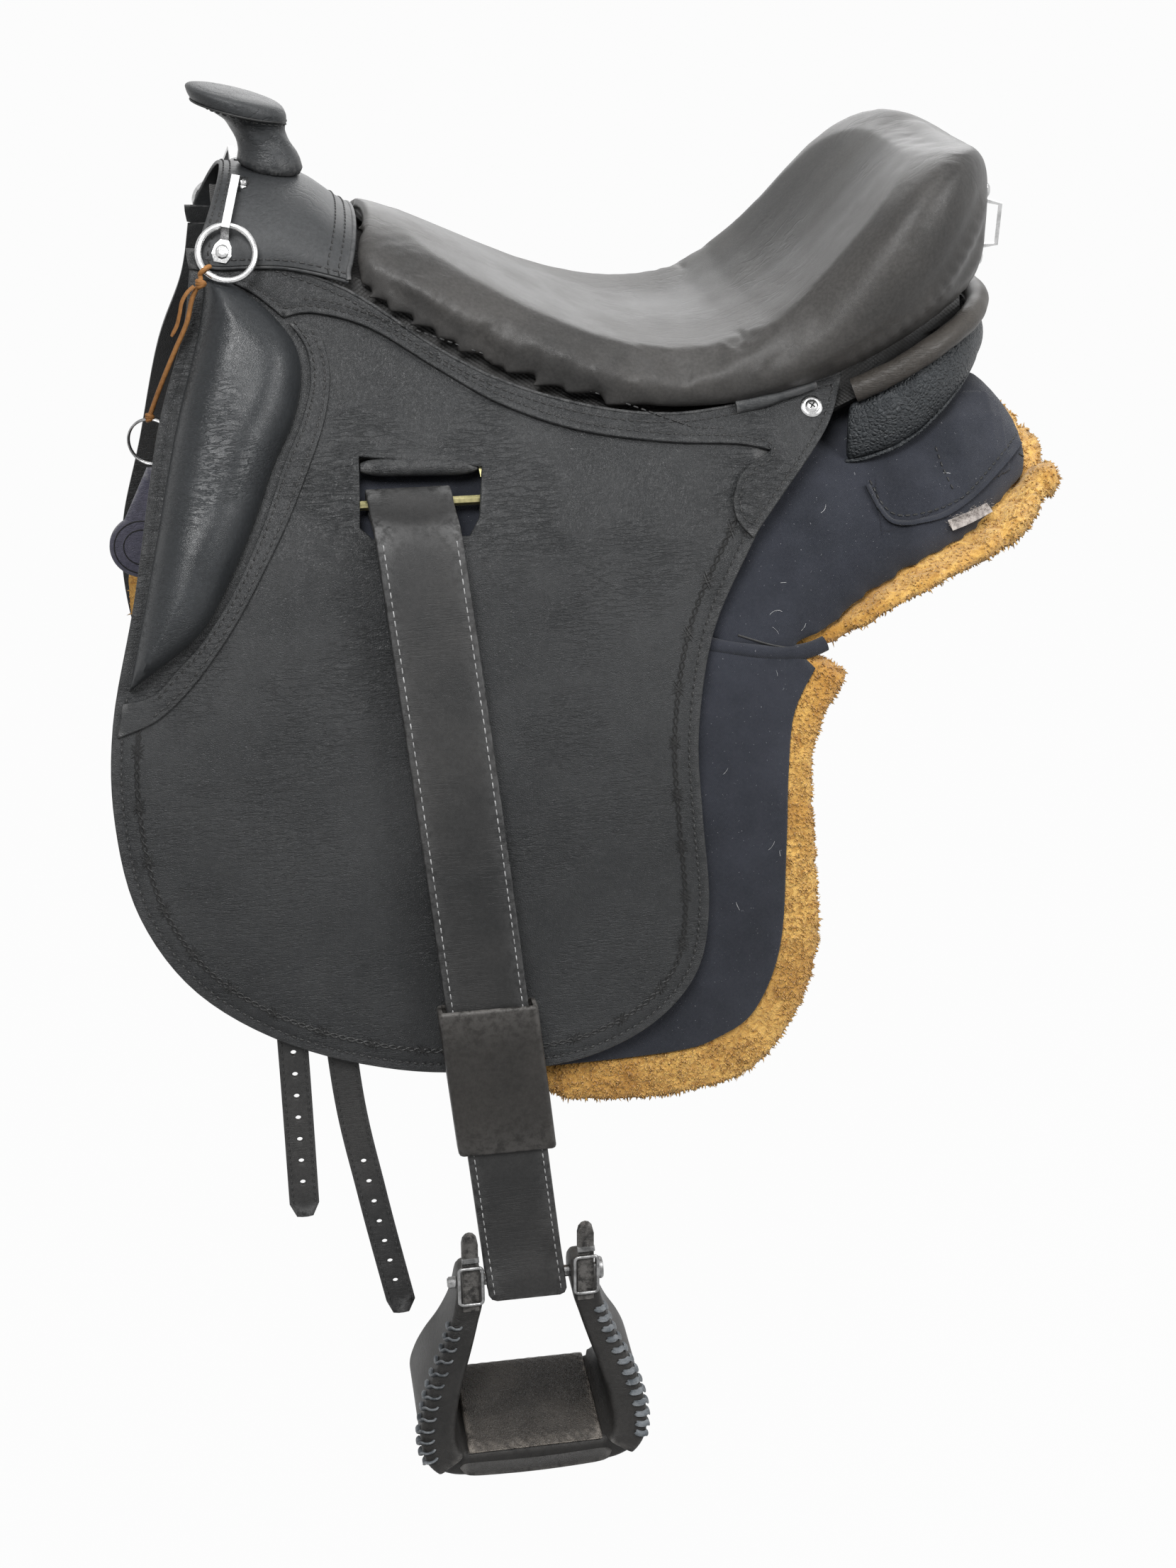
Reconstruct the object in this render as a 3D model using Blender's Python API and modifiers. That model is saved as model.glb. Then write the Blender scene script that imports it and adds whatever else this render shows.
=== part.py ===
"""Trekking saddle with a horn, built over a rigid tree: Blender 4.5, metres, +Z up.

+X points to the cantle, -Y is the near (left) side of the horse. The origin lies on the
saddle's middle plane, where the tree's underside rests over the horse's back.
"""
import math

import bmesh
import bpy
from mathutils import Matrix, Vector

# Fits and leather thicknesses
GAP = 0.0003
FLAP_THICK = 0.0035
SKIRT_THICK = 0.0030
COVER_THICK = 0.0026
BINDING_THICK = 0.0024
BILLET_THICK = 0.0034
STRAP_THICK = 0.0045
GROUND_THICK = 0.0033
SLEEVE_WALL = 0.0034
SLEEVE_BACK = 0.0024
SLEEVE_PLAY = 0.0009

# Side of the saddle seen from the front: (height, half-width) of the flap's inner face
SIDE_SECTION = [(0.175, 0.040), (0.150, 0.048), (0.100, 0.068), (0.050, 0.088), (0.020, 0.105),
                (-0.050, 0.155), (-0.100, 0.180), (-0.200, 0.212), (-0.300, 0.232), (-0.460, 0.248),
                (-0.620, 0.264)]
ROWS = [0.175, 0.150, 0.125, 0.100, 0.080, 0.060, 0.040, 0.020, 0.0, -0.020, -0.046, -0.066, -0.085,
        -0.105, -0.130, -0.160, -0.190, -0.220, -0.260, -0.300, -0.460, -0.620]
REAR_FROM = 0.07
REAR_STEP = 0.04
REAR_COLUMNS = 7
REAR_NARROWING = 0.035

# Room between flap and panel, for the tree's bars, the stirrup bar and the billets
BAR_ROOM = 0.0150
BILLET_ROOM = 0.0095
BAR_ROOM_DOWN_TO = -0.085
BILLET_ROOM_FROM = -0.130

# Tree, stirrup bar and stirrup leather
TREE_THICK = 0.0115
TREE_UNDER_FLAP = 0.0034
BAR_HEIGHT = -0.046
BAR_RADIUS = 0.0042
BAR_DEPTH = 0.0047
BAR_LEFT = -0.187
BAR_RIGHT = -0.089
BAR_PLATE_THICK = 0.0018
STRAP_WIDTH = 0.057
STRAP_MID = -0.1455
STRAP_LEAN = 0.0956
STRAP_CLEAR = 0.0092
SWAY_HEIGHT = -0.105
SWAY_PLAY = 0.0014
BOLT_HEIGHT = -0.595
BOLT_RADIUS = 0.0042
SLEEVE_TOP = -0.378
SLEEVE_LENGTH = 0.112

# Stirrup
STIRRUP_EYE_HALF = 0.032
STIRRUP_BRANCH = 0.020
STIRRUP_DROP = 0.118
STIRRUP_INNER_HALF = 0.058
STIRRUP_SOLE = 0.022
STIRRUP_DEPTH_TOP = 0.040
STIRRUP_DEPTH_BOTTOM = 0.102
TREAD_THICK = 0.005
BUCKLE_AT = 0.0415
BUCKLE_WIRE = 0.0013

# Hardware
RING_RADIUS = 0.0185
RING_WIRE = 0.0022
RING_LEAN = 30
STAPLE_WIDTH = 0.0054
STAPLE_THICK = 0.0028
FRONT_STAND = 0.0125
REAR_STAND = 0.0110
STAPLE_FOOT = 0.0130
SCREW_RADIUS = 0.0078
LACE_RADIUS = 0.0016
KEY_RING_RADIUS = 0.0155
KEY_RING_WIRE = 0.0010
FOB_RADIUS = 0.022
FOB_THICK = 0.0035

PARTS = None
CUTTERS = None


# Scene and materials

def clear_scene():
    global PARTS, CUTTERS
    for obj in list(bpy.data.objects):
        bpy.data.objects.remove(obj, do_unlink=True)
    PARTS = bpy.data.collections.new("saddle")
    CUTTERS = bpy.data.collections.new("saddle_cutters")
    bpy.context.scene.collection.children.link(PARTS)
    bpy.context.scene.collection.children.link(CUTTERS)


def finish(name, colour, roughness, metallic=0.0):
    material = bpy.data.materials.get(name)
    if material is None:
        material = bpy.data.materials.new(name)
        material.use_nodes = True
        shader = material.node_tree.nodes["Principled BSDF"]
        shader.inputs["Base Color"].default_value = (*colour, 1.0)
        shader.inputs["Roughness"].default_value = roughness
        shader.inputs["Metallic"].default_value = metallic
        material.diffuse_color = (*colour, 1.0)
    return material


def black_leather():
    return finish("black_leather", (0.035, 0.038, 0.038), 0.45)


def seat_leather():
    return finish("seat_leather", (0.075, 0.080, 0.080), 0.42)


def brown_leather():
    return finish("brown_black_leather", (0.045, 0.036, 0.034), 0.40)


def canvas():
    return finish("black_canvas", (0.022, 0.024, 0.030), 0.85)


def fleece():
    return finish("golden_sheepskin", (0.62, 0.36, 0.10), 0.95)


def steel():
    return finish("chromed_steel", (0.72, 0.72, 0.70), 0.18, 1.0)


def brass():
    return finish("dull_brass", (0.45, 0.38, 0.20), 0.35, 1.0)


def tan_leather():
    return finish("tan_leather", (0.35, 0.16, 0.06), 0.6)


def tree_shell():
    return finish("tree_laminate", (0.30, 0.27, 0.20), 0.6)


# Shape of the saddle's side

def through(table, value):
    """Smooth curve through a table of (position, value) pairs, positions in falling or rising order."""
    rows = sorted(table)
    if value <= rows[0][0]:
        return rows[0][1]
    if value >= rows[-1][0]:
        return rows[-1][1]
    for k in range(len(rows) - 1):
        (a, fa), (b, fb) = rows[k], rows[k + 1]
        if a <= value <= b:
            before = rows[k - 1] if k else rows[k]
            after = rows[k + 2] if k + 2 < len(rows) else rows[k + 1]
            slope_a = (fb - before[1]) / (b - before[0])
            slope_b = (after[1] - fa) / (after[0] - a)
            t = (value - a) / (b - a)
            span = b - a
            return ((2 * t ** 3 - 3 * t ** 2 + 1) * fa + (t ** 3 - 2 * t ** 2 + t) * span * slope_a
                    + (3 * t ** 2 - 2 * t ** 3) * fb + (t ** 3 - t ** 2) * span * slope_b)
    return rows[-1][1]


def straight(table, value):
    """Straight lines through a table of (position, value) pairs."""
    rows = sorted(table)
    if value <= rows[0][0]:
        return rows[0][1]
    for (a, fa), (b, fb) in zip(rows, rows[1:]):
        if value <= b:
            return fa + (fb - fa) * (value - a) / (b - a)
    return rows[-1][1]


def side_rows():
    """Corner points of the side's section and, at each, the direction that keeps folded layers parallel."""
    corners = [Vector((through(SIDE_SECTION, height), height)) for height in ROWS]
    normals = []
    for upper, lower in zip(corners, corners[1:]):
        fall = lower - upper
        normals.append(Vector((-fall.y, fall.x)).normalized())
    mitres = []
    for k in range(len(corners)):
        first = normals[max(k - 1, 0)]
        second = normals[min(k, len(normals) - 1)]
        middle = (first + second).normalized()
        mitres.append(middle / middle.dot(second))
    return corners, mitres


CORNERS, MITRES = side_rows()


def narrowing(x):
    """How far the saddle's side lies further in towards the rear."""
    stops = [(REAR_FROM + REAR_STEP * k, REAR_NARROWING * (k / (REAR_COLUMNS - 1)) ** 2)
             for k in range(REAR_COLUMNS + 1)]
    return straight(stops, x) if x > REAR_FROM else 0.0


def side_point(x, height, offset):
    """Point on the near side, offset outward from the flap's inner face."""
    k = 0
    while k < len(ROWS) - 2 and height < ROWS[k + 1]:
        k += 1
    t = (ROWS[k] - height) / (ROWS[k] - ROWS[k + 1])
    upper = CORNERS[k] + MITRES[k] * offset
    lower = CORNERS[k + 1] + MITRES[k + 1] * offset
    place = upper.lerp(lower, t)
    return Vector((x, narrowing(x) - place.x, place.y))


def side_half(height, x=0.0, offset=0.0):
    return -side_point(x, height, offset).y


def room(height):
    """Depth between the flap's inner face and the panel."""
    return straight([(BILLET_ROOM_FROM, BILLET_ROOM), (BAR_ROOM_DOWN_TO, BAR_ROOM)], height)


# Outlines in side view

def curve_through(points, steps=3):
    """Points along a smooth curve through the given ones, ends included."""
    path = []
    for k in range(len(points) - 1):
        before = Vector(points[max(k - 1, 0)])
        start, end = Vector(points[k]), Vector(points[k + 1])
        after = Vector(points[min(k + 2, len(points) - 1)])
        for i in range(steps):
            t = i / steps
            path.append(0.5 * (2 * start + (end - before) * t
                               + (2 * before - 5 * start + 4 * end - after) * t ** 2
                               + (3 * start - before - 3 * end + after) * t ** 3))
    path.append(Vector(points[-1]))
    return path


def outline_of(*stretches):
    """One closed outline from smooth stretches that meet in corners."""
    path = []
    for stretch in stretches:
        for point in stretch:
            point = Vector(point)
            if not path or (point - path[-1]).length > 0.0005:
                path.append(point)
    if (path[0] - path[-1]).length < 0.0005:
        path.pop()
    return path


def arc(centre, radius, start, end, steps=6):
    """Arc from one angle to another, in degrees."""
    angles = [math.radians(start + (end - start) * k / steps) for k in range(steps + 1)]
    return [Vector((centre[0] + radius * math.cos(a), centre[1] + radius * math.sin(a))) for a in angles]


# Meshes

def add(name, mesh, material, collection=None):
    mesh.materials.clear()
    mesh.materials.append(material)
    obj = bpy.data.objects.new(name, mesh)
    (collection or PARTS).objects.link(obj)
    return obj


def to_mesh(bm, name, smooth_angle=35):
    bmesh.ops.remove_doubles(bm, verts=bm.verts, dist=0.00001)
    bmesh.ops.recalc_face_normals(bm, faces=bm.faces)
    if bm.calc_volume(signed=True) < 0:
        bmesh.ops.reverse_faces(bm, faces=bm.faces)
    mesh = bpy.data.meshes.new(name)
    bm.to_mesh(mesh)
    bm.free()
    mesh.shade_smooth()
    mesh.set_sharp_from_angle(angle=math.radians(smooth_angle))
    return mesh


def flat_cut(outline, holes=()):
    """Flat piece of unit thickness cut to an outline, as a bmesh in the XY plane."""
    curve = bpy.data.curves.new("flat_cut", "CURVE")
    curve.dimensions = "2D"
    curve.fill_mode = "BOTH"
    curve.extrude = 0.5
    for loop in (outline, *holes):
        spline = curve.splines.new("POLY")
        spline.points.add(len(loop) - 1)
        for point, (x, y) in zip(spline.points, loop):
            point.co = (x, y, 0.0, 1.0)
        spline.use_cyclic_u = True
    holder = bpy.data.objects.new("flat_cut", curve)
    CUTTERS.objects.link(holder)
    mesh = bpy.data.meshes.new_from_object(holder.evaluated_get(bpy.context.evaluated_depsgraph_get()))
    bpy.data.objects.remove(holder, do_unlink=True)
    bm = bmesh.new()
    bm.from_mesh(mesh)
    bmesh.ops.remove_doubles(bm, verts=bm.verts, dist=0.000001)
    bmesh.ops.dissolve_limit(bm, angle_limit=0.001, verts=bm.verts, edges=bm.edges)
    return bm


def score(bm, xs=(), ys=()):
    """Cut the flat piece along straight lines, so that it can be folded there."""
    for axis, places in ((0, xs), (1, ys)):
        low = min(v.co[axis] for v in bm.verts)
        high = max(v.co[axis] for v in bm.verts)
        for place in places:
            if low + 0.0004 < place < high - 0.0004:
                at = Vector((0, 0, 0))
                at[axis] = place
                normal = Vector((0, 0, 0))
                normal[axis] = 1.0
                bmesh.ops.bisect_plane(bm, geom=bm.verts[:] + bm.edges[:] + bm.faces[:], dist=0.00001,
                                       plane_co=at, plane_no=normal)


def value_at(offset, x, height):
    return offset(x, height) if callable(offset) else offset


def laid_on_side(name, outline, inner, outer, material, holes=(), columns=(), rows=()):
    """Layer cut in side view and folded over the near side, between two offsets."""
    bm = flat_cut(outline, holes)
    rear = [REAR_FROM + REAR_STEP * k for k in range(REAR_COLUMNS + 1)]
    score(bm, xs=sorted(set(columns) | set(rear)), ys=sorted(set(ROWS) | set(rows)))
    for vert in bm.verts:
        x, height, layer = vert.co
        vert.co = side_point(x, height, value_at(outer if layer > 0 else inner, x, height))
    return add(name, to_mesh(bm, name), material)


def outer_place(a, b):
    """How far up and out the middle of a diagonal lies; layers over each other split the same way."""
    middle = (a.co + b.co) / 2
    return middle.z + 0.7 * abs(middle.y)


def loft(name, rings, material, closed=False, smooth_angle=35, quads=False, cap=()):
    """Solid through rings of equally many points, capped at its ends unless it closes on itself."""
    bm = bmesh.new()
    loops = [[bm.verts.new(point) for point in ring] for ring in rings]
    pairs = list(zip(loops, loops[1:] + ([loops[0]] if closed else [])))
    for first, second in pairs:
        for k in range(len(first)):
            nxt = (k + 1) % len(first)
            corners = (first[k], first[nxt], second[nxt], second[k])
            if quads:
                bm.faces.new(corners)
            else:
                a, b, c, d = corners if outer_place(corners[0], corners[2]) < outer_place(
                    corners[1], corners[3]) else corners[1:] + corners[:1]
                bm.faces.new((a, b, c))
                bm.faces.new((a, c, d))
    if not closed:
        for end in (loops[0], loops[-1]):
            for corners in cap or [range(len(end))]:
                bm.faces.new([end[k] for k in corners])
    return add(name, to_mesh(bm, name, smooth_angle), material)


def tube(name, points, radius, material, closed=False, resolution=2):
    """Round wire or cord along a list of points."""
    curve = bpy.data.curves.new(name, "CURVE")
    curve.dimensions = "3D"
    curve.bevel_depth = radius
    curve.bevel_resolution = resolution
    curve.use_fill_caps = True
    spline = curve.splines.new("POLY")
    spline.points.add(len(points) - 1)
    for target, point in zip(spline.points, points):
        target.co = (*point, 1.0)
    spline.use_cyclic_u = closed
    obj = bpy.data.objects.new(name, curve)
    PARTS.objects.link(obj)
    curve.materials.append(material)
    return as_mesh(obj)


def as_mesh(obj):
    """The object's evaluated shape as a mesh object of the same name, its caps welded."""
    mesh = bpy.data.meshes.new_from_object(obj.evaluated_get(bpy.context.evaluated_depsgraph_get()))
    name = obj.name
    material = obj.data.materials[0]
    placed = obj.matrix_world.copy()
    bpy.data.objects.remove(obj, do_unlink=True)
    bm = bmesh.new()
    bm.from_mesh(mesh)
    bm.transform(placed)
    return add(name, to_mesh(bm, name), material)


def box(name, low, high, material, bevel=0.0):
    bm = bmesh.new()
    size = Vector(high) - Vector(low)
    middle = (Vector(high) + Vector(low)) / 2
    bmesh.ops.create_cube(bm, size=1.0, matrix=Matrix.Translation(middle) @ Matrix.Diagonal((*size, 1.0)))
    if bevel:
        bmesh.ops.bevel(bm, geom=bm.edges[:], offset=bevel, segments=1, affect="EDGES")
    return add(name, to_mesh(bm, name), material)


def rod(name, start, end, radius, material, sides=16):
    """Round bar between two points."""
    start, end = Vector(start), Vector(end)
    along = end - start
    bm = bmesh.new()
    turn = along.to_track_quat("Z", "Y").to_matrix().to_4x4()
    bmesh.ops.create_cone(bm, cap_ends=True, segments=sides, radius1=radius, radius2=radius,
                          depth=along.length, matrix=Matrix.Translation((start + end) / 2) @ turn)
    return add(name, to_mesh(bm, name), material)


def torus(name, centre, major, minor, across, material, around, section):
    """Ring of round wire, its axis along the direction given."""
    bpy.ops.mesh.primitive_torus_add(major_segments=around, minor_segments=section,
                                     major_radius=major, minor_radius=minor)
    obj = bpy.context.active_object
    mesh = obj.data
    bpy.data.objects.remove(obj, do_unlink=True)
    mesh.transform(Matrix.Translation(centre) @ Vector(across).to_track_quat("Z", "Y").to_matrix().to_4x4())
    return add(name, mesh, material)


def combine(target, tool, operation):
    """Boolean of two mesh objects; the tool is used up."""
    PARTS.objects.unlink(tool)
    CUTTERS.objects.link(tool)
    tool.hide_render = True
    tool.display_type = "WIRE"
    modifier = target.modifiers.new(operation.lower(), "BOOLEAN")
    modifier.operation = operation
    modifier.solver = "EXACT"
    modifier.object = tool
    done = as_mesh(target)
    bpy.data.objects.remove(tool, do_unlink=True)
    return done


def pivot_at(obj, pivot):
    """Move the object's origin onto its joint's axis."""
    obj.data.transform(Matrix.Translation(-Vector(pivot)))
    obj.location = pivot
    return obj


def far_side(obj, name):
    """The mirror image of a near-side piece, for the far side."""
    twin = bpy.data.objects.new(name, obj.data.copy())
    twin.data.transform(Matrix.Diagonal((1.0, -1.0, 1.0, 1.0)))
    twin.data.flip_normals()
    twin.location = (obj.location.x, -obj.location.y, obj.location.z)
    PARTS.objects.link(twin)
    return twin


def pair(make):
    """Make a near-side piece under the name NAME_left, and its twin NAME_right."""
    obj = make("left")
    return obj, far_side(obj, obj.name.replace("_left", "_right"))


# Heights and widths along the saddle: (place along X, value)

SKIRT_TOP = [(-0.290, 0.108), (-0.244, 0.102), (-0.178, 0.078), (-0.119, 0.039), (-0.073, 0.016),
             (-0.016, 0.000), (0.036, -0.006), (0.086, -0.002), (0.127, 0.006), (0.158, 0.012)]
SEAT_EDGE = SKIRT_TOP + [(0.189, 0.026), (0.218, 0.040), (0.245, 0.050), (0.272, 0.056)]
REAR_PLAN = [(0.150, 0.1135), (0.172, 0.119), (0.195, 0.120), (0.220, 0.112), (0.244, 0.094), (0.262, 0.068),
             (0.274, 0.036), (0.278, 0.0)]
SEAT_BULGE_HALF = [(-0.172, 0.083), (-0.120, 0.100), (-0.060, 0.117), (0.0, 0.129), (0.060, 0.136),
                   (0.120, 0.141), (0.170, 0.144), (0.200, 0.140), (0.230, 0.124), (0.255, 0.096),
                   (0.270, 0.064), (0.279, 0.036)]
SEAT_CREST = [(-0.172, 0.112), (-0.100, 0.080), (-0.055, 0.057), (0.0, 0.036), (0.045, 0.031), (0.080, 0.032),
              (0.108, 0.043), (0.145, 0.079), (0.174, 0.114), (0.200, 0.145), (0.225, 0.160), (0.250, 0.163),
              (0.270, 0.148), (0.279, 0.122)]
SEAT_MIDDLE = [(-0.172, 0.121), (-0.130, 0.107), (-0.100, 0.089), (-0.055, 0.063), (0.0, 0.037), (0.045, 0.027),
               (0.080, 0.027), (0.120, 0.041), (0.160, 0.075), (0.200, 0.122), (0.230, 0.156), (0.250, 0.165),
               (0.270, 0.152), (0.279, 0.124)]
TREE_MIDDLE = [(-0.280, 0.136), (-0.246, 0.136), (-0.200, 0.1265), (-0.172, 0.107), (-0.100, 0.064),
               (-0.050, 0.036), (0.0, 0.014), (0.050, 0.005), (0.100, 0.008), (0.140, 0.022), (0.180, 0.046),
               (0.220, 0.082), (0.262, 0.118)]
TREE_LOW = [(0.050, -0.020), (0.105, -0.019), (0.150, -0.006), (0.190, 0.006), (0.225, 0.016), (0.256, 0.022)]
FORK_EDGE = 0.094
COVER_LIFT = 0.0114


def seat_edge_half(x):
    """Half-width of the seat's lower edge: over the skirt, and round the cantle behind it."""
    if x <= REAR_PLAN[0][0]:
        return side_half(through(SEAT_EDGE, x), x, FLAP_THICK + GAP + SKIRT_THICK)
    return through(REAR_PLAN, x)


def crown(x, share, lift=0.0):
    """Point over the tree's top: share 0 on the middle plane, 1 at the near edge under the seat."""
    edge = min(through(SEAT_EDGE, x), FORK_EDGE)
    half = side_half(edge, x) - TREE_UNDER_FLAP
    if x > REAR_PLAN[0][0]:
        half = min(half, seat_edge_half(x) - 0.0094)
    rise = through(TREE_MIDDLE, x) - edge
    angle = share * math.pi / 2
    outward = Vector((rise * math.sin(angle), half * math.cos(angle))).normalized()
    return Vector((x, -(half * math.sin(angle) + outward.x * lift),
                   edge + rise * math.cos(angle) + outward.y * lift))


def both_ways(half_path):
    """A path from the near side to the middle plane, carried on to the far side."""
    return half_path + [Vector((p.x, -p.y, p.z)) for p in reversed(half_path[:-1])]


# Tree and what is fixed to it

TREE_STATIONS = [-0.262, -0.232, -0.200, -0.165, -0.120, -0.070, -0.010, 0.050, 0.105, 0.150, 0.190, 0.225,
                 0.256]
CROWN_SHARES = [1.0, 0.75, 0.4, 0.0]


def tree_path(x, lift):
    """Section of the tree at x from its near lower edge to the middle plane."""
    edge, low = crown(x, 1.0).z, through(TREE_LOW, x)
    path = []
    for share in (0.0, 0.3, 0.65):
        point = side_point(x, low + (edge - low) * share, lift - TREE_UNDER_FLAP)
        if x > REAR_PLAN[0][0]:
            point.y = max(point.y, -seat_edge_half(x) + 0.010 - lift)
        path.append(point)
    return path + [crown(x, share, lift) for share in CROWN_SHARES]


def tree():
    rings = []
    for x in TREE_STATIONS:
        over = both_ways(tree_path(x, 0.0))
        under = both_ways(tree_path(x, -TREE_THICK))
        rings.append(over + under[::-1])
    body = loft("tree", rings, tree_shell())
    opening = box("tree_opening", (-0.095, -0.030, -0.05), (0.095, 0.030, 0.12), tree_shell(), 0.02)
    return combine(body, opening, "DIFFERENCE")


def ground_seat():
    """Stiff leather over the tree's opening, under the seat's padding."""
    rings = []
    for x in TREE_STATIONS[4:10]:
        over = both_ways([crown(x, share, 2 * GAP + GROUND_THICK) for share in CROWN_SHARES[1:]])
        under = both_ways([crown(x, share, 2 * GAP) for share in CROWN_SHARES[1:]])
        rings.append(over + under[::-1])
    return loft("ground_seat", rings, brown_leather())


def cover_front(height):
    return -0.272 + (height - 0.113) * 0.50


def cover_rear(height):
    return -0.1755 + (height - 0.088) * 0.30


def cover_share(x, height):
    """Where the pommel cover's outer face reaches a height: 1 at the tree's edge, 0 in the middle."""
    low, high = 0.0, 1.0
    for _ in range(24):
        share = (low + high) / 2
        if crown(x, share, COVER_LIFT + COVER_THICK).z > height:
            low = share
        else:
            high = share
    return share


COVER_LOWER = [(-0.2740, 0.1010), (-0.2600, 0.0980), (-0.2420, 0.0980), (-0.2200, 0.0970), (-0.1990, 0.0935),
               (-0.1755, 0.0875)]


def pommel_cover():
    """Leather over the fork, from one stitched lower edge over the top to the other."""
    half = []
    for rise in (0.0, 0.14, 0.28, 0.43, 0.6, 0.8, 1.0):
        places = []
        for x, height in COVER_LOWER:
            along = (x - COVER_LOWER[0][0]) / (COVER_LOWER[-1][0] - COVER_LOWER[0][0])
            share = cover_share(x, height) * (1 - rise)
            front = cover_front(crown(-0.25, share, COVER_LIFT).z)
            rear = cover_rear(crown(-0.168, share, COVER_LIFT + COVER_THICK).z)
            places.append((x if rise == 0.0 else front + (rear - front) * along, share))
        half.append([crown(x, share, COVER_LIFT + COVER_THICK) for x, share in places]
                    + [crown(x, share, COVER_LIFT) for x, share in reversed(places)])
    far = [[Vector((p.x, -p.y, p.z)) for p in row] for row in reversed(half[:-1])]
    return loft("pommel_cover", half + far, black_leather(), smooth_angle=50)


HORN_RINGS = [(-0.2200, 0.0, 0.0215, 0.0240, 0), (-0.2235, 0.0155, 0.0180, 0.0195, 6),
              (-0.2290, 0.0280, 0.0195, 0.0205, 14), (-0.2375, 0.0375, 0.0285, 0.0270, 19),
              (-0.2400, 0.0430, 0.0325, 0.0305, 19), (-0.2415, 0.0480, 0.0325, 0.0305, 19),
              (-0.2425, 0.0515, 0.0270, 0.0250, 19), (-0.2430, 0.0530, 0.0130, 0.0120, 19)]


def horn():
    """Leather-covered horn: a neck that flares into a flat cap tilted up in front."""
    foot = 0.1495
    rings = []
    for x, rise, along, across, tilt in [(HORN_RINGS[0][0], 0.0, 0.010, 0.011, 0)] + HORN_RINGS:
        slope = -math.tan(math.radians(tilt))
        ring = []
        for k in range(14):
            angle = 2 * math.pi * k / 14
            dx, dy = along * math.cos(angle), across * math.sin(angle)
            height = foot + rise + dx * slope
            if rise == 0.0:
                height = cover_top(x + dx, dy)
            ring.append(Vector((x + dx, dy, height)))
        rings.append(ring)
    body = loft("horn", rings, black_leather(), smooth_angle=60)
    return combine(body, grown(bpy.data.objects["pommel_cover"], 1.5 * GAP), "DIFFERENCE")


def cover_top(x, y):
    """Height of the pommel cover's outer face over a point in plan."""
    share = 0.0
    while share < 1.0 and -crown(x, share, COVER_LIFT + COVER_THICK).y < abs(y):
        share += 0.01
    return crown(x, share, COVER_LIFT + COVER_THICK).z + 0.0004


# Seat

SEAT_CLEAR = 0.0112
SEAT_STATIONS = [-0.172, -0.145, -0.100, -0.045, 0.012, 0.065, 0.112, 0.155, 0.190, 0.220, 0.246, 0.265, 0.274]


def seat_ring(x):
    edge = through(SEAT_EDGE, x) + GAP
    foot, bulge = seat_edge_half(x), through(SEAT_BULGE_HALF, x)
    crest, middle = through(SEAT_CREST, x), through(SEAT_MIDDLE, x)
    wall = crest - edge
    clear = SEAT_CLEAR + (0.003 if x < -0.14 else 0.0)
    rim = crown(x, 0.86, clear)
    half = [(min(-rim.y, foot - 0.006), rim.z), (foot, edge - 0.0016),
            (bulge - 0.004, edge + wall * 0.35), (bulge, edge + wall * 0.65), (bulge * 0.94, crest - wall * 0.06),
            (bulge * 0.80, crest + 0.001), (bulge * 0.48, crest * 0.4 + middle * 0.6), (0.0, middle)]
    near = [Vector((x, -y, z)) for y, z in half]
    if x == SEAT_STATIONS[0]:
        for point in near:
            point.x = cover_rear(point.z) + 0.0030
    under = [crown(x, 0.5, clear + 0.003), crown(x, 0.0, clear)]
    return both_ways(near) + both_ways(under)[::-1]


def seat():
    """Deep padded seat with its high cantle, as a coarse cage smoothed by subdivision."""
    near_cap = [(17, 0, 1, 2), (17, 2, 3, 4), (17, 4, 5, 6), (17, 6, 7, 16)]
    far_cap = [(15, 14, 13, 12), (15, 12, 11, 10), (15, 10, 9, 8), (15, 8, 7, 16)]
    body = loft("seat", [seat_ring(x) for x in SEAT_STATIONS], seat_leather(), smooth_angle=180, quads=True,
                cap=near_cap + far_cap)
    smoothing = body.modifiers.new("rounding", "SUBSURF")
    smoothing.levels = 1
    smoothing.render_levels = 1
    return body


def rear_path():
    """Plan curve round the back of the cantle, near side to far side."""
    near = curve_through([(x, -y) for x, y in REAR_PLAN], 2)
    return near + [Vector((p.x, -p.y)) for p in reversed(near[:-1])]


def outward_at(path, k):
    """Direction away from the cantle at a point of the plan curve."""
    ahead = path[min(k + 1, len(path) - 1)] - path[max(k - 1, 0)]
    return Vector((ahead.y, -ahead.x)).normalized()


def cantle_roll():
    radius = 0.0082
    path = rear_path()
    points = []
    for k, p in enumerate(path):
        centre = p + outward_at(path, k) * 0.0035
        points.append(Vector((centre.x, centre.y, through(SEAT_EDGE, p.x) - radius - GAP)))
    points = [p for p in points if p.x > 0.1635]
    return tube("cantle_roll", points, radius, brown_leather(), resolution=1)


FACING_TOP_DROP = 0.0172
FACING_LOW = [(0.150, -0.045), (0.172, -0.043), (0.206, -0.030), (0.235, -0.010), (0.258, 0.006), (0.278, 0.012)]


def rear_facing():
    """Grained leather band round the back, between the cantle roll and the panels."""
    rings = []
    path = rear_path()
    for k, p in enumerate(path):
        out = outward_at(path, k)
        top = through(SEAT_EDGE, p.x) - FACING_TOP_DROP
        low = through(FACING_LOW, p.x)
        profile = [(0.0015, top), (0.0085, top * 0.6 + low * 0.4), (0.0085, top * 0.2 + low * 0.8), (0.0030, low),
                   (-0.0035, low + 0.002), (-0.0035, top - 0.002)]
        rings.append([Vector((p.x + out.x * d, p.y + out.y * d, z)) for d, z in profile])
    rings = [ring for ring in rings if ring[0].x > 0.160]
    return loft("rear_facing", rings, black_leather(), smooth_angle=60)


# Flap, skirt and knee roll

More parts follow.
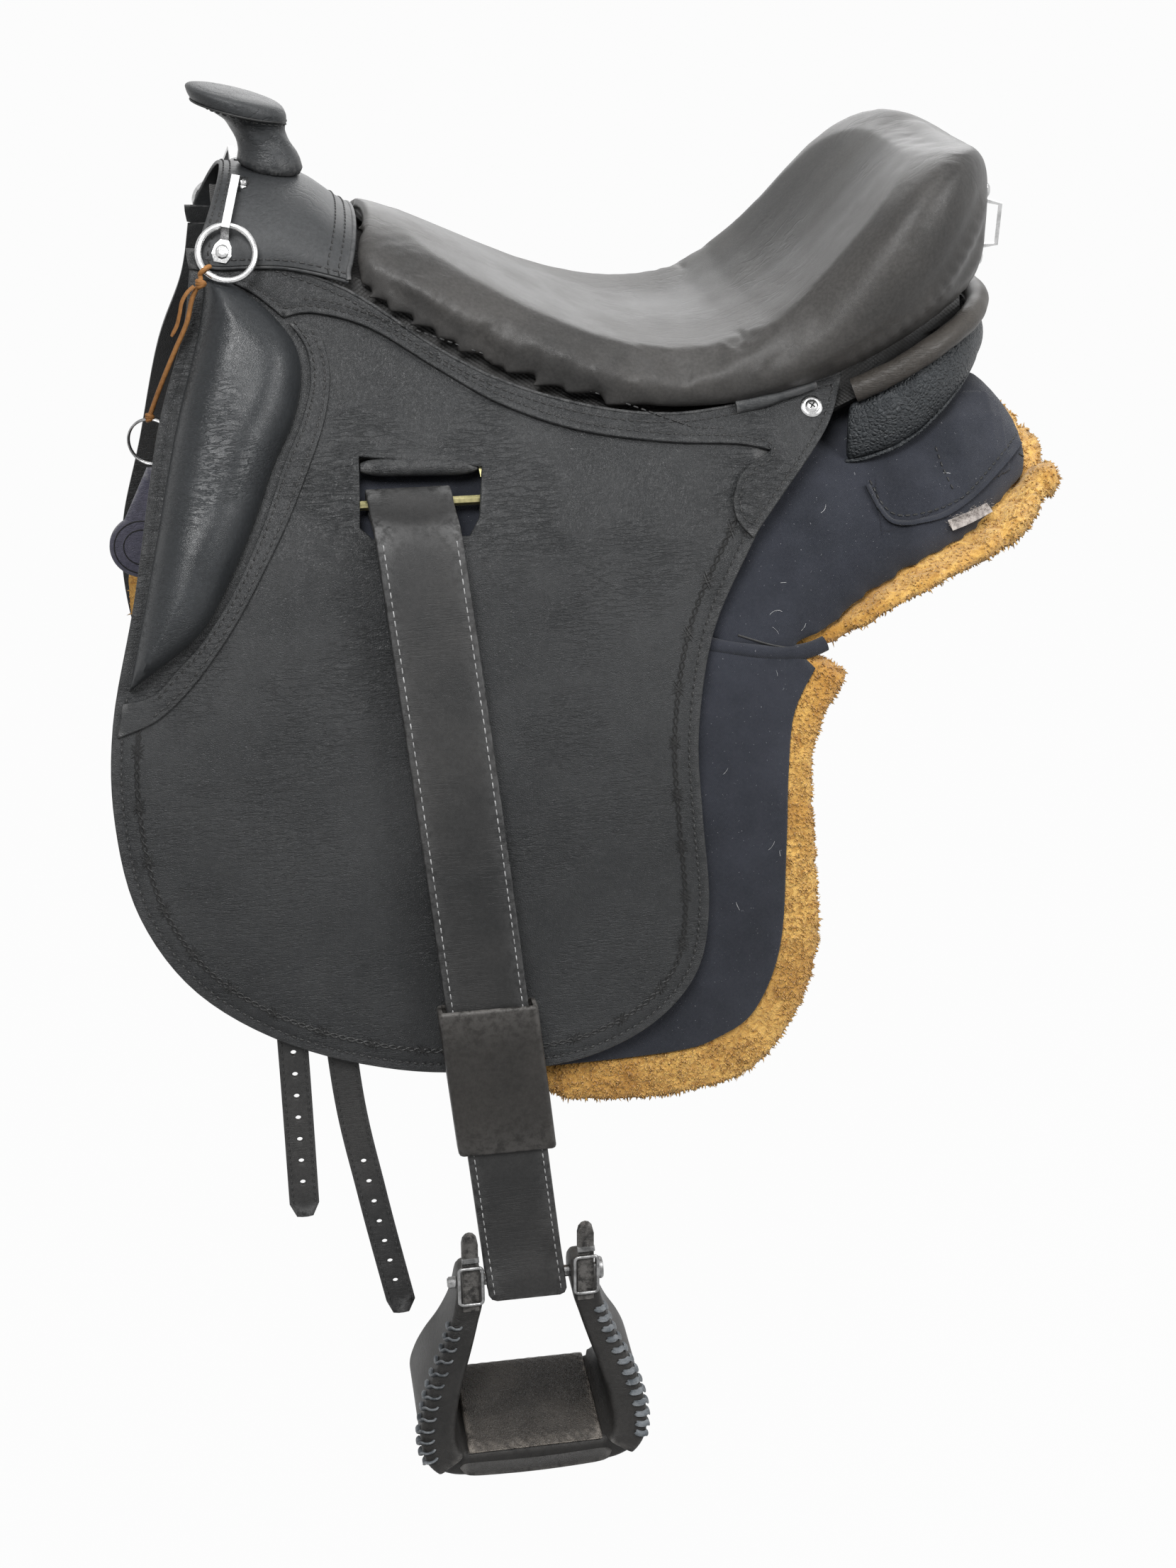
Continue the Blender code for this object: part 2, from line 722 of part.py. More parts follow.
FLAP_FRONT = [(-0.279, 0.095), (-0.287, 0.055), (-0.308, -0.002), (-0.330, -0.095), (-0.350, -0.171),
              (-0.354, -0.235), (-0.343, -0.300), (-0.309, -0.358), (-0.250, -0.402), (-0.176, -0.429),
              (-0.105, -0.437), (-0.045, -0.433), (0.005, -0.411), (0.037, -0.374), (0.046, -0.324),
              (0.042, -0.257), (0.041, -0.200), (0.054, -0.136), (0.084, -0.082), (0.108, -0.050)]
SKIRT_DROP_TO_FLAP = 0.007
SKIRT_LOWER = [(-0.220, 0.0625), (-0.200, 0.0645), (-0.164, 0.054), (-0.120, 0.027), (-0.080, 0.005),
               (-0.029, -0.012), (0.029, -0.021), (0.080, -0.0245), (0.102, -0.029)]
SKIRT_HOOK = [(0.102, -0.029), (0.081, -0.040), (0.0725, -0.055), (0.074, -0.068), (0.084, -0.079)]
SKIRT_REAR = [(0.084, -0.079), (0.106, -0.056), (0.142, -0.020), (0.155, 0.002), (0.158, 0.012)]
SKIRT_SEAM = [(-0.2795, 0.0950), (-0.262, 0.0895), (-0.240, 0.0785), (-0.220, 0.0625)]
KNEE_ROLL_REAR = [(-0.2700, 0.0880), (-0.256, 0.0855), (-0.2415, 0.0770), (-0.2255, 0.0625), (-0.2135, 0.045),
                  (-0.211, 0.025), (-0.219, 0.0), (-0.233, -0.022), (-0.250, -0.056), (-0.272, -0.094),
                  (-0.293, -0.121), (-0.3375, -0.150)]
KNEE_ROLL_FRONT = [(-0.3375, -0.150), (-0.3155, -0.072), (-0.296, -0.003), (-0.2765, 0.055), (-0.2700, 0.0880)]
KNEE_ROLL_BULGE = 0.026
BINDING_OUTER = [(-0.2165, 0.0590), (-0.199, 0.0560), (-0.1925, 0.036), (-0.193, 0.018), (-0.199, -0.002),
                 (-0.210, -0.024), (-0.226, -0.053), (-0.244, -0.081), (-0.262, -0.108), (-0.279, -0.130),
                 (-0.299, -0.152), (-0.322, -0.170), (-0.3475, -0.179)]
BINDING_INNER = [(-0.3425, -0.158), (-0.322, -0.1535), (-0.305, -0.1385), (-0.288, -0.1225), (-0.266, -0.094),
                 (-0.2445, -0.058), (-0.2275, -0.024), (-0.2135, 0.0), (-0.2055, 0.022), (-0.2065, 0.043),
                 (-0.2165, 0.0590)]
SLOT = [(-0.177, -0.020), (-0.096, -0.029), (-0.1005, -0.0575), (-0.108, -0.068), (-0.172, -0.067),
        (-0.180, -0.060)]


def flap(side):
    top = curve_through([(x, through(SKIRT_TOP, x) - SKIRT_DROP_TO_FLAP)
                         for x in (0.100, 0.050, 0.0, -0.050, -0.100, -0.150, -0.200, -0.245)], 1)
    outline = outline_of(curve_through(FLAP_FRONT), top)
    sheet = laid_on_side("flap_" + side, outline, 0.0, FLAP_THICK, black_leather(), holes=[SLOT])
    return combine(sheet, slot_lip(), "UNION")


def skirt(side):
    under = FLAP_THICK + GAP
    top = curve_through([p for p in reversed(SKIRT_TOP)], 2)
    outline = outline_of(curve_through(SKIRT_SEAM, 2), curve_through(SKIRT_LOWER, 2), curve_through(SKIRT_HOOK, 2),
                         curve_through(SKIRT_REAR, 2), top[:-1], [(-0.281, 0.104)])
    return laid_on_side("skirt_" + side, outline, under, under + SKIRT_THICK, black_leather())


def knee_roll(side):
    """Stuffed roll sewn to the flap's front, round in section."""
    outline = outline_of(curve_through(KNEE_ROLL_REAR, 2), curve_through(KNEE_ROLL_FRONT, 2))
    under = FLAP_THICK + GAP
    edge = outline + outline[:1]

    def dome(x, height):
        point = Vector((x, height))
        reach = min((point - closest(point, a, b)).length for a, b in zip(edge, edge[1:]))
        share = min(reach / 0.026, 1.0)
        return under + 0.004 + KNEE_ROLL_BULGE * math.sqrt(1 - (1 - share) ** 2)

    columns = [-0.312, -0.296, -0.281, -0.266, -0.251, -0.236, -0.222]
    return laid_on_side("knee_roll_" + side, outline, under, dome, black_leather(), columns=columns)


def closest(point, a, b):
    """Nearest point to the given one on a straight stretch."""
    run = b - a
    t = max(0.0, min(1.0, (point - a).dot(run) / run.length_squared))
    return a + run * t


def knee_binding(side):
    under = FLAP_THICK + GAP
    outline = outline_of(curve_through(BINDING_OUTER, 2), curve_through(BINDING_INNER, 2))
    return laid_on_side("knee_roll_binding_" + side, outline, under, under + BINDING_THICK, black_leather())


def slot_lip():
    """Rolled leather lip along the slot's upper edge, tucked behind it."""
    ends = [(-0.172, -0.0250), (-0.148, -0.0258), (-0.124, -0.0266), (-0.100, -0.0274)]
    return tube("slot_lip", [side_point(x, z, -0.0042) for x, z in ends], 0.0048, black_leather(), resolution=1)


# Panels, sweat flaps and their sheepskin

CHANNEL_HALF = 0.036
PAD_STATIONS = [-0.298, -0.270, -0.220, -0.160, -0.100, -0.040, 0.020, 0.070, 0.110, 0.145, 0.180, 0.215,
                0.248, 0.275, 0.294, 0.304]
PAD_LOW = [(-0.298, -0.130), (0.0, -0.1345), (0.060, -0.148), (0.110, -0.156), (0.135, -0.152), (0.162, -0.136),
           (0.199, -0.118), (0.244, -0.104), (0.279, -0.088), (0.295, -0.076), (0.304, -0.064)]
PAD_TOP_REAR = [(0.110, -0.013), (0.180, -0.012), (0.248, 0.000), (0.275, -0.004), (0.294, -0.022),
                (0.304, -0.040)]
PAD_BACK_HALF = [(0.110, 0.176), (0.145, 0.172), (0.180, 0.166), (0.215, 0.159), (0.248, 0.147), (0.275, 0.128),
                 (0.294, 0.113), (0.304, 0.101)]
PAD_INSET = [(0.128, 0.0210), (0.180, 0.0090), (0.304, 0.0030)]
PAD_IN_HALF = [(0.248, 0.036), (0.275, 0.042), (0.294, 0.050), (0.304, 0.060)]
SWEAT_THICK = 0.0040
FLEECE_THICK = 0.0110
FLEECE_PAST = 0.0150


def pad_paths(x):
    """Upper and lower path of a panel pad's section, from the channel outward."""
    low = through(PAD_LOW, x)
    inner = max(through(PAD_IN_HALF, x), CHANNEL_HALF)
    top = through(PAD_TOP_REAR, x)
    under_flap = [side_point(x, z, -room(z) - GAP) for z in (-0.020, -0.066, -0.105, low)]
    if x <= 0.110:
        upper = [Vector((x, -CHANNEL_HALF, -0.013)), Vector((x, -0.080, -0.0175))] + under_flap
    else:
        ease = min((x - 0.110) / 0.07, 1.0)
        outer = through(PAD_BACK_HALF, x)
        free = [Vector((x, -(inner + (outer - inner) * s), low + (top - low) * r))
                for s, r in ((0.60, 0.74), (0.83, 0.46), (0.95, 0.20), (1.0, 0.0))]
        blend = [a.lerp(b, ease) for a, b in zip(under_flap, free)]
        upper = [Vector((x, -inner, top)), Vector((x, -(inner + (outer - inner) * 0.30), top - 0.004))] + blend
    thick = 0.027 if x < 0.25 else 0.027 - 0.35 * (x - 0.25)
    edge = upper[-1]
    across = upper[-1].y
    lower = [Vector((x, -inner, upper[0].z - thick)),
             Vector((x, -inner + (across + inner) * 0.35, upper[1].z - thick - 0.012)),
             Vector((x, -inner + (across + inner) * 0.72, upper[3].z - 0.026)),
             Vector((x, edge.y + straight(PAD_INSET, x), edge.z + 0.001))]
    return upper, lower


def panel(side):
    rings = []
    for x in PAD_STATIONS:
        upper, lower = pad_paths(x)
        rings.append(upper + lower[::-1])
    return loft("panel_" + side, rings, canvas(), smooth_angle=60)


def panel_fleece(side):
    """Sheepskin under the pad; towards the rear it stands out past the pad's edge."""
    rings = []
    for x in PAD_STATIONS:
        upper, lower = pad_paths(x)
        share = max(0.06, min((x - 0.125) / 0.04, 1.0))
        tip = lower[-1].lerp(upper[-1], share) + Vector((0, -FLEECE_PAST * share, 0))
        path = [Vector((x, p.y, p.z - 3 * GAP)) for p in lower + [tip]]
        path[-1].z -= 0.0012
        low = [Vector((x, p.y, p.z - FLEECE_THICK)) for p in path[:-1]]
        rim = path[-1] + Vector((0, 0.003 * share, -FLEECE_THICK * 0.8))
        rings.append(path + [rim] + low[::-1])
    end = sum(rings[-1], Vector()) / len(rings[-1])
    rings.append([end + (p - end) * 0.85 + Vector((FLEECE_PAST * 0.7, 0, 0)) for p in rings[-1]])
    return loft("panel_fleece_" + side, rings, fleece(), smooth_angle=60)


SWEAT_REAR = [(-0.1100, -0.4420), (-0.065, -0.4440), (0.024, -0.4415), (0.057, -0.433), (0.083, -0.414),
              (0.101, -0.366), (0.105, -0.290), (0.107, -0.235), (0.112, -0.195), (0.128, -0.1665)]
FLEECE_REAR = [(-0.1100, -0.4440), (-0.085, -0.4560), (-0.050, -0.4740), (0.020, -0.4780), (0.080, -0.464),
               (0.115, -0.420), (0.130, -0.370), (0.127, -0.300), (0.124, -0.240), (0.132, -0.205),
               (0.146, -0.1830), (0.152, -0.1720)]
SWEAT_FRONT = [(-0.330, -0.1370), (-0.344, -0.180), (-0.3495, -0.235), (-0.3385, -0.298), (-0.305, -0.354),
               (-0.247, -0.398), (-0.174, -0.4265), (-0.110, -0.4420)]


def below_pad(x):
    return through(PAD_LOW, x) - 0.0025


def sweat_outline(rear, end):
    top = [(x, below_pad(x)) for x in (end, 0.085, 0.040, 0.0, -0.150, -0.330)]
    front = [(-0.330, below_pad(-0.330))] + SWEAT_FRONT[1:]
    front[-1] = rear[0]
    return outline_of(curve_through(front, 2), curve_through(rear, 2), curve_through(top, 1))


def sweat_flap(side):
    """Thin canvas-covered flap under the leather one."""

    def outer(x, height):
        return -room(height) - GAP

    def inner(x, height):
        return -room(height) - GAP - SWEAT_THICK

    return laid_on_side("sweat_flap_" + side, sweat_outline(SWEAT_REAR, 0.120), inner, outer, canvas())


def sweat_fleece(side):

    def outer(x, height):
        return -room(height) - 2 * GAP - SWEAT_THICK

    def inner(x, height):
        return outer(x, height) - FLEECE_THICK

    return laid_on_side("sweat_flap_fleece_" + side, sweat_outline(FLEECE_REAR, 0.128), inner, outer, fleece())


# Stirrup bar, leather, sleeve and stirrup

def strap_x(height):
    """Middle of the stirrup leather at a height: it leans towards the cantle."""
    return STRAP_MID + STRAP_LEAN * (BAR_HEIGHT - height)


def strap_point(height, offset, across=0.0):
    return side_point(strap_x(height) + across, height, offset)


STRAP_IN = FLAP_THICK + STRAP_CLEAR
STRAP_OUT = STRAP_IN + 2 * STRAP_THICK + 0.0005
EYE_OUTER = BOLT_RADIUS + GAP + STRAP_THICK


def bar_centre():
    return side_point(strap_x(BAR_HEIGHT), BAR_HEIGHT, -BAR_DEPTH)


def bolt_centre():
    return strap_point(BOLT_HEIGHT, (STRAP_IN + STRAP_OUT) / 2)


def stirrup_bar(side):
    """Steel bar riveted to the tree, on which the leather hangs."""
    rise = [(BAR_LEFT, -0.0225), (BAR_LEFT, -0.034), (BAR_LEFT + 0.004, BAR_HEIGHT), (BAR_RIGHT - 0.004, BAR_HEIGHT),
            (BAR_RIGHT, -0.034), (BAR_RIGHT, -0.0225)]
    wire = tube("stirrup_bar_" + side, [side_point(x, z, -BAR_DEPTH) for x, z in rise], BAR_RADIUS, brass(),
                resolution=2)
    plate = laid_on_side("bar_plate", [(BAR_LEFT - 0.008, -0.034), (BAR_LEFT + 0.008, -0.034),
                                       (BAR_LEFT + 0.010, -0.018), (BAR_RIGHT - 0.010, -0.018),
                                       (BAR_RIGHT - 0.008, -0.034), (BAR_RIGHT + 0.008, -0.034),
                                       (BAR_RIGHT + 0.008, 0.010), (BAR_LEFT - 0.008, 0.010)],
                         -GAP * 2 - BAR_PLATE_THICK, -GAP * 2, brass())
    return combine(wire, plate, "UNION")


def leather_hanger(side):
    """Top of the stirrup leather: the fold round the bar, down to the round joint."""
    mid = strap_x(SWAY_HEIGHT)
    radius = STRAP_WIDTH / 2 + SWAY_PLAY
    top = BAR_HEIGHT - 0.001
    half = STRAP_WIDTH / 2
    outline = [(strap_x(top) - half, top), (mid - half, SWAY_HEIGHT + 0.006)] + \
        arc((mid, SWAY_HEIGHT), radius, 165, 15, 10) + \
        [(mid + half, SWAY_HEIGHT + 0.006), (strap_x(top) + half, top)]

    def inner(x, height):
        return straight([(-0.066, STRAP_IN), (BAR_HEIGHT, -BAR_DEPTH - 0.0048)], height)

    def outer(x, height):
        return straight([(-0.066, STRAP_OUT), (BAR_HEIGHT, -BAR_DEPTH + 0.0088)], height)

    band = laid_on_side("stirrup_leather_hanger_" + side, outline, inner, outer, black_leather())
    centre = bar_centre()
    eye = rod("eye", centre - Vector((half, 0, 0)), centre + Vector((half, 0, 0)), BAR_RADIUS + GAP + STRAP_THICK,
              black_leather())
    band = combine(band, eye, "UNION")
    bore = rod("bore", centre - Vector((0.06, 0, 0)), centre + Vector((0.06, 0, 0)), BAR_RADIUS + GAP,
               black_leather())
    return pivot_at(combine(band, bore, "DIFFERENCE"), centre)


def stirrup_leather(side):
    """Doubled strap from the round joint down to the stirrup's bolt."""
    mid, half = strap_x(SWAY_HEIGHT), STRAP_WIDTH / 2
    end = BOLT_HEIGHT + 0.004
    outline = arc((mid, SWAY_HEIGHT), half, 180, 0, 12) + [(strap_x(end) + half, end), (strap_x(end) - half, end)]
    band = laid_on_side("stirrup_leather_" + side, outline, STRAP_IN, STRAP_OUT, black_leather())
    centre = bolt_centre()
    eye = rod("eye", centre - Vector((half, 0, 0)), centre + Vector((half, 0, 0)), EYE_OUTER, black_leather())
    band = combine(band, eye, "UNION")
    bore = rod("bore", centre - Vector((0.06, 0, 0)), centre + Vector((0.06, 0, 0)), BOLT_RADIUS + GAP,
               black_leather())
    return pivot_at(combine(band, bore, "DIFFERENCE"), sway_pivot())


def sway_pivot():
    return strap_point(SWAY_HEIGHT, (STRAP_IN + STRAP_OUT) / 2)


def sleeve(side):
    """Wide leather keeper that slides on the stirrup leather."""
    rings = []
    half_in, half_out = STRAP_WIDTH / 2 + 0.0028, STRAP_WIDTH / 2 + 0.0028 + SLEEVE_WALL
    for share in (0.0, 0.06, 0.5, 0.94, 1.0):
        height = SLEEVE_TOP - SLEEVE_LENGTH * share
        lip = 0.0008 if share in (0.0, 1.0) else 0.0
        ring = []
        for across, depth in ((-1, -1), (1, -1), (1, 1), (-1, 1)):
            base = STRAP_OUT if depth > 0 else STRAP_IN
            ring.append((across, depth, base, lip))
        outer = [strap_point(height, base + depth * (SLEEVE_PLAY + (SLEEVE_WALL if depth > 0 else SLEEVE_BACK) - lip),
                             across * (half_out - lip)) for across, depth, base, lip in ring]
        inner = [strap_point(height, base + depth * SLEEVE_PLAY, across * half_in)
                 for across, depth, base, lip in ring]
        rings.append((outer, inner))
    loops = [outer for outer, inner in rings] + [inner for outer, inner in reversed(rings)]
    return pivot_at(loft("sleeve_" + side, loops, brown_leather(), closed=True), strap_point(SLEEVE_TOP, STRAP_OUT))


def stirrup_outline():
    """Open-topped arch with a flat foot, in the stirrup's own plane, round the bolt."""
    eye, branch = STIRRUP_EYE_HALF, STIRRUP_BRANCH
    inner, drop = STIRRUP_INNER_HALF, STIRRUP_DROP
    outside = curve_through([(eye + branch * 0.85, 0.014), (eye + branch, -0.006), (eye + branch + 0.010, -0.042),
                             (inner + branch + 0.001, -0.078), (inner + branch + 0.005, -0.105),
                             (inner + branch - 0.001, -drop - 0.008), (inner + branch - 0.016, -drop - 0.020),
                             (inner - 0.008, -drop - STIRRUP_SOLE)], 2)
    inside = curve_through([(inner - 0.006, -drop), (inner, -drop + 0.008), (inner - 0.003, -0.086),
                            (eye + 0.010, -0.044), (eye + 0.001, -0.012), (eye, 0.014)], 2)
    right = inside + outside
    return right + [Vector((-p.x, p.y)) for p in reversed(right)]


def stirrup_depth(height):
    """How far the stirrup reaches across the horse, at a height from the bolt."""
    if height < -STIRRUP_DROP - 0.010:
        return STIRRUP_DEPTH_BOTTOM - 0.012
    return straight([(-STIRRUP_DROP, STIRRUP_DEPTH_BOTTOM), (-0.020, STIRRUP_DEPTH_TOP),
                     (0.014, STIRRUP_DEPTH_TOP * 0.75)], height)


def branch_front(height):
    return bolt_centre().y - stirrup_depth(height) / 2


def stirrup(side):
    """Leather-covered trail stirrup with a short strap standing up from each branch."""
    bm = flat_cut(stirrup_outline())
    score(bm, ys=[-0.020, -0.050, -0.080, -0.105, -0.125])
    centre = bolt_centre()
    for vert in bm.verts:
        x, height, layer = vert.co
        vert.co = (centre.x + x, centre.y + stirrup_depth(height) * layer, centre.z + height)
    frame = add("stirrup_" + side, to_mesh(bm, "stirrup"), black_leather())
    for way in (-1, 1):
        x = centre.x + way * BUCKLE_AT
        tab = box("tab", (x - 0.006, branch_front(0.0) - 0.003, centre.z - 0.012),
                  (x + 0.006, branch_front(0.0) + 0.0025, centre.z + 0.054), black_leather(), 0.0012)
        frame = combine(frame, tab, "UNION")
    bore = rod("bore", centre - Vector((0.08, 0, 0)), centre + Vector((0.08, 0, 0)), BOLT_RADIUS + GAP,
               black_leather())
    return pivot_at(combine(frame, bore, "DIFFERENCE"), centre)


def stirrup_tread(side):
    centre = bolt_centre()
    half, depth = STIRRUP_INNER_HALF - 0.009, STIRRUP_DEPTH_BOTTOM / 2 - 0.003
    top = centre.z - STIRRUP_DROP + GAP
    rings = []
    for share in (-1.0, -0.8, 0.0, 0.8, 1.0):
        y = centre.y + depth * share
        crown_up = TREAD_THICK * (1.0 if abs(share) < 1 else 0.4)
        rings.append([Vector((centre.x - half, y, top)), Vector((centre.x + half, y, top)),
                      Vector((centre.x + half, y, top + crown_up * 0.6)),
                      Vector((centre.x + half * 0.9, y, top + crown_up)),
                      Vector((centre.x - half * 0.9, y, top + crown_up)),
                      Vector((centre.x - half, y, top + crown_up * 0.6))])
    return pivot_at(loft("stirrup_tread_" + side, rings, brown_leather()), centre)


def stirrup_bolt(side):
    centre = bolt_centre()
    reach = STIRRUP_EYE_HALF + STIRRUP_BRANCH + 0.0015
    shank = rod("stirrup_bolt_" + side, centre - Vector((reach + 0.003, 0, 0)), centre + Vector((reach, 0, 0)),
                BOLT_RADIUS, steel(), 12)
    head = rod("head", centre + Vector((reach - 0.001, 0, 0)), centre + Vector((reach + 0.0035, 0, 0)), 0.0080,
               steel(), 12)
    return pivot_at(combine(shank, head, "UNION"), centre)


def stirrup_buckle(side, end, way):
    """Wire loop round the short strap of one branch: fore is way -1, aft is way 1."""
    centre = bolt_centre()
    x = centre.x + way * BUCKLE_AT
    y = branch_front(0.0) - 0.003 - BUCKLE_WIRE - GAP
    corners = [(-0.0065, -0.0045), (-0.0082, -0.0028), (-0.0082, 0.0245), (-0.0060, 0.0270), (0.0060, 0.0270),
               (0.0082, 0.0245), (0.0082, -0.0028), (0.0065, -0.0045)]
    wire = tube("stirrup_buckle_%s_%s" % (end, side), [Vector((x + dx, y, centre.z + dz)) for dx, dz in corners],
                BUCKLE_WIRE, steel(), closed=True, resolution=1)
    return pivot_at(wire, centre)


def fore_buckle(side):
    return stirrup_buckle(side, "fore", -1)


def aft_buckle(side):
    return stirrup_buckle(side, "aft", 1)


# Billets

FRONT_BILLET = [(-0.2490, -0.1050), (-0.2490, -0.300), (-0.2475, -0.420), (-0.2470, -0.5300)]
REAR_BILLET = [(-0.2200, -0.1150), (-0.2190, -0.300), (-0.2120, -0.440), (-0.1985, -0.530), (-0.1820, -0.6200)]
BILLET_HALF = 0.0105


def billet(name, middle, layer):
    """Girth strap between flap and sweat flap: round at its upper end, pointed at its lower end."""
    path = curve_through(middle, 3)
    left = [Vector((p.x - BILLET_HALF, p.y)) for p in path]
    right = [Vector((p.x + BILLET_HALF, p.y)) for p in path]
    top, end = path[0], path[-1]
    head = arc((top.x, top.y), BILLET_HALF, 0, 180, 6)
    tip = [Vector((end.x - BILLET_HALF * 0.5, end.y - 0.011)), Vector((end.x + BILLET_HALF * 0.5, end.y - 0.011))]
    outline = outline_of(head, left, tip, right[::-1])
    return laid_on_side(name, outline, -layer - BILLET_THICK, -layer, black_leather())


FRONT_BILLET_LAYER = 0.0012
REAR_BILLET_LAYER = FRONT_BILLET_LAYER + BILLET_THICK + 0.0009


def front_billet(side):
    return pivot_at(billet("front_billet_" + side, FRONT_BILLET, FRONT_BILLET_LAYER),
                    side_point(FRONT_BILLET[0][0], FRONT_BILLET[0][1], -FRONT_BILLET_LAYER))


def rear_billet(side):
    return pivot_at(billet("rear_billet_" + side, REAR_BILLET, REAR_BILLET_LAYER),
                    side_point(REAR_BILLET[0][0], REAR_BILLET[0][1], -REAR_BILLET_LAYER))


def billet_webbing(side):
    """Web nailed over the tree's bar; both billets bend at its lower edge."""
    front, rear = FRONT_BILLET[0][1] + BILLET_HALF + 2 * GAP, REAR_BILLET[0][1] + BILLET_HALF + 2 * GAP
    step = (FRONT_BILLET[0][0] + REAR_BILLET[0][0]) / 2
    outline = [(-0.262, 0.012), (-0.262, front), (step, front), (step, rear), (-0.208, rear), (-0.208, 0.012)]
    return laid_on_side("billet_webbing_" + side, outline, -0.0025, -0.0005, canvas())


# Pocket on the panel

def panel_pocket(side):
    """Canvas patch with a hook-and-loop strip, sewn to the panel behind the skirt."""
    rings = []
    for x in (0.180, 0.215, 0.248, 0.275, 0.285):
        before = max(k for k, place in enumerate(PAD_STATIONS) if place <= x)
        start, end = PAD_STATIONS[before], PAD_STATIONS[before + 1]
        share = (x - start) / (end - start)
        first, second = pad_paths(start)[0], pad_paths(end)[0]
        path = [a.lerp(b, share) for a, b in zip(first, second)][1:5]
        path[0] = path[0].lerp(path[1], 0.35)
        path[-1] = path[-2].lerp(path[-1], 0.6)
        out = Vector((0, -0.35, 0.94)).normalized()
        rings.append([p + out * 0.0009 for p in path] + [p + out * 0.0036 for p in reversed(path)])
    return loft("panel_pocket_" + side, rings, canvas())


# Staples, rings and screws

def strip(name, stations, across, thick, material):
    """Flat bar along a path; a station is a point and the bar's width there."""
    rings = []
    points = [point for point, width in stations]
    for k, (point, width) in enumerate(stations):
        along = (points[min(k + 1, len(points) - 1)] - points[max(k - 1, 0)]).normalized()
        face = along.cross(across).normalized()
        side, up = across * width / 2, face * thick / 2
        rings.append([point - side - up, point + side - up, point + side + up, point - side + up])
    return loft(name, rings, material)


def dome(name, centre, out, radius, height, material):
    """Low domed screw head."""
    out = out.normalized()
    first = out.orthogonal().normalized()
    second = out.cross(first)
    rings = []
    for reach, rise in ((1.0, 0.0), (1.0, 0.35), (0.8, 0.75), (0.45, 1.0)):
        rings.append([centre + out * (rise * height) + (first * math.cos(a) + second * math.sin(a)) * radius * reach
                      for a in (2 * math.pi * k / 10 for k in range(10))])
    return loft(name, rings, material)


def grown(obj, by):
    """Copy of a piece, a little larger all round, to cut its neighbours with."""
    mesh = bpy.data.meshes.new_from_object(obj.evaluated_get(bpy.context.evaluated_depsgraph_get()))
    bm = bmesh.new()
    bm.from_mesh(mesh)
    for vert, normal in [(v, v.normal.copy()) for v in bm.verts]:
        vert.co += normal * by
    return add("grown", to_mesh(bm, "grown"), black_leather())


def staple(name, surface, length, stand, under):
    """Screwed-on staple: a flat foot with a screw at each end and a raised bar between them.

    surface gives a point of the face below and its outward direction, 0 at the first screw and 1 at the last.
    """
    half = STAPLE_FOOT / 2 / length
    stations = [(-half, 0, 0.008), (-half * 0.3, 0, STAPLE_FOOT), (half * 0.6, 0, STAPLE_FOOT * 0.8),
                (half * 1.05, 0, STAPLE_WIDTH), (half * 1.45, stand, STAPLE_WIDTH),
                (1 - half * 1.7, stand, STAPLE_WIDTH), (1 - half * 1.3, 0, STAPLE_WIDTH),
                (1 - half * 0.6, 0, STAPLE_FOOT * 0.8), (1 + half * 0.3, 0, STAPLE_FOOT), (1 + half, 0, 0.008)]
    along = (surface(1.0)[0] - surface(0.0)[0]).normalized()
    across = along.cross(surface(0.5)[1]).normalized()
    path = [(surface(u)[0] + surface(u)[1] * lift, width) for u, lift, width in stations]
    body = strip(name, path, across, STAPLE_THICK, steel())
    for u in (0.0, 1.0):
        point, out = surface(u)
        screw = dome("screw", point + out * STAPLE_THICK * 0.3, out, 0.0048, 0.0026, steel())
        body = combine(body, screw, "UNION")
    return combine(body, grown(bpy.data.objects[under], 2 * GAP), "DIFFERENCE")


FRONT_STAPLE = [(-0.2420, 0.1435), (-0.2570, 0.1075)]
FRONT_STAPLE_LENGTH = 0.0540


def cover_face(u):
    """Pommel cover's outer face along the front staple."""
    (x0, high), (x1, low) = FRONT_STAPLE
    x = x0 + (x1 - x0) * u
    share = cover_share(x0, high) * (1 - u) + cover_share(x1, low) * u
    point = crown(x, share, COVER_LIFT + COVER_THICK)
    return point, (crown(x, share, COVER_LIFT + COVER_THICK + 0.01) - point).normalized()


def front_staple(side):
    return staple("front_staple_" + side, cover_face, FRONT_STAPLE_LENGTH, FRONT_STAND, "pommel_cover")


def ring_down():
    lean = math.radians(RING_LEAN)
    return Vector((0, -math.sin(lean), -math.cos(lean)))


def ring_pivot():
    """Middle of the ring's wire where it hangs on the front staple's lower leg."""
    point, out = cover_face(1 - STAPLE_FOOT / 2 / FRONT_STAPLE_LENGTH * 1.5)
    return point + out * FRONT_STAND * 0.52 - ring_down() * (RING_WIRE + STAPLE_THICK * 0.5 + 0.0018)


def ring_centre():
    return ring_pivot() + ring_down() * RING_RADIUS


def front_ring(side):
    face = Vector((1, 0, 0)).cross(ring_down())
    ring = torus("front_ring_" + side, ring_centre(), RING_RADIUS, RING_WIRE, face, steel(), 20, 5)
    return pivot_at(ring, ring_pivot())


REAR_STAPLE_Y = -0.060
REAR_STAPLE_TOP = 0.127
REAR_STAPLE_LENGTH = 0.047


def seat_back(u):
    """The seat's back face along the rear staple."""
    start = Vector((0.4, REAR_STAPLE_Y, REAR_STAPLE_TOP - REAR_STAPLE_LENGTH * u))
    found, point, normal, face = bpy.data.objects["seat"].evaluated_get(
        bpy.context.evaluated_depsgraph_get()).ray_cast(start, Vector((-1, 0, 0)))
    return point, normal


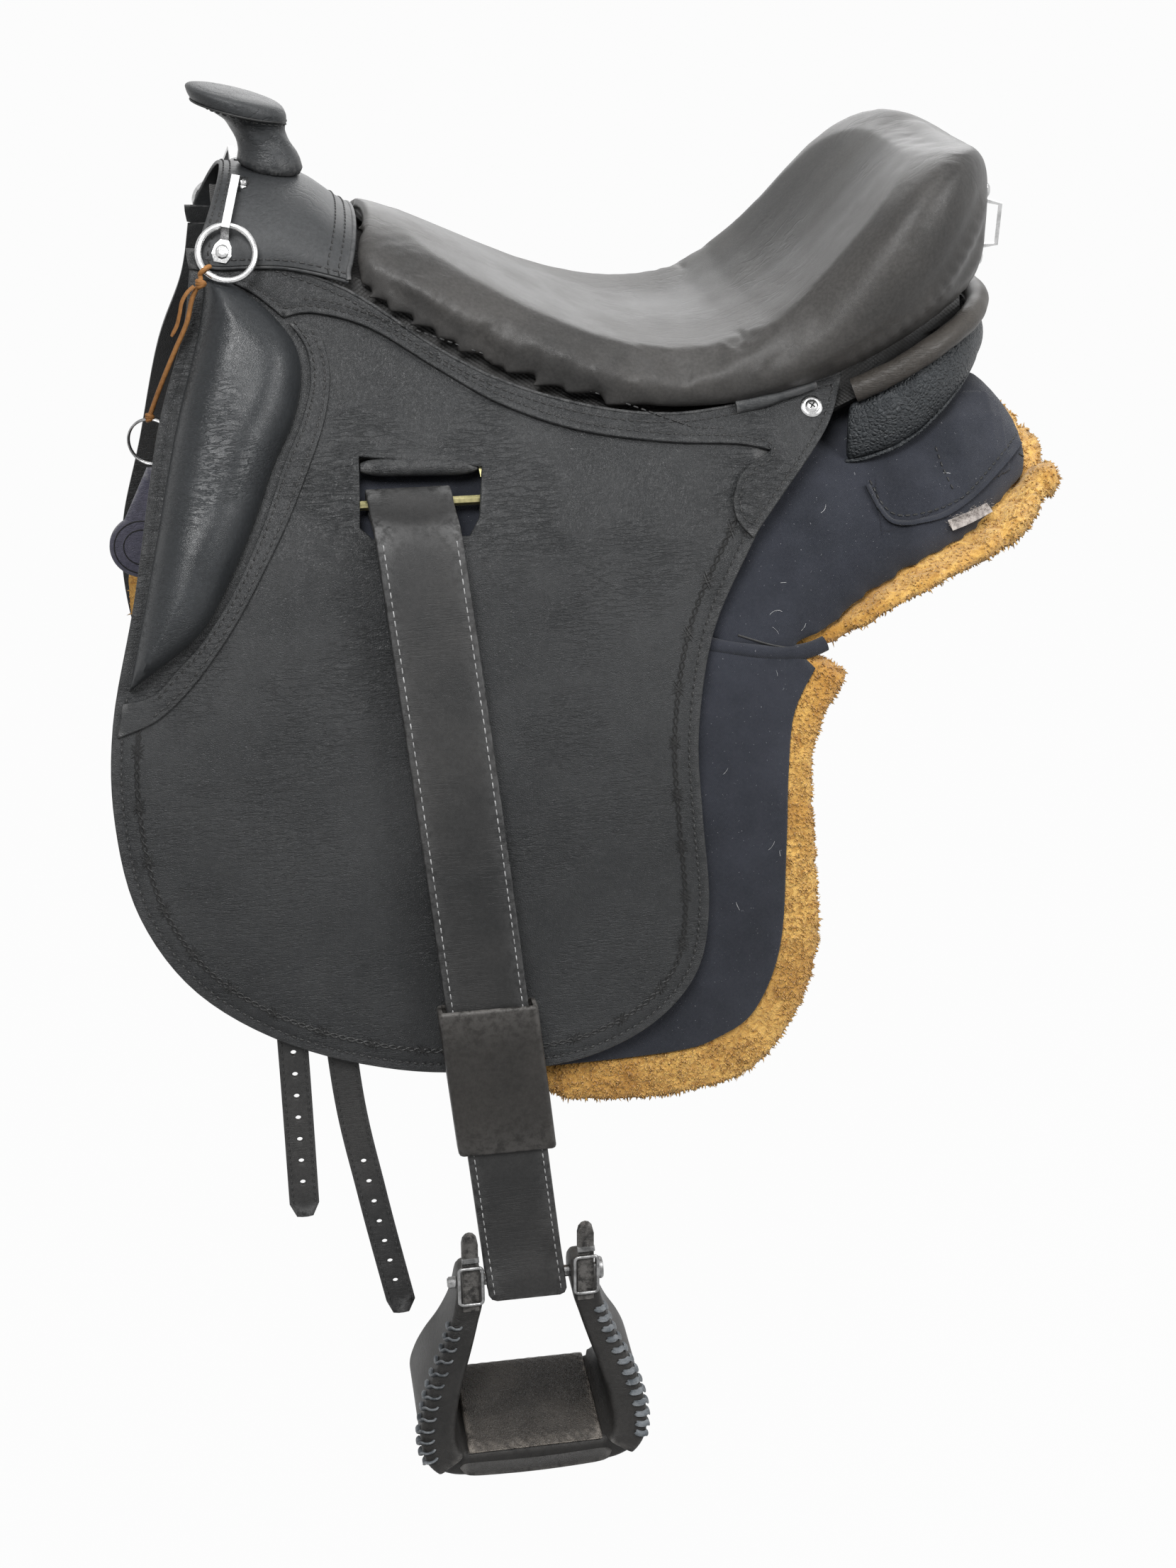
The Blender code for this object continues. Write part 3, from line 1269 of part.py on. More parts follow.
def rear_staple(side):
    return staple("rear_staple_" + side, seat_back, REAR_STAPLE_LENGTH, REAR_STAND, "seat")


def skirt_screw(side):
    place = (0.134, -0.006)
    cover = FLAP_THICK + GAP + SKIRT_THICK
    out = side_point(*place, 0.01) - side_point(*place, 0.0)
    return dome("skirt_screw_" + side, side_point(*place, cover) + out.normalized() * 2 * GAP, out, SCREW_RADIUS,
                0.0026, steel())


# Lace, key ring and fob on the near side

LACE_OUT = 0.0070
LACE_LEAN = [(0.0, 0.0), (0.010, -0.006), (0.027, -0.011), (0.045, -0.020), (0.070, -0.032), (0.0885, -0.0400)]


def lace_top():
    """Where the lace is tied round the ring, low on its front side."""
    down = ring_down()
    return ring_centre() + (down * 0.62 + Vector((-0.785, 0, 0))) * RING_RADIUS


def lace():
    start = lace_top() + Vector((-0.0005, 0, 0.0))
    loop = RING_WIRE + LACE_RADIUS + 2 * GAP
    around = (ring_centre() - start).normalized()
    side = ring_down().cross(Vector((1, 0, 0))).normalized()
    points = [start + around * (loop * math.cos(a)) + side * (loop * math.sin(a))
              for a in (math.radians(10 + 38 * k) for k in range(6))]
    points += [Vector((start.x + dx - 0.003, start.y - LACE_OUT, start.z - 0.005 - drop)) for drop, dx in LACE_LEAN]
    return pivot_at(tube("lace", points, LACE_RADIUS, tan_leather(), resolution=1), lace_top())


def lace_end():
    top = lace_top()
    return Vector((top.x - 0.0435, top.y - LACE_OUT, top.z - 0.0935))


def key_ring_centre():
    """The key ring hangs just under the lace's cut end."""
    return lace_end() - Vector((0.0004, 0, KEY_RING_RADIUS + KEY_RING_WIRE + LACE_RADIUS * 0.4 + GAP))


def key_ring():
    ring = torus("key_ring", key_ring_centre(), KEY_RING_RADIUS, KEY_RING_WIRE, (0.25, 1, 0), steel(), 18, 5)
    return pivot_at(ring, lace_end())


def fob_top():
    return key_ring_centre() - Vector((0, 0, KEY_RING_RADIUS))


def fob():
    """Round leather fob on a short neck, just under the key ring's wire."""
    top = fob_top()
    centre = top + Vector((-0.012, 0, -0.058))
    neck = [(top.x + 0.0045, top.z - KEY_RING_WIRE - GAP), (top.x - 0.0045, top.z - KEY_RING_WIRE - GAP)]
    bm = flat_cut([Vector(p) for p in neck] + arc((centre.x, centre.z), FOB_RADIUS, 118, 422, 20))
    for vert in bm.verts:
        x, height, layer = vert.co
        vert.co = (x, top.y + FOB_THICK * layer, height)
    return pivot_at(add("fob", to_mesh(bm, "fob"), brown_leather()), top)


def main():
    clear_scene()
    for make in (tree, ground_seat, pommel_cover, horn, seat, cantle_roll, rear_facing):
        make()
    for make in (flap, skirt, knee_roll, knee_binding, panel, panel_fleece, panel_pocket, sweat_flap,
                 sweat_fleece, stirrup_bar, leather_hanger, stirrup_leather, sleeve, stirrup, stirrup_tread,
                 stirrup_bolt, fore_buckle, aft_buckle, front_billet, rear_billet, billet_webbing,
                 front_staple, front_ring, rear_staple, skirt_screw):
        pair(make)
    for make in (lace, key_ring, fob):
        make()


if __name__ == "__main__":
    main()
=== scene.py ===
# %% [markdown]
# # A trekking saddle with a horn
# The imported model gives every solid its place: +X points to the cantle, -Y is the near side, +Z is up.
# This lesson dresses that frame in leather, canvas, sheepskin, thread and chrome. Everything is a mesh
# made in code with a procedural material, so it looks right from every side and at every pose.

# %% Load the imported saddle
import math
import random

import bmesh
import bpy
import numpy as np
from mathutils import Matrix, Vector, geometry, noise
from mathutils.bvhtree import BVHTree


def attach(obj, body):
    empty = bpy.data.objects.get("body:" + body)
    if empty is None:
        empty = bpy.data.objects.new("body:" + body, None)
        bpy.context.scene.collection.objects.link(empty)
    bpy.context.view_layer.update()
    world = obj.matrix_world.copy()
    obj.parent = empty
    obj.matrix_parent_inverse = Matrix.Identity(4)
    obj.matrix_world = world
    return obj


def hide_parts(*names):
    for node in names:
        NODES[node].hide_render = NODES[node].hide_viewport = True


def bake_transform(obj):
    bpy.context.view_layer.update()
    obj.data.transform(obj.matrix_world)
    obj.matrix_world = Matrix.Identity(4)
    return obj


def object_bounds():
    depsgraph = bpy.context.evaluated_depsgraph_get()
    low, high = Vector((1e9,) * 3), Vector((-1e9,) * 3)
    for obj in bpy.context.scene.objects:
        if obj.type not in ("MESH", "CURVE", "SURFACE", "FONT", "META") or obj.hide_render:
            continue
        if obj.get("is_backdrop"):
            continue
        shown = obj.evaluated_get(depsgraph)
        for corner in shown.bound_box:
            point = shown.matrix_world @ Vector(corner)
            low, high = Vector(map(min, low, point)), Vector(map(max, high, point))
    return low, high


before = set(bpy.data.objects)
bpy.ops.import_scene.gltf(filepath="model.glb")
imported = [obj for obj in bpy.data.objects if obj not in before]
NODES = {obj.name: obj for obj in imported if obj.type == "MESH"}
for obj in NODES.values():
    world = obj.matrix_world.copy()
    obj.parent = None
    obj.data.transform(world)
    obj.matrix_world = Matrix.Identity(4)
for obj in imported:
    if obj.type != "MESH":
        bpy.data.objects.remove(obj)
cad_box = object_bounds()

# %% [markdown]
# The picture was taken from the near side, a little in front and from above. A camera 1.8 m away with a
# 52 mm lens gives the same perspective.

# %% Camera at the photograph's angle


def added(name, data):
    """A new object in the scene."""
    obj = bpy.data.objects.new(name, data)
    bpy.context.scene.collection.objects.link(obj)
    return obj


TARGET = Vector((0.0, 0.0, -0.339))
TURN, TILT, DISTANCE, LENS = math.radians(9.5), math.radians(25.8), 1.8, 52.3
look = Vector((math.sin(TURN) * math.cos(TILT), math.cos(TURN) * math.cos(TILT), -math.sin(TILT)))
camera = added("camera", bpy.data.cameras.new("camera"))
camera.data.lens = LENS
camera.data.sensor_width = 36.0
camera.location = TARGET - look * DISTANCE
camera.rotation_euler = look.to_track_quat("-Z", "Y").to_euler()
bpy.context.scene.camera = camera
bpy.context.scene.view_settings.view_transform = "Standard"
bpy.context.view_layer.update()


def sight(px, py):
    """Start and direction of the camera's ray through a place in the 1659 x 2212 picture."""
    reach = 18.0 / LENS / 1106.0
    ray = camera.matrix_world.to_3x3() @ Vector(((px - 829.5) * reach, (1106.0 - py) * reach, -1.0))
    return camera.location.copy(), ray.normalized()


print("camera at", [round(c, 3) for c in camera.location])

# %% [markdown]
# A shader is a small graph. These helpers keep the graphs short: `node` adds one node and links or sets
# its inputs, `sums` does one step of arithmetic, and the others are the steps that come back in every
# finish.

# %% Helpers for shader graphs


def node(tree, kind, inputs=None, **settings):
    made = tree.nodes.new("ShaderNode" + kind)
    for key, value in settings.items():
        setattr(made, key, value)
    for key, value in (inputs or {}).items():
        if isinstance(value, bpy.types.NodeSocket):
            tree.links.new(value, made.inputs[key])
        else:
            made.inputs[key].default_value = value
    return made


def sums(tree, operation, *values):
    return node(tree, "Math", dict(enumerate(values)), operation=operation).outputs[0]


def between(tree, value, low, high, out_low=0.0, out_high=1.0):
    """Smooth step of a value from one range to another."""
    return node(tree, "MapRange", {"Value": value, "From Min": low, "From Max": high, "To Min": out_low,
                                   "To Max": out_high}, interpolation_type="SMOOTHSTEP").outputs[0]


def blend_colours(tree, share, first, second, way="MIX"):
    return node(tree, "Mix", {0: share, 6: first, 7: second}, data_type="RGBA", blend_type=way).outputs[2]


def cloudy(tree, place, scale, detail=2.0, **more):
    """Outputs of a noise texture."""
    return node(tree, "TexNoise", {"Vector": place, "Scale": scale, "Detail": detail, **more}).outputs


def seen_ray(tree):
    """1 for camera, mirror and glass rays, and 0 for the light that falls on the saddle."""
    path = node(tree, "LightPath").outputs
    shiny = sums(tree, "MAXIMUM", path["Is Glossy Ray"], path["Is Transmission Ray"])
    return sums(tree, "MAXIMUM", path["Is Camera Ray"], shiny)


# %% [markdown]
# The white studio is painted by the world and the floor only for rays that reach the camera, a mirror or
# glass. The light that falls on the saddle comes from four large lamps, so it stays at a plain level and
# the leather keeps its soft shadows.

# %% Studio: world, floor and lamps
world = bpy.data.worlds.new("studio")
bpy.context.scene.world = world
world.use_nodes = True
sky = world.node_tree
sky.nodes.clear()
WORLD_LIGHT, PAPER_GREY, PAPER_GLOW = 0.20, 0.22, 0.97
strength = between(sky, seen_ray(sky), 0.0, 1.0, WORLD_LIGHT, 1.0)
back = node(sky, "Background", {"Color": (1.0, 1.0, 1.0, 1.0), "Strength": strength})
sky.links.new(back.outputs[0], node(sky, "OutputWorld").inputs[0])

FLOOR_HEIGHT, FLOOR_HALF = -1.15, 40.0
floor_mesh = bpy.data.meshes.new("floor")
corners = [(x * FLOOR_HALF, y * FLOOR_HALF, FLOOR_HEIGHT) for x, y in ((-1, -1), (1, -1), (1, 1), (-1, 1))]
floor_mesh.from_pydata(corners, [], [(0, 1, 2, 3)])
floor = added("floor", floor_mesh)
floor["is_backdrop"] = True
paper = bpy.data.materials.new("white_paper")
paper.use_nodes = True
ground = paper.node_tree
matt = ground.nodes["Principled BSDF"]
matt.inputs["Base Color"].default_value = (PAPER_GREY, PAPER_GREY, PAPER_GREY, 1.0)
matt.inputs["Roughness"].default_value = 0.9
glow = node(ground, "Emission", {"Color": (1.0, 1.0, 1.0, 1.0), "Strength": 1.0})
mixed = node(ground, "MixShader", {0: sums(ground, "MULTIPLY", seen_ray(ground), PAPER_GLOW),
                                   1: matt.outputs[0], 2: glow.outputs[0]})
ground.links.new(mixed.outputs[0], ground.nodes["Material Output"].inputs[0])
floor_mesh.materials.append(paper)


def lamp(name, place, size, watts):
    """Square lamp that looks at the saddle."""
    data = bpy.data.lights.new(name, "AREA")
    data.size = size
    data.energy = watts
    light = added(name, data)
    light.location = place
    light.rotation_euler = (TARGET - Vector(place)).to_track_quat("-Z", "Y").to_euler()


lamp("soft_key", (-0.7, -2.1, 2.0), 1.1, 86)
lamp("soft_fill", (2.0, -1.5, 1.3), 1.0, 48)
lamp("soft_top", (0.2, -0.5, 2.3), 1.1, 16)
lamp("soft_back", (0.6, 2.2, 1.0), 1.6, 15)
print("four soft lamps over a pale floor")

# %% [markdown]
# Leather is never one flat colour. Its pebbled grain, its creases and the way its tone drifts are each
# kept in a node group with named inputs, so that every leather on the saddle can use the same effect
# with its own size and depth.

# %% Node groups: grain, creases, tone, weave, wool and wear
PLACE, NUMBER, COLOUR = "NodeSocketVector", "NodeSocketFloat", "NodeSocketColor"


def group(name, inputs, outputs):
    tree = bpy.data.node_groups.new(name, "ShaderNodeTree")
    for label, kind in inputs:
        tree.interface.new_socket(name=label, in_out="INPUT", socket_type=kind)
    for label, kind in outputs:
        tree.interface.new_socket(name=label, in_out="OUTPUT", socket_type=kind)
    return tree, tree.nodes.new("NodeGroupInput").outputs, tree.nodes.new("NodeGroupOutput").inputs


def pebble_grain():
    """Small raised pebbles with valleys between them."""
    tree, given, result = group("pebble_grain", [("Place", PLACE), ("Per Metre", NUMBER)],
                                [("Height", NUMBER)])
    wander = cloudy(tree, given["Place"], 90.0)["Color"]
    bent = node(tree, "VectorMath", {0: wander, "Scale": 0.004}, operation="SCALE")
    moved = node(tree, "VectorMath", {0: given["Place"], 1: bent.outputs[0]}, operation="ADD")
    cells = node(tree, "TexVoronoi", {"Vector": moved.outputs[0], "Scale": given["Per Metre"]},
                 feature="DISTANCE_TO_EDGE")
    pebble = between(tree, cells.outputs["Distance"], 0.0, 0.35)
    fine = cloudy(tree, moved.outputs[0], 1900.0)[0]
    tree.links.new(sums(tree, "MULTIPLY_ADD", fine, 0.35, pebble), result["Height"])
    return tree


def crease_lines():
    """Thin folds that run along one direction: 1 on the leather, 0 in a fold."""
    tree, given, result = group("crease_lines", [("Place", PLACE), ("Stretch", PLACE), ("Per Metre", NUMBER)],
                                [("Height", NUMBER)])
    drawn = node(tree, "VectorMath", {0: given["Place"], 1: given["Stretch"]}, operation="MULTIPLY")
    folds = cloudy(tree, drawn.outputs[0], given["Per Metre"], 3.0, Roughness=0.6)[0]
    ridge = sums(tree, "ABSOLUTE", sums(tree, "MULTIPLY_ADD", folds, 2.0, -1.0))
    where = between(tree, cloudy(tree, given["Place"], 14.0)[0], 0.42, 0.60)
    line = sums(tree, "MULTIPLY", between(tree, ridge, 0.0, 0.11, 1.0, 0.0), where)
    tree.links.new(sums(tree, "SUBTRACT", 1.0, line), result["Height"])
    return tree


def tone_drift():
    """Colour that drifts between two tones over the surface."""
    tree, given, result = group("tone_drift", [("Place", PLACE), ("Per Metre", NUMBER), ("Low", COLOUR),
                                               ("High", COLOUR), ("Spread", NUMBER)],
                                [("Colour", COLOUR), ("Share", NUMBER)])
    cloud = cloudy(tree, given["Place"], given["Per Metre"], 6.0, Roughness=0.62)[0]
    low = sums(tree, "SUBTRACT", 0.5, given["Spread"])
    high = sums(tree, "ADD", 0.5, given["Spread"])
    share = between(tree, cloud, low, high)
    tree.links.new(blend_colours(tree, share, given["Low"], given["High"]), result["Colour"])
    tree.links.new(share, result["Share"])
    return tree


def plain_weave():
    """Threads that pass over and under each other, and the shade between them."""
    tree, given, result = group("plain_weave", [("Place", PLACE), ("Per Metre", NUMBER)],
                                [("Height", NUMBER), ("Shade", NUMBER)])
    parts = node(tree, "SeparateXYZ", {0: given["Place"]}).outputs
    turn = sums(tree, "MULTIPLY", given["Per Metre"], math.pi)
    warp = sums(tree, "SINE", sums(tree, "MULTIPLY", parts[0], turn))
    weft = sums(tree, "SINE", sums(tree, "MULTIPLY", sums(tree, "ADD", parts[1], parts[2]), turn))
    height = sums(tree, "MULTIPLY_ADD", sums(tree, "MULTIPLY", warp, weft), 0.5, 0.5)
    fuzz = cloudy(tree, given["Place"], 2600.0)[0]
    tree.links.new(sums(tree, "MULTIPLY_ADD", fuzz, 0.6, height), result["Height"])
    # painted shade: Shade is 0.62 in the low places between the threads and 1 on their tops
    tree.links.new(between(tree, height, 0.0, 0.8, 0.62, 1.0), result["Shade"])
    return tree


def wool_locks():
    """Short curled locks of fleece."""
    tree, given, result = group("wool_locks", [("Place", PLACE), ("Per Metre", NUMBER)],
                                [("Height", NUMBER), ("Shade", NUMBER)])
    curl = cloudy(tree, given["Place"], given["Per Metre"], 4.0, Distortion=1.6)[0]
    fine = cloudy(tree, given["Place"], 1500.0, 3.0, Distortion=0.8)[0]
    height = sums(tree, "MULTIPLY_ADD", fine, 0.45, curl)
    tree.links.new(height, result["Height"])
    # painted shade: Shade is 0 deep between the locks and 1 on their tops
    tree.links.new(between(tree, height, 0.45, 0.95), result["Shade"])
    return tree


def rubbing():
    """Where a raised edge has been rubbed, broken up by chance."""
    tree, given, result = group("rubbing", [("Place", PLACE), ("Edge", NUMBER), ("Per Metre", NUMBER)],
                                [("Mask", NUMBER)])
    chance = cloudy(tree, given["Place"], given["Per Metre"], 5.0, Roughness=0.7)[0]
    edge = between(tree, given["Edge"], 0.505, 0.60)
    tree.links.new(sums(tree, "MULTIPLY", edge, between(tree, chance, 0.35, 0.6)), result["Mask"])
    return tree


GRAIN, CREASES, TONES, WEAVE, WOOL, RUBBED = (make() for make in (
    pebble_grain, crease_lines, tone_drift, plain_weave, wool_locks, rubbing))


def placed(tree, made_group, inputs):
    """Outputs of a node group set into a material."""
    return node(tree, "Group", inputs, node_tree=made_group).outputs


print("node groups:", len(bpy.data.node_groups))

# %% [markdown]
# Each finish is one material. The saddler's leathers differ in tone, shine, grain and in how they crease:
# the flaps are smooth hide with fine level folds, the seat is softer and paler, the band round the back
# is strongly pebbled, and the straps are waxed and plain.

# %% Materials: leathers


def begun(name, metallic=0.0, specular=0.5):
    made = bpy.data.materials.new(name)
    made.use_nodes = True
    tree = made.node_tree
    shader = tree.nodes["Principled BSDF"]
    shader.inputs["Metallic"].default_value = metallic
    shader.inputs["Specular IOR Level"].default_value = specular
    return made, tree, shader, node(tree, "TexCoord").outputs["Object"]


def shade(value, warm=0.0):
    """Grey of a given lightness, a little towards red (or towards blue below 0)."""
    return (value * (1 + warm), value, value * (1 - warm), 1.0)


def dressed(tree, shader, colour, rough, height=None, strength=0.0, depth=0.0):
    """Wire a finish's colour and roughness, and its relief where it has one."""
    tree.links.new(colour, shader.inputs["Base Color"])
    tree.links.new(rough, shader.inputs["Roughness"])
    if height:
        bump = node(tree, "Bump", {"Strength": strength, "Distance": depth, "Height": height})
        tree.links.new(bump.outputs[0], shader.inputs["Normal"])


def leather(name, low, high, rough, grain=900.0, grain_depth=0.3, creases=60.0, stretch=(1.0, 1.0, 5.0),
            crease_depth=0.5, depth=0.0005, worn=None):
    made, tree, shader, place = begun(name, specular=0.22)
    tone = placed(tree, TONES, {"Place": place, "Per Metre": 9.0, "Low": low, "High": high, "Spread": 0.22})
    fleck = placed(tree, TONES, {"Place": place, "Per Metre": 420.0, "Low": (0.72, 0.72, 0.72, 1.0),
                                 "High": (1.0, 1.0, 1.0, 1.0), "Spread": 0.2})
    colour = blend_colours(tree, 1.0, tone["Colour"], fleck["Colour"], "MULTIPLY")
    if worn:
        point = node(tree, "NewGeometry").outputs["Pointiness"]
        rubbed = placed(tree, RUBBED, {"Place": place, "Edge": point, "Per Metre": 160.0})["Mask"]
        colour = blend_colours(tree, rubbed, colour, worn)
    pebbles = placed(tree, GRAIN, {"Place": place, "Per Metre": grain})["Height"]
    folds = placed(tree, CREASES, {"Place": place, "Stretch": stretch, "Per Metre": creases})["Height"]
    height = sums(tree, "MULTIPLY_ADD", folds, crease_depth, sums(tree, "MULTIPLY", pebbles, grain_depth))
    gloss = between(tree, tone["Share"], 0.0, 1.0, rough - 0.05, rough + 0.08)
    dressed(tree, shader, colour, gloss, height, 0.8, depth)
    return made


FLAP_LEATHER = leather("flap_leather", shade(0.022, -0.05), shade(0.040, -0.03), 0.40, creases=75.0,
                       stretch=(0.7, 1.0, 4.5), crease_depth=0.6, depth=0.0008, worn=shade(0.12))
ROLL_LEATHER = leather("roll_leather", shade(0.022, -0.09), shade(0.038, -0.07), 0.27, grain=1100.0,
                       grain_depth=0.12, creases=110.0, stretch=(0.8, 1.0, 4.0), crease_depth=0.6)
SEAT_LEATHER = leather("seat_hide", shade(0.034, 0.02), shade(0.060, 0.05), 0.36, grain=1300.0,
                       grain_depth=0.10, creases=26.0, stretch=(1.0, 1.6, 1.0), crease_depth=0.25)
COVER_LEATHER = leather("cover_leather", shade(0.032, -0.06), shade(0.052, -0.04), 0.38, grain=1200.0,
                        grain_depth=0.14, creases=48.0, stretch=(1.0, 1.4, 2.0), crease_depth=0.4,
                        worn=shade(0.10))
GRAINED_LEATHER = leather("grained_leather", shade(0.024, -0.12), shade(0.048, -0.08), 0.38, grain=330.0,
                          grain_depth=1.0, creases=40.0, crease_depth=0.3, depth=0.0010)
CANTLE_LEATHER = leather("cantle_leather", shade(0.034, 0.10), shade(0.050, 0.12), 0.34, grain=1500.0,
                         grain_depth=0.08, creases=90.0, stretch=(0.6, 0.6, 5.0), crease_depth=0.4)
STRAP_LEATHER = leather("strap_leather", shade(0.020, -0.02), shade(0.042, 0.02), 0.44, grain=1500.0,
                        grain_depth=0.18, creases=70.0, stretch=(0.5, 1.0, 6.0), crease_depth=0.3,
                        worn=shade(0.16))
SLEEVE_LEATHER = leather("sleeve_leather", shade(0.020, 0.06), shade(0.034, 0.08), 0.38, grain=1400.0,
                         grain_depth=0.12, creases=40.0, stretch=(3.0, 1.0, 1.0), crease_depth=0.3,
                         worn=shade(0.13, 0.05))
STIRRUP_LEATHER = leather("stirrup_leather_cover", shade(0.012, 0.03), shade(0.028, 0.05), 0.44, grain=1000.0,
                          grain_depth=0.25, creases=60.0, crease_depth=0.3, worn=shade(0.12, 0.05))
THONG_LEATHER = leather("thong_leather", shade(0.060, -0.10), shade(0.120, -0.12), 0.42, grain=1300.0,
                        grain_depth=0.2, creases=120.0, crease_depth=0.4, worn=shade(0.22, -0.05))
TREAD_LEATHER = leather("tread_leather", shade(0.010, 0.12), shade(0.070, 0.10), 0.45, grain=600.0,
                        grain_depth=0.9, creases=150.0, stretch=(1.0, 1.0, 1.0), crease_depth=0.6,
                        depth=0.0008, worn=shade(0.20, 0.12))
# dark leather: the pressed lines of the tooling and the fob, and painted shade in the screw's recess and the lace
# holes
PRESSED_AND_SHADE_LEATHER = leather("pressed_leather_and_shade", shade(0.014), shade(0.022), 0.40, grain_depth=0.1, crease_depth=0.1)
LACE_LEATHER = leather("lace_hide", (0.20, 0.085, 0.025, 1.0), (0.42, 0.20, 0.065, 1.0), 0.55, grain=1600.0,
                       grain_depth=0.3, creases=200.0, crease_depth=0.4, depth=0.0003)
FOB_LEATHER = leather("fob_hide", (0.050, 0.050, 0.072, 1.0), (0.095, 0.092, 0.12, 1.0), 0.50, grain=900.0,
                      grain_depth=0.3, creases=80.0, crease_depth=0.4, worn=shade(0.25))
print("leathers:", sum("leather" in m.name or "hide" in m.name for m in bpy.data.materials))

# %% [markdown]
# The panels are black canvas that has picked up pale dust, the fleece is golden and matt, and the metal is
# plated: chrome where it is looked after, duller steel on the stirrups and a little brass out of sight.

# %% Materials: canvas, fleece, thread and metal


def canvas():
    made, tree, shader, place = begun("lint_canvas", specular=0.25)
    weave = placed(tree, WEAVE, {"Place": place, "Per Metre": 1500.0})
    tone = placed(tree, TONES, {"Place": place, "Per Metre": 14.0, "Low": (0.013, 0.015, 0.021, 1.0),
                                "High": (0.030, 0.033, 0.044, 1.0), "Spread": 0.2})["Colour"]
    lint = cloudy(tree, place, 620.0)[0]
    dusty = blend_colours(tree, between(tree, lint, 0.68, 0.78, 0.0, 0.5), tone, (0.30, 0.30, 0.32, 1.0))
    # painted shade: the colour goes towards near-black where the weave is low, between the threads
    colour = blend_colours(tree, weave["Shade"], (0.008, 0.009, 0.013, 1.0), dusty)
    dressed(tree, shader, colour, between(tree, lint, 0.3, 0.7, 0.78, 0.95), weave["Height"], 0.7, 0.0004)
    shader.inputs["Sheen Weight"].default_value = 0.12
    return made


def sheepskin():
    made, tree, shader, place = begun("golden_fleece", specular=0.2)
    wool = placed(tree, WOOL, {"Place": place, "Per Metre": 170.0})
    tone = placed(tree, TONES, {"Place": place, "Per Metre": 16.0, "Low": (0.52, 0.27, 0.055, 1.0),
                                "High": (0.80, 0.50, 0.14, 1.0), "Spread": 0.16})["Colour"]
    # painted shade: a darker brown mixed in, in the hollows between the locks
    colour = blend_colours(tree, wool["Shade"], (0.40, 0.19, 0.035, 1.0), tone)
    gloss = between(tree, wool["Shade"], 0.0, 1.0, 0.95, 0.85)
    dressed(tree, shader, colour, gloss, wool["Height"], 0.8, 0.0022)
    shader.inputs["Sheen Weight"].default_value = 0.3
    return made


def thread(name, low, high):
    made, tree, shader, place = begun(name)
    tone = placed(tree, TONES, {"Place": place, "Per Metre": 260.0, "Low": low, "High": high, "Spread": 0.2})
    dressed(tree, shader, tone["Colour"], between(tree, tone["Share"], 0.0, 1.0, 0.5, 0.7))
    return made


def metal(name, low, high, rough, depth=0.00012):
    """Plated metal: fine scratches along it and a little dulling in patches."""
    made, tree, shader, place = begun(name, metallic=1.0)
    tone = placed(tree, TONES, {"Place": place, "Per Metre": 190.0, "Low": low, "High": high, "Spread": 0.18})
    drawn = node(tree, "VectorMath", {0: place, 1: (1.0, 5.0, 0.6)}, operation="MULTIPLY").outputs[0]
    fine = cloudy(tree, drawn, 900.0, 3.0)[0]
    gloss = between(tree, fine, 0.3, 0.7, rough - 0.05, rough + 0.12)
    dressed(tree, shader, tone["Colour"], gloss, fine, 0.5, depth)
    return made


def laminate():
    made, tree, shader, place = begun("tree_fibre")
    tone = placed(tree, TONES, {"Place": place, "Per Metre": 40.0, "Low": shade(0.010),
                                "High": shade(0.026, 0.05), "Spread": 0.25})
    weave = placed(tree, WEAVE, {"Place": place, "Per Metre": 500.0})["Height"]
    gloss = between(tree, tone["Share"], 0.0, 1.0, 0.5, 0.7)
    dressed(tree, shader, tone["Colour"], gloss, weave, 0.6, 0.0006)
    return made


CANVAS, FLEECE, TREE_FIBRE = canvas(), sheepskin(), laminate()
BLACK_THREAD = thread("black_thread", shade(0.005), shade(0.012))
GREY_THREAD = thread("grey_thread", shade(0.16), shade(0.42))
LINT = thread("lint", shade(0.35), shade(0.75))
PALE_TAPE = thread("hook_tape", (0.13, 0.11, 0.10, 1.0), (0.42, 0.38, 0.35, 1.0))
CHROME = metal("bright_chrome", shade(0.42), shade(0.62), 0.18)
DULL_STEEL = metal("dull_steel", shade(0.16), shade(0.34), 0.32)
BRASS = metal("dull_brass_plate", (0.28, 0.26, 0.13, 1.0), (0.50, 0.45, 0.24, 1.0), 0.34)
print("materials:", len(bpy.data.materials))

# %% [markdown]
# The flap, skirt, straps and knee roll all lie on one curved side. `side` turns a place in the side view
# and a height above the flap's inner face into a point, so each layer can be cut flat, as a saddler
# does, and then bent over the side.

# %% The curved side that the leather lies on


def mm(*rows):
    """A table of places, written in millimetres."""
    return [tuple(value / 1000 for value in row) for row in rows]


SIDE_SECTION = mm((175, 40), (150, 48), (100, 68), (50, 88), (20, 105), (-50, 155), (-100, 180), (-200, 212),
                  (-300, 232), (-460, 248), (-620, 264))
REAR_FROM, REAR_REACH, REAR_NARROWING = 0.07, 0.24, 0.035
SAME_PLACE = 0.0008


def through(table, value):
    """Smooth curve through a table of (place, value) pairs."""
    rows = sorted(table)
    if value <= rows[0][0]:
        return rows[0][1]
    for k in range(len(rows) - 1):
        (a, fa), (b, fb) = rows[k], rows[k + 1]
        if value <= b:
            before, after = rows[max(k - 1, 0)], rows[min(k + 2, len(rows) - 1)]
            t, span = (value - a) / (b - a), b - a
            lean_a, lean_b = (fb - before[1]) / (b - before[0]), (after[1] - fa) / (after[0] - a)
            return ((2 * t ** 3 - 3 * t ** 2 + 1) * fa + (t ** 3 - 2 * t ** 2 + t) * span * lean_a
                    + (3 * t ** 2 - 2 * t ** 3) * fb + (t ** 3 - t ** 2) * span * lean_b)
    return rows[-1][1]


LEVELS = np.linspace(-0.62, 0.175, 1600)
HALVES = np.array([through(SIDE_SECTION, z) for z in LEVELS])
SLOPES = np.gradient(HALVES, LEVELS)


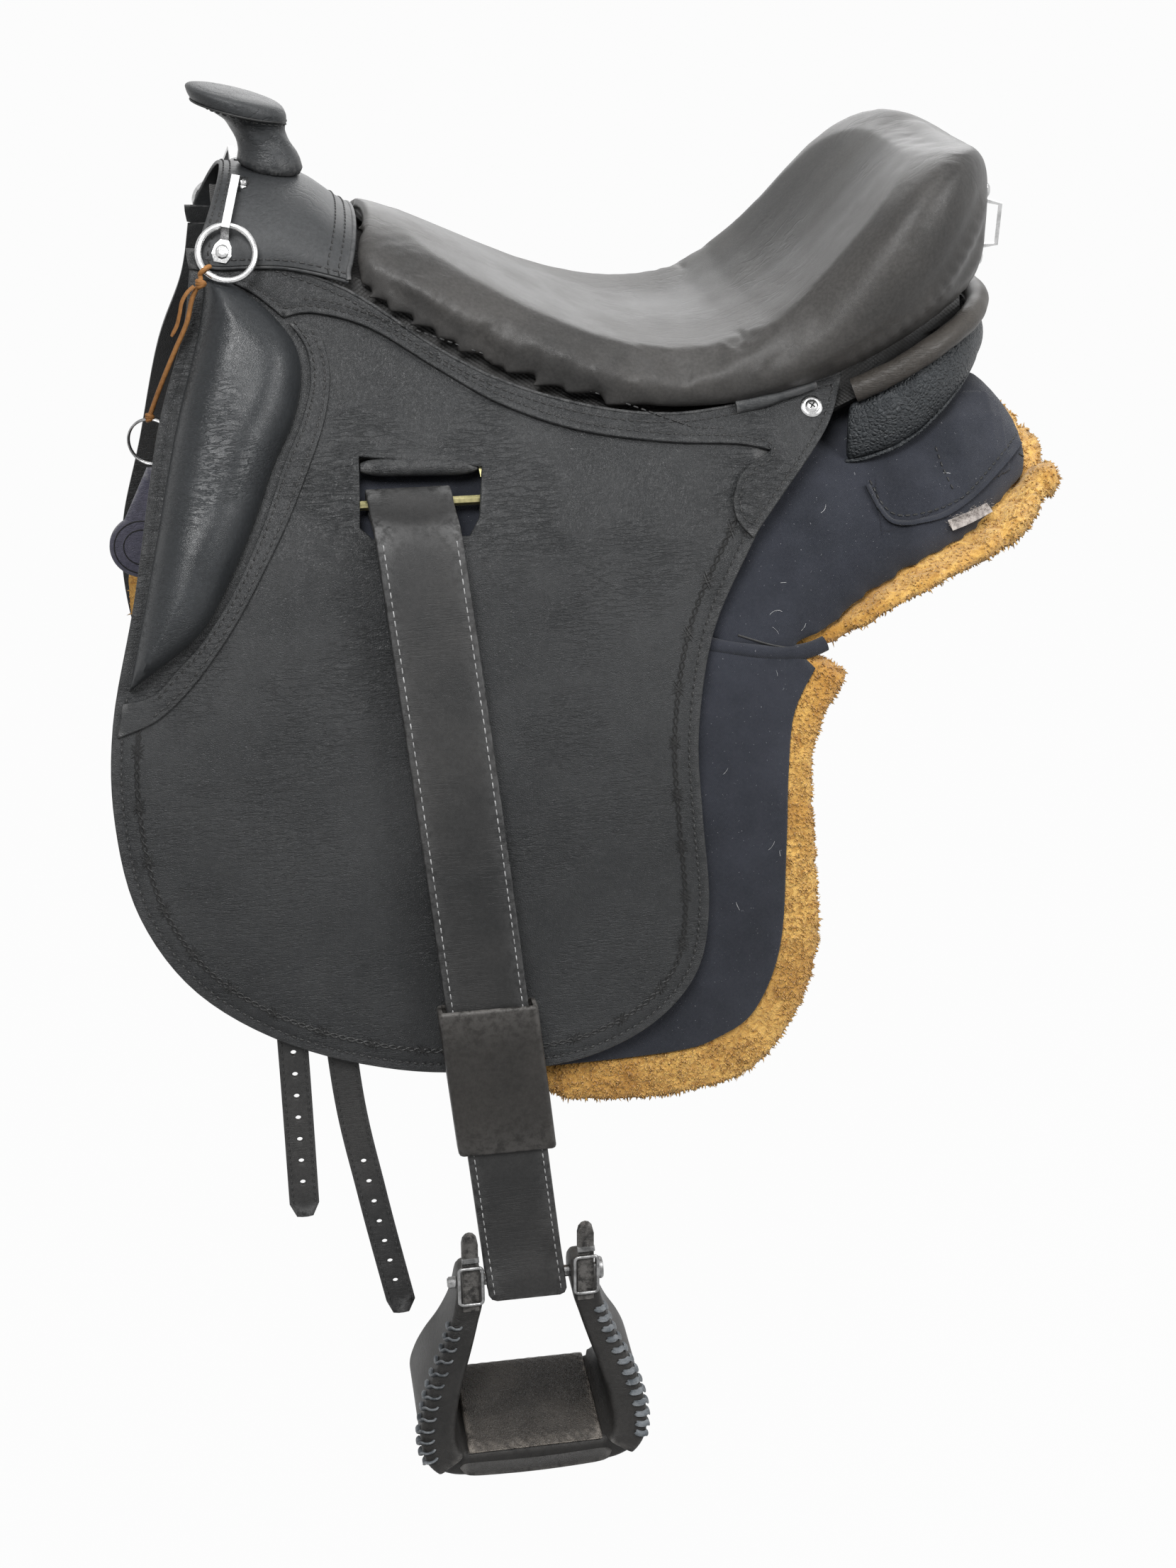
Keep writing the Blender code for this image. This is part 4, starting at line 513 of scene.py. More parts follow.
def side(x, z, out=0.0):
    """Point on the near side, `out` metres outward from the flap's inner face."""
    half = np.interp(z, LEVELS, HALVES) + 0.1 * max(LEVELS[0] - z, 0.0)
    slope = np.interp(z, LEVELS, SLOPES)
    size = math.hypot(1.0, slope)
    inward = REAR_NARROWING * (max(x - REAR_FROM, 0.0) / REAR_REACH) ** 2
    return Vector((x, inward - half - out / size, z - slope * out / size))


def side_normal(x, z):
    return (side(x, z, 0.01) - side(x, z, 0.0)).normalized()


def smooth_line(points, steps=6):
    """Points along a smooth curve through the given ones, ends included."""
    pts = [Vector(p) for p in points]
    path = []
    for k in range(len(pts) - 1):
        before, start, end, after = pts[max(k - 1, 0)], pts[k], pts[k + 1], pts[min(k + 2, len(pts) - 1)]
        for i in range(steps):
            t = i / steps
            path.append(0.5 * (2 * start + (end - before) * t
                               + (2 * before - 5 * start + 4 * end - after) * t ** 2
                               + (3 * start - before - 3 * end + after) * t ** 3))
    return path + [pts[-1]]


def spaced(path, pitch, closed=False):
    """The same path with points an even pitch apart."""
    pts = list(path) + ([path[0]] if closed else [])
    lengths = [0.0]
    for a, b in zip(pts, pts[1:]):
        lengths.append(lengths[-1] + (b - a).length)
    count = max(int(round(lengths[-1] / pitch)), 1)
    made, k = [], 0
    for i in range(count if closed else count + 1):
        want = lengths[-1] * i / count
        while k < len(pts) - 2 and lengths[k + 1] < want:
            k += 1
        span = max(lengths[k + 1] - lengths[k], 1e-9)
        made.append(pts[k].lerp(pts[k + 1], (want - lengths[k]) / span))
    return made


def loop_of(*stretches, pitch=0.004):
    """Closed outline from smooth stretches that meet in corners, its points a pitch apart."""
    loop = []
    for stretch in stretches:
        for p in spaced(stretch, pitch):
            if not loop or (p - loop[-1]).length > SAME_PLACE:
                loop.append(Vector((p[0], p[1])))
    if (loop[0] - loop[-1]).length < SAME_PLACE:
        loop.pop()
    return loop


print("side: half-width at the flap's foot", round(-side(0, -0.43).y, 3))

# %% [markdown]
# A piece is a mesh with one finish. It rides on one body of the imported model and hides the solids it
# stands for. The saddle has two like sides, so a piece of the near side is made once and mirrored. Cords,
# lofts and stitches are the shapes that come back everywhere, so each has one function.

# %% Mesh helpers: pieces, twins and bodies


def piece(name, verts, faces, skin, sharp=45):
    """Mesh object with outward faces, smooth shaded but for its sharp edges."""
    bm = bmesh.new()
    made = [bm.verts.new(v) for v in verts]
    for face in faces:
        if len(set(face)) > 2:
            bm.faces.new([made[k] for k in face])
    bmesh.ops.recalc_face_normals(bm, faces=bm.faces)
    mesh = bpy.data.meshes.new(name)
    bm.to_mesh(mesh)
    bm.free()
    mesh.shade_smooth()
    mesh.set_sharp_from_angle(angle=math.radians(sharp))
    mesh.materials.append(skin)
    return added(name, mesh)


def settled(obj):
    """The piece with its modifiers worked into its mesh."""
    mesh = bpy.data.meshes.new_from_object(obj.evaluated_get(bpy.context.evaluated_depsgraph_get()))
    obj.modifiers.clear()
    obj.data = mesh
    return obj


def finer(obj):
    """The piece with each face cut in four and rounded."""
    obj.modifiers.new("finer", "SUBSURF").levels = 1
    return settled(obj)


def hang(obj, body, finish, *solids, fill=None):
    """Let a piece ride on its body and hide the solids it stands for. Its finish is not used."""
    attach(obj, body)
    if solids:
        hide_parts(*solids)
    return obj


def twin_of(obj):
    """Mirror image of a near-side piece."""
    twin = added(obj.name.replace("left", "right"), obj.data.copy())
    twin.data.transform(Matrix.Diagonal((1.0, -1.0, 1.0, 1.0)))
    twin.data.flip_normals()
    return twin


def both(obj, body, finish, *solids, fill=None):
    """Hang a near-side piece and its mirror image on the far side."""
    twin = twin_of(obj)
    hang(obj, body, finish, *solids, fill=fill)
    far = [solid.replace("left", "right") for solid in solids]
    hang(twin, body.replace("left", "right"), finish, *far, fill=fill)
    return obj


def pair(name, mesh, skin, *solids, body="saddle", finish="black_leather", sharp=45):
    """Make a piece from vertices and faces and hang it on both sides."""
    return both(piece(name, *mesh, skin, sharp), body, finish, *solids)


def round_angles(count):
    return [2 * math.pi * k / count for k in range(count)]


def loft(rings, closed=False, caps=True):
    """Vertices and faces through rings of equally many points."""
    size = len(rings[0])
    verts = [p for ring in rings for p in ring]
    faces = []
    for i in range(len(rings) - (0 if closed else 1)):
        a, b = i * size, (i + 1) % len(rings) * size
        for k in range(size):
            n = (k + 1) % size
            faces.append((a + k, a + n, b + n, b + k))
    if caps and not closed:
        faces.append(tuple(range(size)))
        faces.append(tuple(range(len(verts) - size, len(verts))))
    return verts, faces


def gathered(parts):
    """Several meshes' vertices and faces as one."""
    verts, faces = [], []
    for vs, fs in parts:
        start = len(verts)
        verts.extend(vs)
        faces.extend(tuple(k + start for k in f) for f in fs)
    return verts, faces


def cord_mesh(path, radius, sides=8, closed=False, flat=1.0):
    """Round or flattened cord along a path. A radius may be a function of the share along it."""
    rings, side_way = [], None
    count = len(path)
    for k, p in enumerate(path):
        ahead = path[(k + 1) % count] if closed else path[min(k + 1, count - 1)]
        behind = path[k - 1] if closed else path[max(k - 1, 0)]
        along = (ahead - behind).normalized()
        if side_way is None:
            side_way = along.orthogonal().normalized()
        side_way = (side_way - along * side_way.dot(along)).normalized()
        up = along.cross(side_way)
        size = radius(k / max(count - 1, 1)) if callable(radius) else radius
        rings.append([p + (side_way * math.cos(a) + up * math.sin(a) * flat) * size
                      for a in round_angles(sides)])
    return loft(rings, closed=closed)


STITCH_SHAPE = ((-1, -0.7, 0.5), (-0.7, 0.35, 0.95), (0, 0.7, 1.0), (0.7, 0.35, 0.95), (1, -0.7, 0.5))


def stitch_run(path, normals, pitch=0.0055, length=0.0040, thick=0.00062):
    """A row of stitches: each a short thread that dips into the leather at both ends."""
    marks = spaced([Vector((*p, 0.0)) if len(p) == 2 else p for p in path], pitch)
    parts = []
    for a, b in zip(marks, marks[1:]):
        spot, along = (a + b) / 2, (b - a).normalized()
        up = normals(spot)
        across = up.cross(along).normalized()
        rings = []
        for t, lift, wide in STITCH_SHAPE:
            middle = spot + along * (t * length / 2) + up * (lift * thick)
            rings.append([middle + (across * math.cos(q) + up * math.sin(q) * 0.8) * thick * wide
                          for q in round_angles(5)])
        parts.append(loft(rings))
    return gathered(parts)


def side_stitches(line, out, **sizes):
    """Stitches along a line given in the side view, on a layer `out` from the flap's inner face."""
    return stitch_run([side(x, z, out) for x, z in line], lambda p: side_normal(p.x, p.z), **sizes)


# %% [markdown]
# A leather layer is cut like this: the outline and a few lines just inside it are joined to an even field
# of points by a Delaunay triangulation, which keeps the edge round and the face smooth. Points near the
# edge are then let down along a quarter circle, as an edge slicker would leave it. A groove is pressed
# where a row of stitches will lie.

# %% Cutting a layer of leather
EDGE_STEPS, GROOVE_HALF, GROOVE_DEEP = (0.12, 0.45, 1.0), 0.0009, 0.0004


def distances(points, loops):
    """Distance of each 2-D point to the nearest of the loops."""
    pts = np.array([(p[0], p[1]) for p in points])
    best = np.full(len(pts), 9.0)
    for loop in loops:
        a = np.array([(p[0], p[1]) for p in loop])
        run = np.roll(a, -1, axis=0) - a
        size = np.maximum((run ** 2).sum(1), 1e-12)
        for k in range(len(a)):
            t = np.clip(((pts - a[k]) @ run[k]) / size[k], 0, 1)
            best = np.minimum(best, np.hypot(*(pts - a[k] - t[:, None] * run[k]).T))
    return best


def inside(points, loop):
    pts = np.array([(p[0], p[1]) for p in points])
    within = np.zeros(len(pts), bool)
    for k, (x1, y1) in enumerate(loop):
        x2, y2 = loop[k - 1]
        crosses = (y1 > pts[:, 1]) != (y2 > pts[:, 1])
        at = (x2 - x1) * (pts[:, 1] - y1) / ((y2 - y1) if y2 != y1 else 1e-12) + x1
        within ^= crosses & (pts[:, 0] < at)
    return within


def inward(loop, gap, loops=None):
    """The loop moved in by a gap, without the stretches that would come too near an edge."""
    middle = []
    count = len(loop)
    turn = sum(a[0] * b[1] - b[0] * a[1] for a, b in zip(loop, loop[1:] + loop[:1]))
    sign = 1.0 if turn > 0 else -1.0
    for k, p in enumerate(loop):
        along = (Vector(loop[(k + 1) % count]) - Vector(loop[k - 1])).normalized()
        middle.append(Vector((p[0] - along.y * gap * sign, p[1] + along.x * gap * sign)))
    near = distances(middle, loops or [loop])
    return [p for p, d in zip(middle, near) if d > gap * 0.97]


def dome(share):
    """Height of a quarter circle: 0 at its foot and 1 at its top."""
    return math.sqrt(max(1 - (1 - share) ** 2, 0.0))


def cut(name, loop, under, over, skin, holes=(), cell=0.007, edge=0.0011, grooves=(), shape=side, sharp=50):
    """Closed layer between two heights, each a number or a function of x, z and the edge's distance."""
    loops = [loop, *holes]
    points = [Vector(p) for p in loop]
    borders = [list(range(len(loop)))]
    for hole in holes:
        borders.append(list(range(len(points), len(points) + len(hole))))
        points += [Vector(p) for p in hole]
    bends = [edge * s for s in EDGE_STEPS]
    bends += [g + d for g in grooves for d in (-GROOVE_HALF, 0.0, GROOVE_HALF)]
    for bend in bends:
        points += inward(loop, bend, loops)
        for hole in holes:
            points += inward(hole, -bend, [hole])
    xs, zs = [p[0] for p in loop], [p[1] for p in loop]
    field = [Vector((x + (cell / 2 if j % 2 else 0.0), z))
             for j, z in enumerate(np.arange(min(zs), max(zs), cell * 0.87))
             for x in np.arange(min(xs), max(xs), cell)]
    keep = inside(field, loop) & (distances(field, loops) > max(max(bends), edge) + cell * 0.35)
    for hole in holes:
        keep &= ~inside(field, hole)
    points += [p for p, k in zip(field, keep) if k]
    ties = [(b[k], b[(k + 1) % len(b)]) for b in borders for k in range(len(b))]
    flat, _, tris, _, _, _ = geometry.delaunay_2d_cdt(points, ties, [], 0, 1e-6)
    middles = [(flat[a] + flat[b] + flat[c]) / 3 for a, b, c in tris]
    good = inside(middles, loop)
    for hole in holes:
        good &= ~inside(middles, hole)
    tris = [t for t, g in zip(tris, good) if g]
    used = sorted({k for t in tris for k in t})
    index = {k: i for i, k in enumerate(used)}
    flat = [flat[k] for k in used]
    tris = [tuple(index[k] for k in t) for t in tris]
    reach = distances(flat, loops)
    verts, count = [], len(flat)
    for (x, z), d in zip(flat, reach):
        top = over(x, z, d) if callable(over) else over
        low = under(x, z, d) if callable(under) else under
        share = min(d / edge, 1.0)
        top -= min(edge, (top - low) * 0.5) * (1 - dome(share))
        for groove in grooves:
            top -= GROOVE_DEEP * max(1 - abs(d - groove) / GROOVE_HALF, 0.0)
        verts.append((shape(x, z, top), shape(x, z, low)))
    edges = {}
    for a, b, c in tris:
        for e in ((a, b), (b, c), (c, a)):
            key = (min(e), max(e))
            edges[key] = None if key in edges else e
    faces = tris + [(a + count, c + count, b + count) for a, b, c in tris]
    faces += [(a, b, b + count, a + count) for e in edges.values() if e for a, b in [e]]
    return piece(name, [v[0] for v in verts] + [v[1] for v in verts], faces, skin, sharp)


# %% [markdown]
# The flap is the large leather side that lies under the rider's leg. It has a slot for the stirrup
# leather, a stitched edge and a tooled border: two twisted lines with small four-point barbs. A fold of
# leather lines the slot's upper edge, where the strap rubs.

# %% Flap
FLAP_THICK, GAP, SKIRT_THICK, BINDING_THICK = 0.0035, 0.0003, 0.0030, 0.0024
SKIRT_TOP = mm((-290, 108), (-244, 102), (-178, 78), (-119, 39), (-73, 16), (-16, 0), (36, -6), (86, -2),
               (127, 6), (158, 12))
FLAP_FRONT = mm((-279, 95), (-287, 55), (-308, -2), (-330, -95), (-350, -171), (-354, -235), (-343, -300),
                (-309, -358), (-250, -402), (-176, -429), (-105, -437), (-45, -433), (5, -411), (37, -374),
                (46, -324), (42, -257), (41, -200), (54, -136), (84, -82), (108, -50))
SLOT = mm((-177, -20), (-96, -29), (-100.5, -57.5), (-108, -68), (-172, -67), (-180, -60))
SEW_IN, TOOL_IN = 0.0068, 0.0170
TOP_PLACES = (0.100, 0.050, 0.0, -0.050, -0.100, -0.150, -0.200, -0.245)
flap_top = smooth_line([(x, through(SKIRT_TOP, x) - 0.007) for x in TOP_PLACES])
FLAP_LOOP = loop_of(smooth_line(FLAP_FRONT), flap_top, [flap_top[-1], Vector(FLAP_FRONT[0])])
SLOT_LOOP = loop_of(*[[Vector(a), Vector(b)] for a, b in zip(SLOT, SLOT[1:] + SLOT[:1])])
flap = cut("flap_leather_left", FLAP_LOOP, 0.0, FLAP_THICK, FLAP_LEATHER, holes=[SLOT_LOOP], cell=0.0085,
           grooves=[SEW_IN])
both(flap, "saddle", "black_leather", "flap_left")
print("flap:", len(flap.data.polygons), "faces")


def border_line(loop, gap, start, end_x=9.0):
    """The line a gap inside an edge, from its point nearest to `start` until x passes `end_x`."""
    line = inward(loop, gap)
    k = min(range(len(line)), key=lambda i: (Vector(line[i]) - Vector(start)).length)
    line = line[k:] + line[:k]
    return line[:next((k for k, p in enumerate(line) if p[0] > end_x), len(line))]


def heading(path, k):
    return (path[min(k + 1, len(path) - 1)] - path[max(k - 1, 0)]).normalized()


SUNK = 0.0002
sew_line = border_line(FLAP_LOOP, SEW_IN, (-0.346, -0.150), 0.095)
pair("flap_stitches_left", side_stitches(sew_line, FLAP_THICK - SUNK), BLACK_THREAD)
STEP, TWIST, SWAY, STROKE, BARB = 0.0015, 0.012, 0.0014, 0.0007, 0.0009


def twisted_border(line, out):
    """Tooled border of two twisted lines with barbs, as pressed dark strokes."""
    marks = spaced([Vector((*p, 0.0)) for p in line], STEP)
    parts = []
    for turn in (0.0, math.pi):
        stroke = []
        for k, p in enumerate(marks):
            along = heading(marks, k)
            swing = SWAY * math.sin(k * STEP / TWIST * 2 * math.pi + turn)
            stroke.append(side(p.x - along.y * swing, p.y + along.x * swing, out))
        parts.append(cord_mesh(stroke, STROKE, sides=5))
    for k in range(12, len(marks) - 12, 24):
        along = heading(marks, k)
        for lean in (-1, 1):
            for shift in (-0.0012, 0.0012):
                a = marks[k] + along * (shift - 0.0034) + Vector((-along.y, along.x, 0)) * 0.0042 * lean
                b = marks[k] + along * (shift + 0.0034) - Vector((-along.y, along.x, 0)) * 0.0042 * lean
                steps = [a.lerp(b, t / 4) for t in range(5)]
                parts.append(cord_mesh([side(p.x, p.y, out) for p in steps],
                                       lambda t: BARB * (1 - 0.75 * abs(2 * t - 1)), sides=5))
    return gathered(parts)


tool_line = border_line(FLAP_LOOP, TOOL_IN, (-0.328, -0.172), 0.085)
tooling = pair("flap_border_left", twisted_border(tool_line, FLAP_THICK + 0.00005), PRESSED_AND_SHADE_LEATHER)
LIP_RADIUS = 0.0062
lip_path = [side(x, -0.0262 - 0.0012 * (x + 0.136) / 0.04, -0.0018)
            for x in np.linspace(-0.1765, -0.0985, 16)]
pair("slot_lip_leather_left", cord_mesh(lip_path, lambda t: LIP_RADIUS * (1 - 0.5 * abs(2 * t - 1) ** 6), 16),
     FLAP_LEATHER)
print("border:", len(tooling.data.polygons), "faces")

# %% [markdown]
# The skirt covers the top of the flap and the stirrup bar. It is sewn twice along its edge and screwed
# down behind. Its upper seam stands beside the seat as a thin welt.

# %% Skirt and its screw
SKIRT_LOWER = mm((-220, 62.5), (-200, 64.5), (-164, 54), (-120, 27), (-80, 5), (-29, -12), (29, -21),
                 (80, -24.5), (102, -29))
SKIRT_HOOK = mm((102, -29), (81, -40), (72.5, -55), (74, -68), (84, -79))
SKIRT_REAR = mm((84, -79), (106, -56), (142, -20), (155, 2), (158, 12))
SKIRT_SEAM = mm((-279.5, 95), (-262, 89.5), (-240, 78.5), (-220, 62.5))
LAYER_TWO = FLAP_THICK + GAP
SKIRT_LOOP = loop_of(smooth_line(SKIRT_SEAM), smooth_line(SKIRT_LOWER), smooth_line(SKIRT_HOOK),
                     smooth_line(SKIRT_REAR), smooth_line(SKIRT_TOP[:0:-1] + [(-0.2805, 0.1070)]),
                     [Vector((-0.2805, 0.1070)), Vector((-0.2805, 0.1020)), Vector(SKIRT_SEAM[0])],
                     pitch=0.0035)
FIRST_ROW, SECOND_ROW = 0.0045, 0.0085
skirt = cut("skirt_leather_left", SKIRT_LOOP, LAYER_TWO, LAYER_TWO + SKIRT_THICK, FLAP_LEATHER, cell=0.006,
            grooves=[FIRST_ROW])
both(skirt, "saddle", "black_leather", "skirt_left")
skirt_face = LAYER_TWO + SKIRT_THICK - 0.0001
rows = [side_stitches(border_line(SKIRT_LOOP, FIRST_ROW, (-0.272, 0.094))[:-4], skirt_face - SUNK),
        side_stitches(border_line(SKIRT_LOOP, SECOND_ROW, (-0.205, 0.058), 0.075), skirt_face)]
pair("skirt_stitches_left", gathered(rows), BLACK_THREAD)
top_welt = [side(p.x, p.y + 0.0004, skirt_face - 0.0004) for p in smooth_line(SKIRT_TOP[1:])]
pair("skirt_welt_left", cord_mesh(top_welt, 0.0012, 10), FLAP_LEATHER)


def across_of(out):
    """The unit direction and two directions across it."""
    out = out.normalized()
    first = out.orthogonal().normalized()
    return out, first, out.cross(first)


def ring_of(centre, out, radius, wire, around=40, sides=10, flat=1.0):
    """Ring of wire with its axis along `out`."""
    out, first, second = across_of(out)
    path = [centre + (first * math.cos(a) + second * math.sin(a)) * radius for a in round_angles(around)]
    rings = []
    for k, p in enumerate(path):
        away = (p - centre).normalized()
        rings.append([p + away * math.cos(q) * wire + out * math.sin(q) * wire * flat
                      for q in round_angles(sides)])
    return loft(rings, closed=True)


def turned(centre, out, profile, around=28):
    """Turned piece: a profile of (radius, rise) pairs about an axis."""
    out, first, second = across_of(out)
    return loft([[centre + out * rise + (first * math.cos(a) + second * math.sin(a)) * radius
                  for a in round_angles(around)] for radius, rise in profile])


def painted_shade_cross(centre, out, size):
    """Cross-shaped recess of a screw, as a thin dark slab on its head: painted shade in the recess."""
    out, first, second = across_of(out)
    parts = []
    for a, b in ((first, second), (second, first)):
        corners = [a * size + b * size * 0.22, a * size - b * size * 0.22, -a * size - b * size * 0.22,
                   -a * size + b * size * 0.22]
        parts.append(loft([[centre + c for c in corners],
                           [centre + c * 0.8 + out * 0.0002 for c in corners]]))
    return gathered(parts)


SCREW_AT = (0.134, -0.006)
screw_out = side_normal(*SCREW_AT)
screw_foot = side(*SCREW_AT, skirt_face + 0.0003)
SCREW_PROFILE = mm((3, 0), (7.8, 0), (7.8, 0.5), (7, 1.2), (5.8, 1.5), (5.2, 1.1), (4.6, 1.1), (4, 2),
                   (2.6, 2.6), (0.8, 2.8))
pair("skirt_screw_washer_left", turned(screw_foot, screw_out, SCREW_PROFILE), CHROME, "skirt_screw_left",
     finish="chromed_steel")
# the dark cross is painted shade in the screw's recess
pair("skirt_screw_cross_left", painted_shade_cross(screw_foot + screw_out * 0.0027, screw_out, 0.0026), PRESSED_AND_SHADE_LEATHER,
     finish="chromed_steel")
print("skirt stitched, welted and screwed")

# %% [markdown]
# The knee roll is stuffed: its height over the flap follows a rounded dome that falls to its stitched edge,
# with small level wrinkles where the hide is drawn tight. A flat binding with two rows of stitches
# runs behind it.

# %% Knee roll and its binding
KNEE_REAR = mm((-270, 88), (-256, 85.5), (-241.5, 77), (-225.5, 62.5), (-213.5, 45), (-211, 25), (-219, 0),
               (-233, -22), (-250, -56), (-272, -94), (-293, -121), (-337.5, -150))
KNEE_FRONT = mm((-337.5, -150), (-315.5, -72), (-296, -3), (-276.5, 55), (-270, 88))
BINDING_OUTER = mm((-216.5, 59), (-199, 56), (-192.5, 36), (-193, 18), (-199, -2), (-210, -24), (-226, -53),
                   (-244, -81), (-262, -108), (-279, -130), (-299, -152), (-322, -170), (-347.5, -179))
BINDING_INNER = mm((-342.5, -158), (-322, -153.5), (-305, -138.5), (-288, -122.5), (-266, -94),
                   (-244.5, -58), (-227.5, -24), (-213.5, 0), (-205.5, 22), (-206.5, 43), (-216.5, 59))
ROLL_BULGE, ROLL_FLANK, ROLL_EDGE, BINDING_SEW = 0.027, 0.026, 0.0022, 0.0032


def roll_height(x, z, d):
    share = min(d / ROLL_FLANK, 1.0)
    wrinkle = noise.noise(Vector((x * 60, z * 330, 2.0))) * 0.00035 * share
    lumps = noise.noise(Vector((x * 22, z * 30, 5.0))) * 0.0008 * share
    return LAYER_TWO + ROLL_EDGE + ROLL_BULGE * dome(share) + wrinkle + lumps


KNEE_LOOP = loop_of(smooth_line(KNEE_REAR), smooth_line(KNEE_FRONT), pitch=0.003)
knee = cut("knee_roll_leather_left", KNEE_LOOP, LAYER_TWO, roll_height, ROLL_LEATHER, cell=0.0032,
           edge=0.0012, sharp=80)
both(knee, "saddle", "black_leather", "knee_roll_left", fill=0.9)
BINDING_LOOP = loop_of(smooth_line(BINDING_OUTER), [Vector(BINDING_OUTER[-1]), Vector(BINDING_INNER[0])],
                       smooth_line(BINDING_INNER), pitch=0.003)
binding = cut("knee_binding_left", BINDING_LOOP, LAYER_TWO, LAYER_TWO + BINDING_THICK, FLAP_LEATHER,
              cell=0.005, edge=0.0010)
both(binding, "saddle", "black_leather", "knee_roll_binding_left")
binding_face = LAYER_TWO + BINDING_THICK - 0.0001
rows = []
for table, sign in ((BINDING_OUTER, 1), (BINDING_INNER, -1)):
    path = smooth_line(table[1:-1] if sign > 0 else table[1:])
    sewn = []
    for k, p in enumerate(path):
        along = heading(path, k)
        sewn.append(Vector((p.x + along.y * BINDING_SEW, p.y - along.x * BINDING_SEW)))
    rows.append(side_stitches(sewn, binding_face))
pair("binding_stitches_left", gathered(rows), BLACK_THREAD)
print("knee roll:", len(knee.data.polygons), "faces")

# %% [markdown]
# The fork is covered by one piece of leather from side to side. `crown` gives a point over the tree's top:
# share 0 is the middle line and 1 is the tree's lower edge. The horn's neck grows out of this cover.

# %% Pommel cover
SEAT_EDGE = SKIRT_TOP + mm((189, 26), (218, 40), (245, 50), (272, 56))
TREE_MIDDLE = mm((-280, 136), (-246, 136), (-200, 126.5), (-172, 107), (-100, 64), (-50, 36), (0, 14),
                 (50, 5), (100, 8), (140, 22), (180, 46), (220, 82), (262, 118))
COVER_LOWER = mm((-274, 101), (-260, 98), (-242, 98), (-220, 97), (-199, 93.5), (-175.5, 87.5))
FORK_EDGE, TREE_UNDER, COVER_LIFT, COVER_THICK = 0.094, 0.0034, 0.0114, 0.0026
COVER_FACE = COVER_LIFT + COVER_THICK


def crown(x, share, lift=0.0):
    """Point over the tree's top."""
    edge = min(through(SEAT_EDGE, x), FORK_EDGE)
    half = -side(x, edge).y - TREE_UNDER
    rise, angle = through(TREE_MIDDLE, x) - edge, share * math.pi / 2
    out = Vector((rise * math.sin(angle), half * math.cos(angle))).normalized()
    return Vector((x, -(half * math.sin(angle) + out.x * lift), edge + rise * math.cos(angle) + out.y * lift))


def cover_share(x, height):
    """How far down the tree a height lies, found by halving."""
    low, high = 0.0, 1.0
    for _ in range(20):
        share = (low + high) / 2
        low, high = (share, high) if crown(x, share, COVER_FACE).z > height else (low, share)
    return share


def cover_place(along, rise, lift):
    """Point of the cover: `along` from front edge to rear edge, `rise` from lower edge to the middle."""
    x = COVER_LOWER[0][0] + (COVER_LOWER[-1][0] - COVER_LOWER[0][0]) * along
    share = cover_share(x, through(COVER_LOWER, x)) * (1 - rise)
    front = -0.272 + (crown(-0.25, share, COVER_LIFT).z - 0.113) * 0.50
    rear = -0.1755 + (crown(-0.168, share, COVER_FACE).z - 0.088) * 0.30
    ease = min(rise / 0.14, 1.0)
    return crown(x + (front + (rear - front) * along - x) * ease, share, lift)


def mirrored(p):
    return Vector((p.x, -p.y, p.z))


ALONG, RISES = np.linspace(0, 1, 26), np.linspace(0, 1, 22)
rings = []
for rise in RISES:
    upper = [cover_place(a, rise, COVER_FACE) for a in ALONG]
    rings.append(upper + [cover_place(a, rise, COVER_LIFT) for a in ALONG[::-1]])
rings += [[mirrored(p) for p in ring] for ring in reversed(rings[:-1])]
cover = piece("pommel_cover_leather", *loft(rings), COVER_LEATHER, sharp=60)
bevel = cover.modifiers.new("edge", "BEVEL")
bevel.width, bevel.segments, bevel.limit_method, bevel.angle_limit = 0.0009, 2, "ANGLE", math.radians(50)
hang(settled(cover), "saddle", "black_leather", "pommel_cover")


def cover_run(spots):
    """Stitches along (along, rise) spots of the cover, on the near and the far side."""
    vs, fs = stitch_run([cover_place(a, r, COVER_FACE) for a, r in spots],
                        lambda p: Vector((0, p.y, p.z - 0.03)).normalized())
    return gathered([(vs, fs), ([mirrored(v) for v in vs], fs)])


rows = [cover_run([(a, r) for r in RISES]) for a in (0.035, 0.085, 0.87, 0.94)]
rows.append(cover_run([(a, 0.045) for a in ALONG]))
hang(piece("pommel_cover_stitches", *gathered(rows), BLACK_THREAD), "saddle", "black_leather")
rear_edge = [cover_place(1.0, r, COVER_LIFT + COVER_THICK * 0.5) for r in RISES]
rear_edge += [mirrored(p) for p in reversed(rear_edge[:-1])]
piping = [cord_mesh(rear_edge, 0.0021, 12)]
low_edge = [cover_place(a, 0.0, COVER_LIFT + 0.0006) - Vector((0, 0, 0.0008)) for a in ALONG]
for line in (low_edge, [mirrored(p) for p in low_edge]):
    piping.append(cord_mesh(line, 0.0015, 10))
hang(piece("pommel_cover_piping", *gathered(piping), COVER_LEATHER), "saddle", "black_leather")
print("cover:", len(cover.data.polygons), "faces")

# %% [markdown]
# The horn is a covered wooden knob: a leaning neck that flares into a flat cap. Its rings are drawn out of
# the cover below, so the foot meets the leather, and the neck gets shallow folds where the hide is gathered.

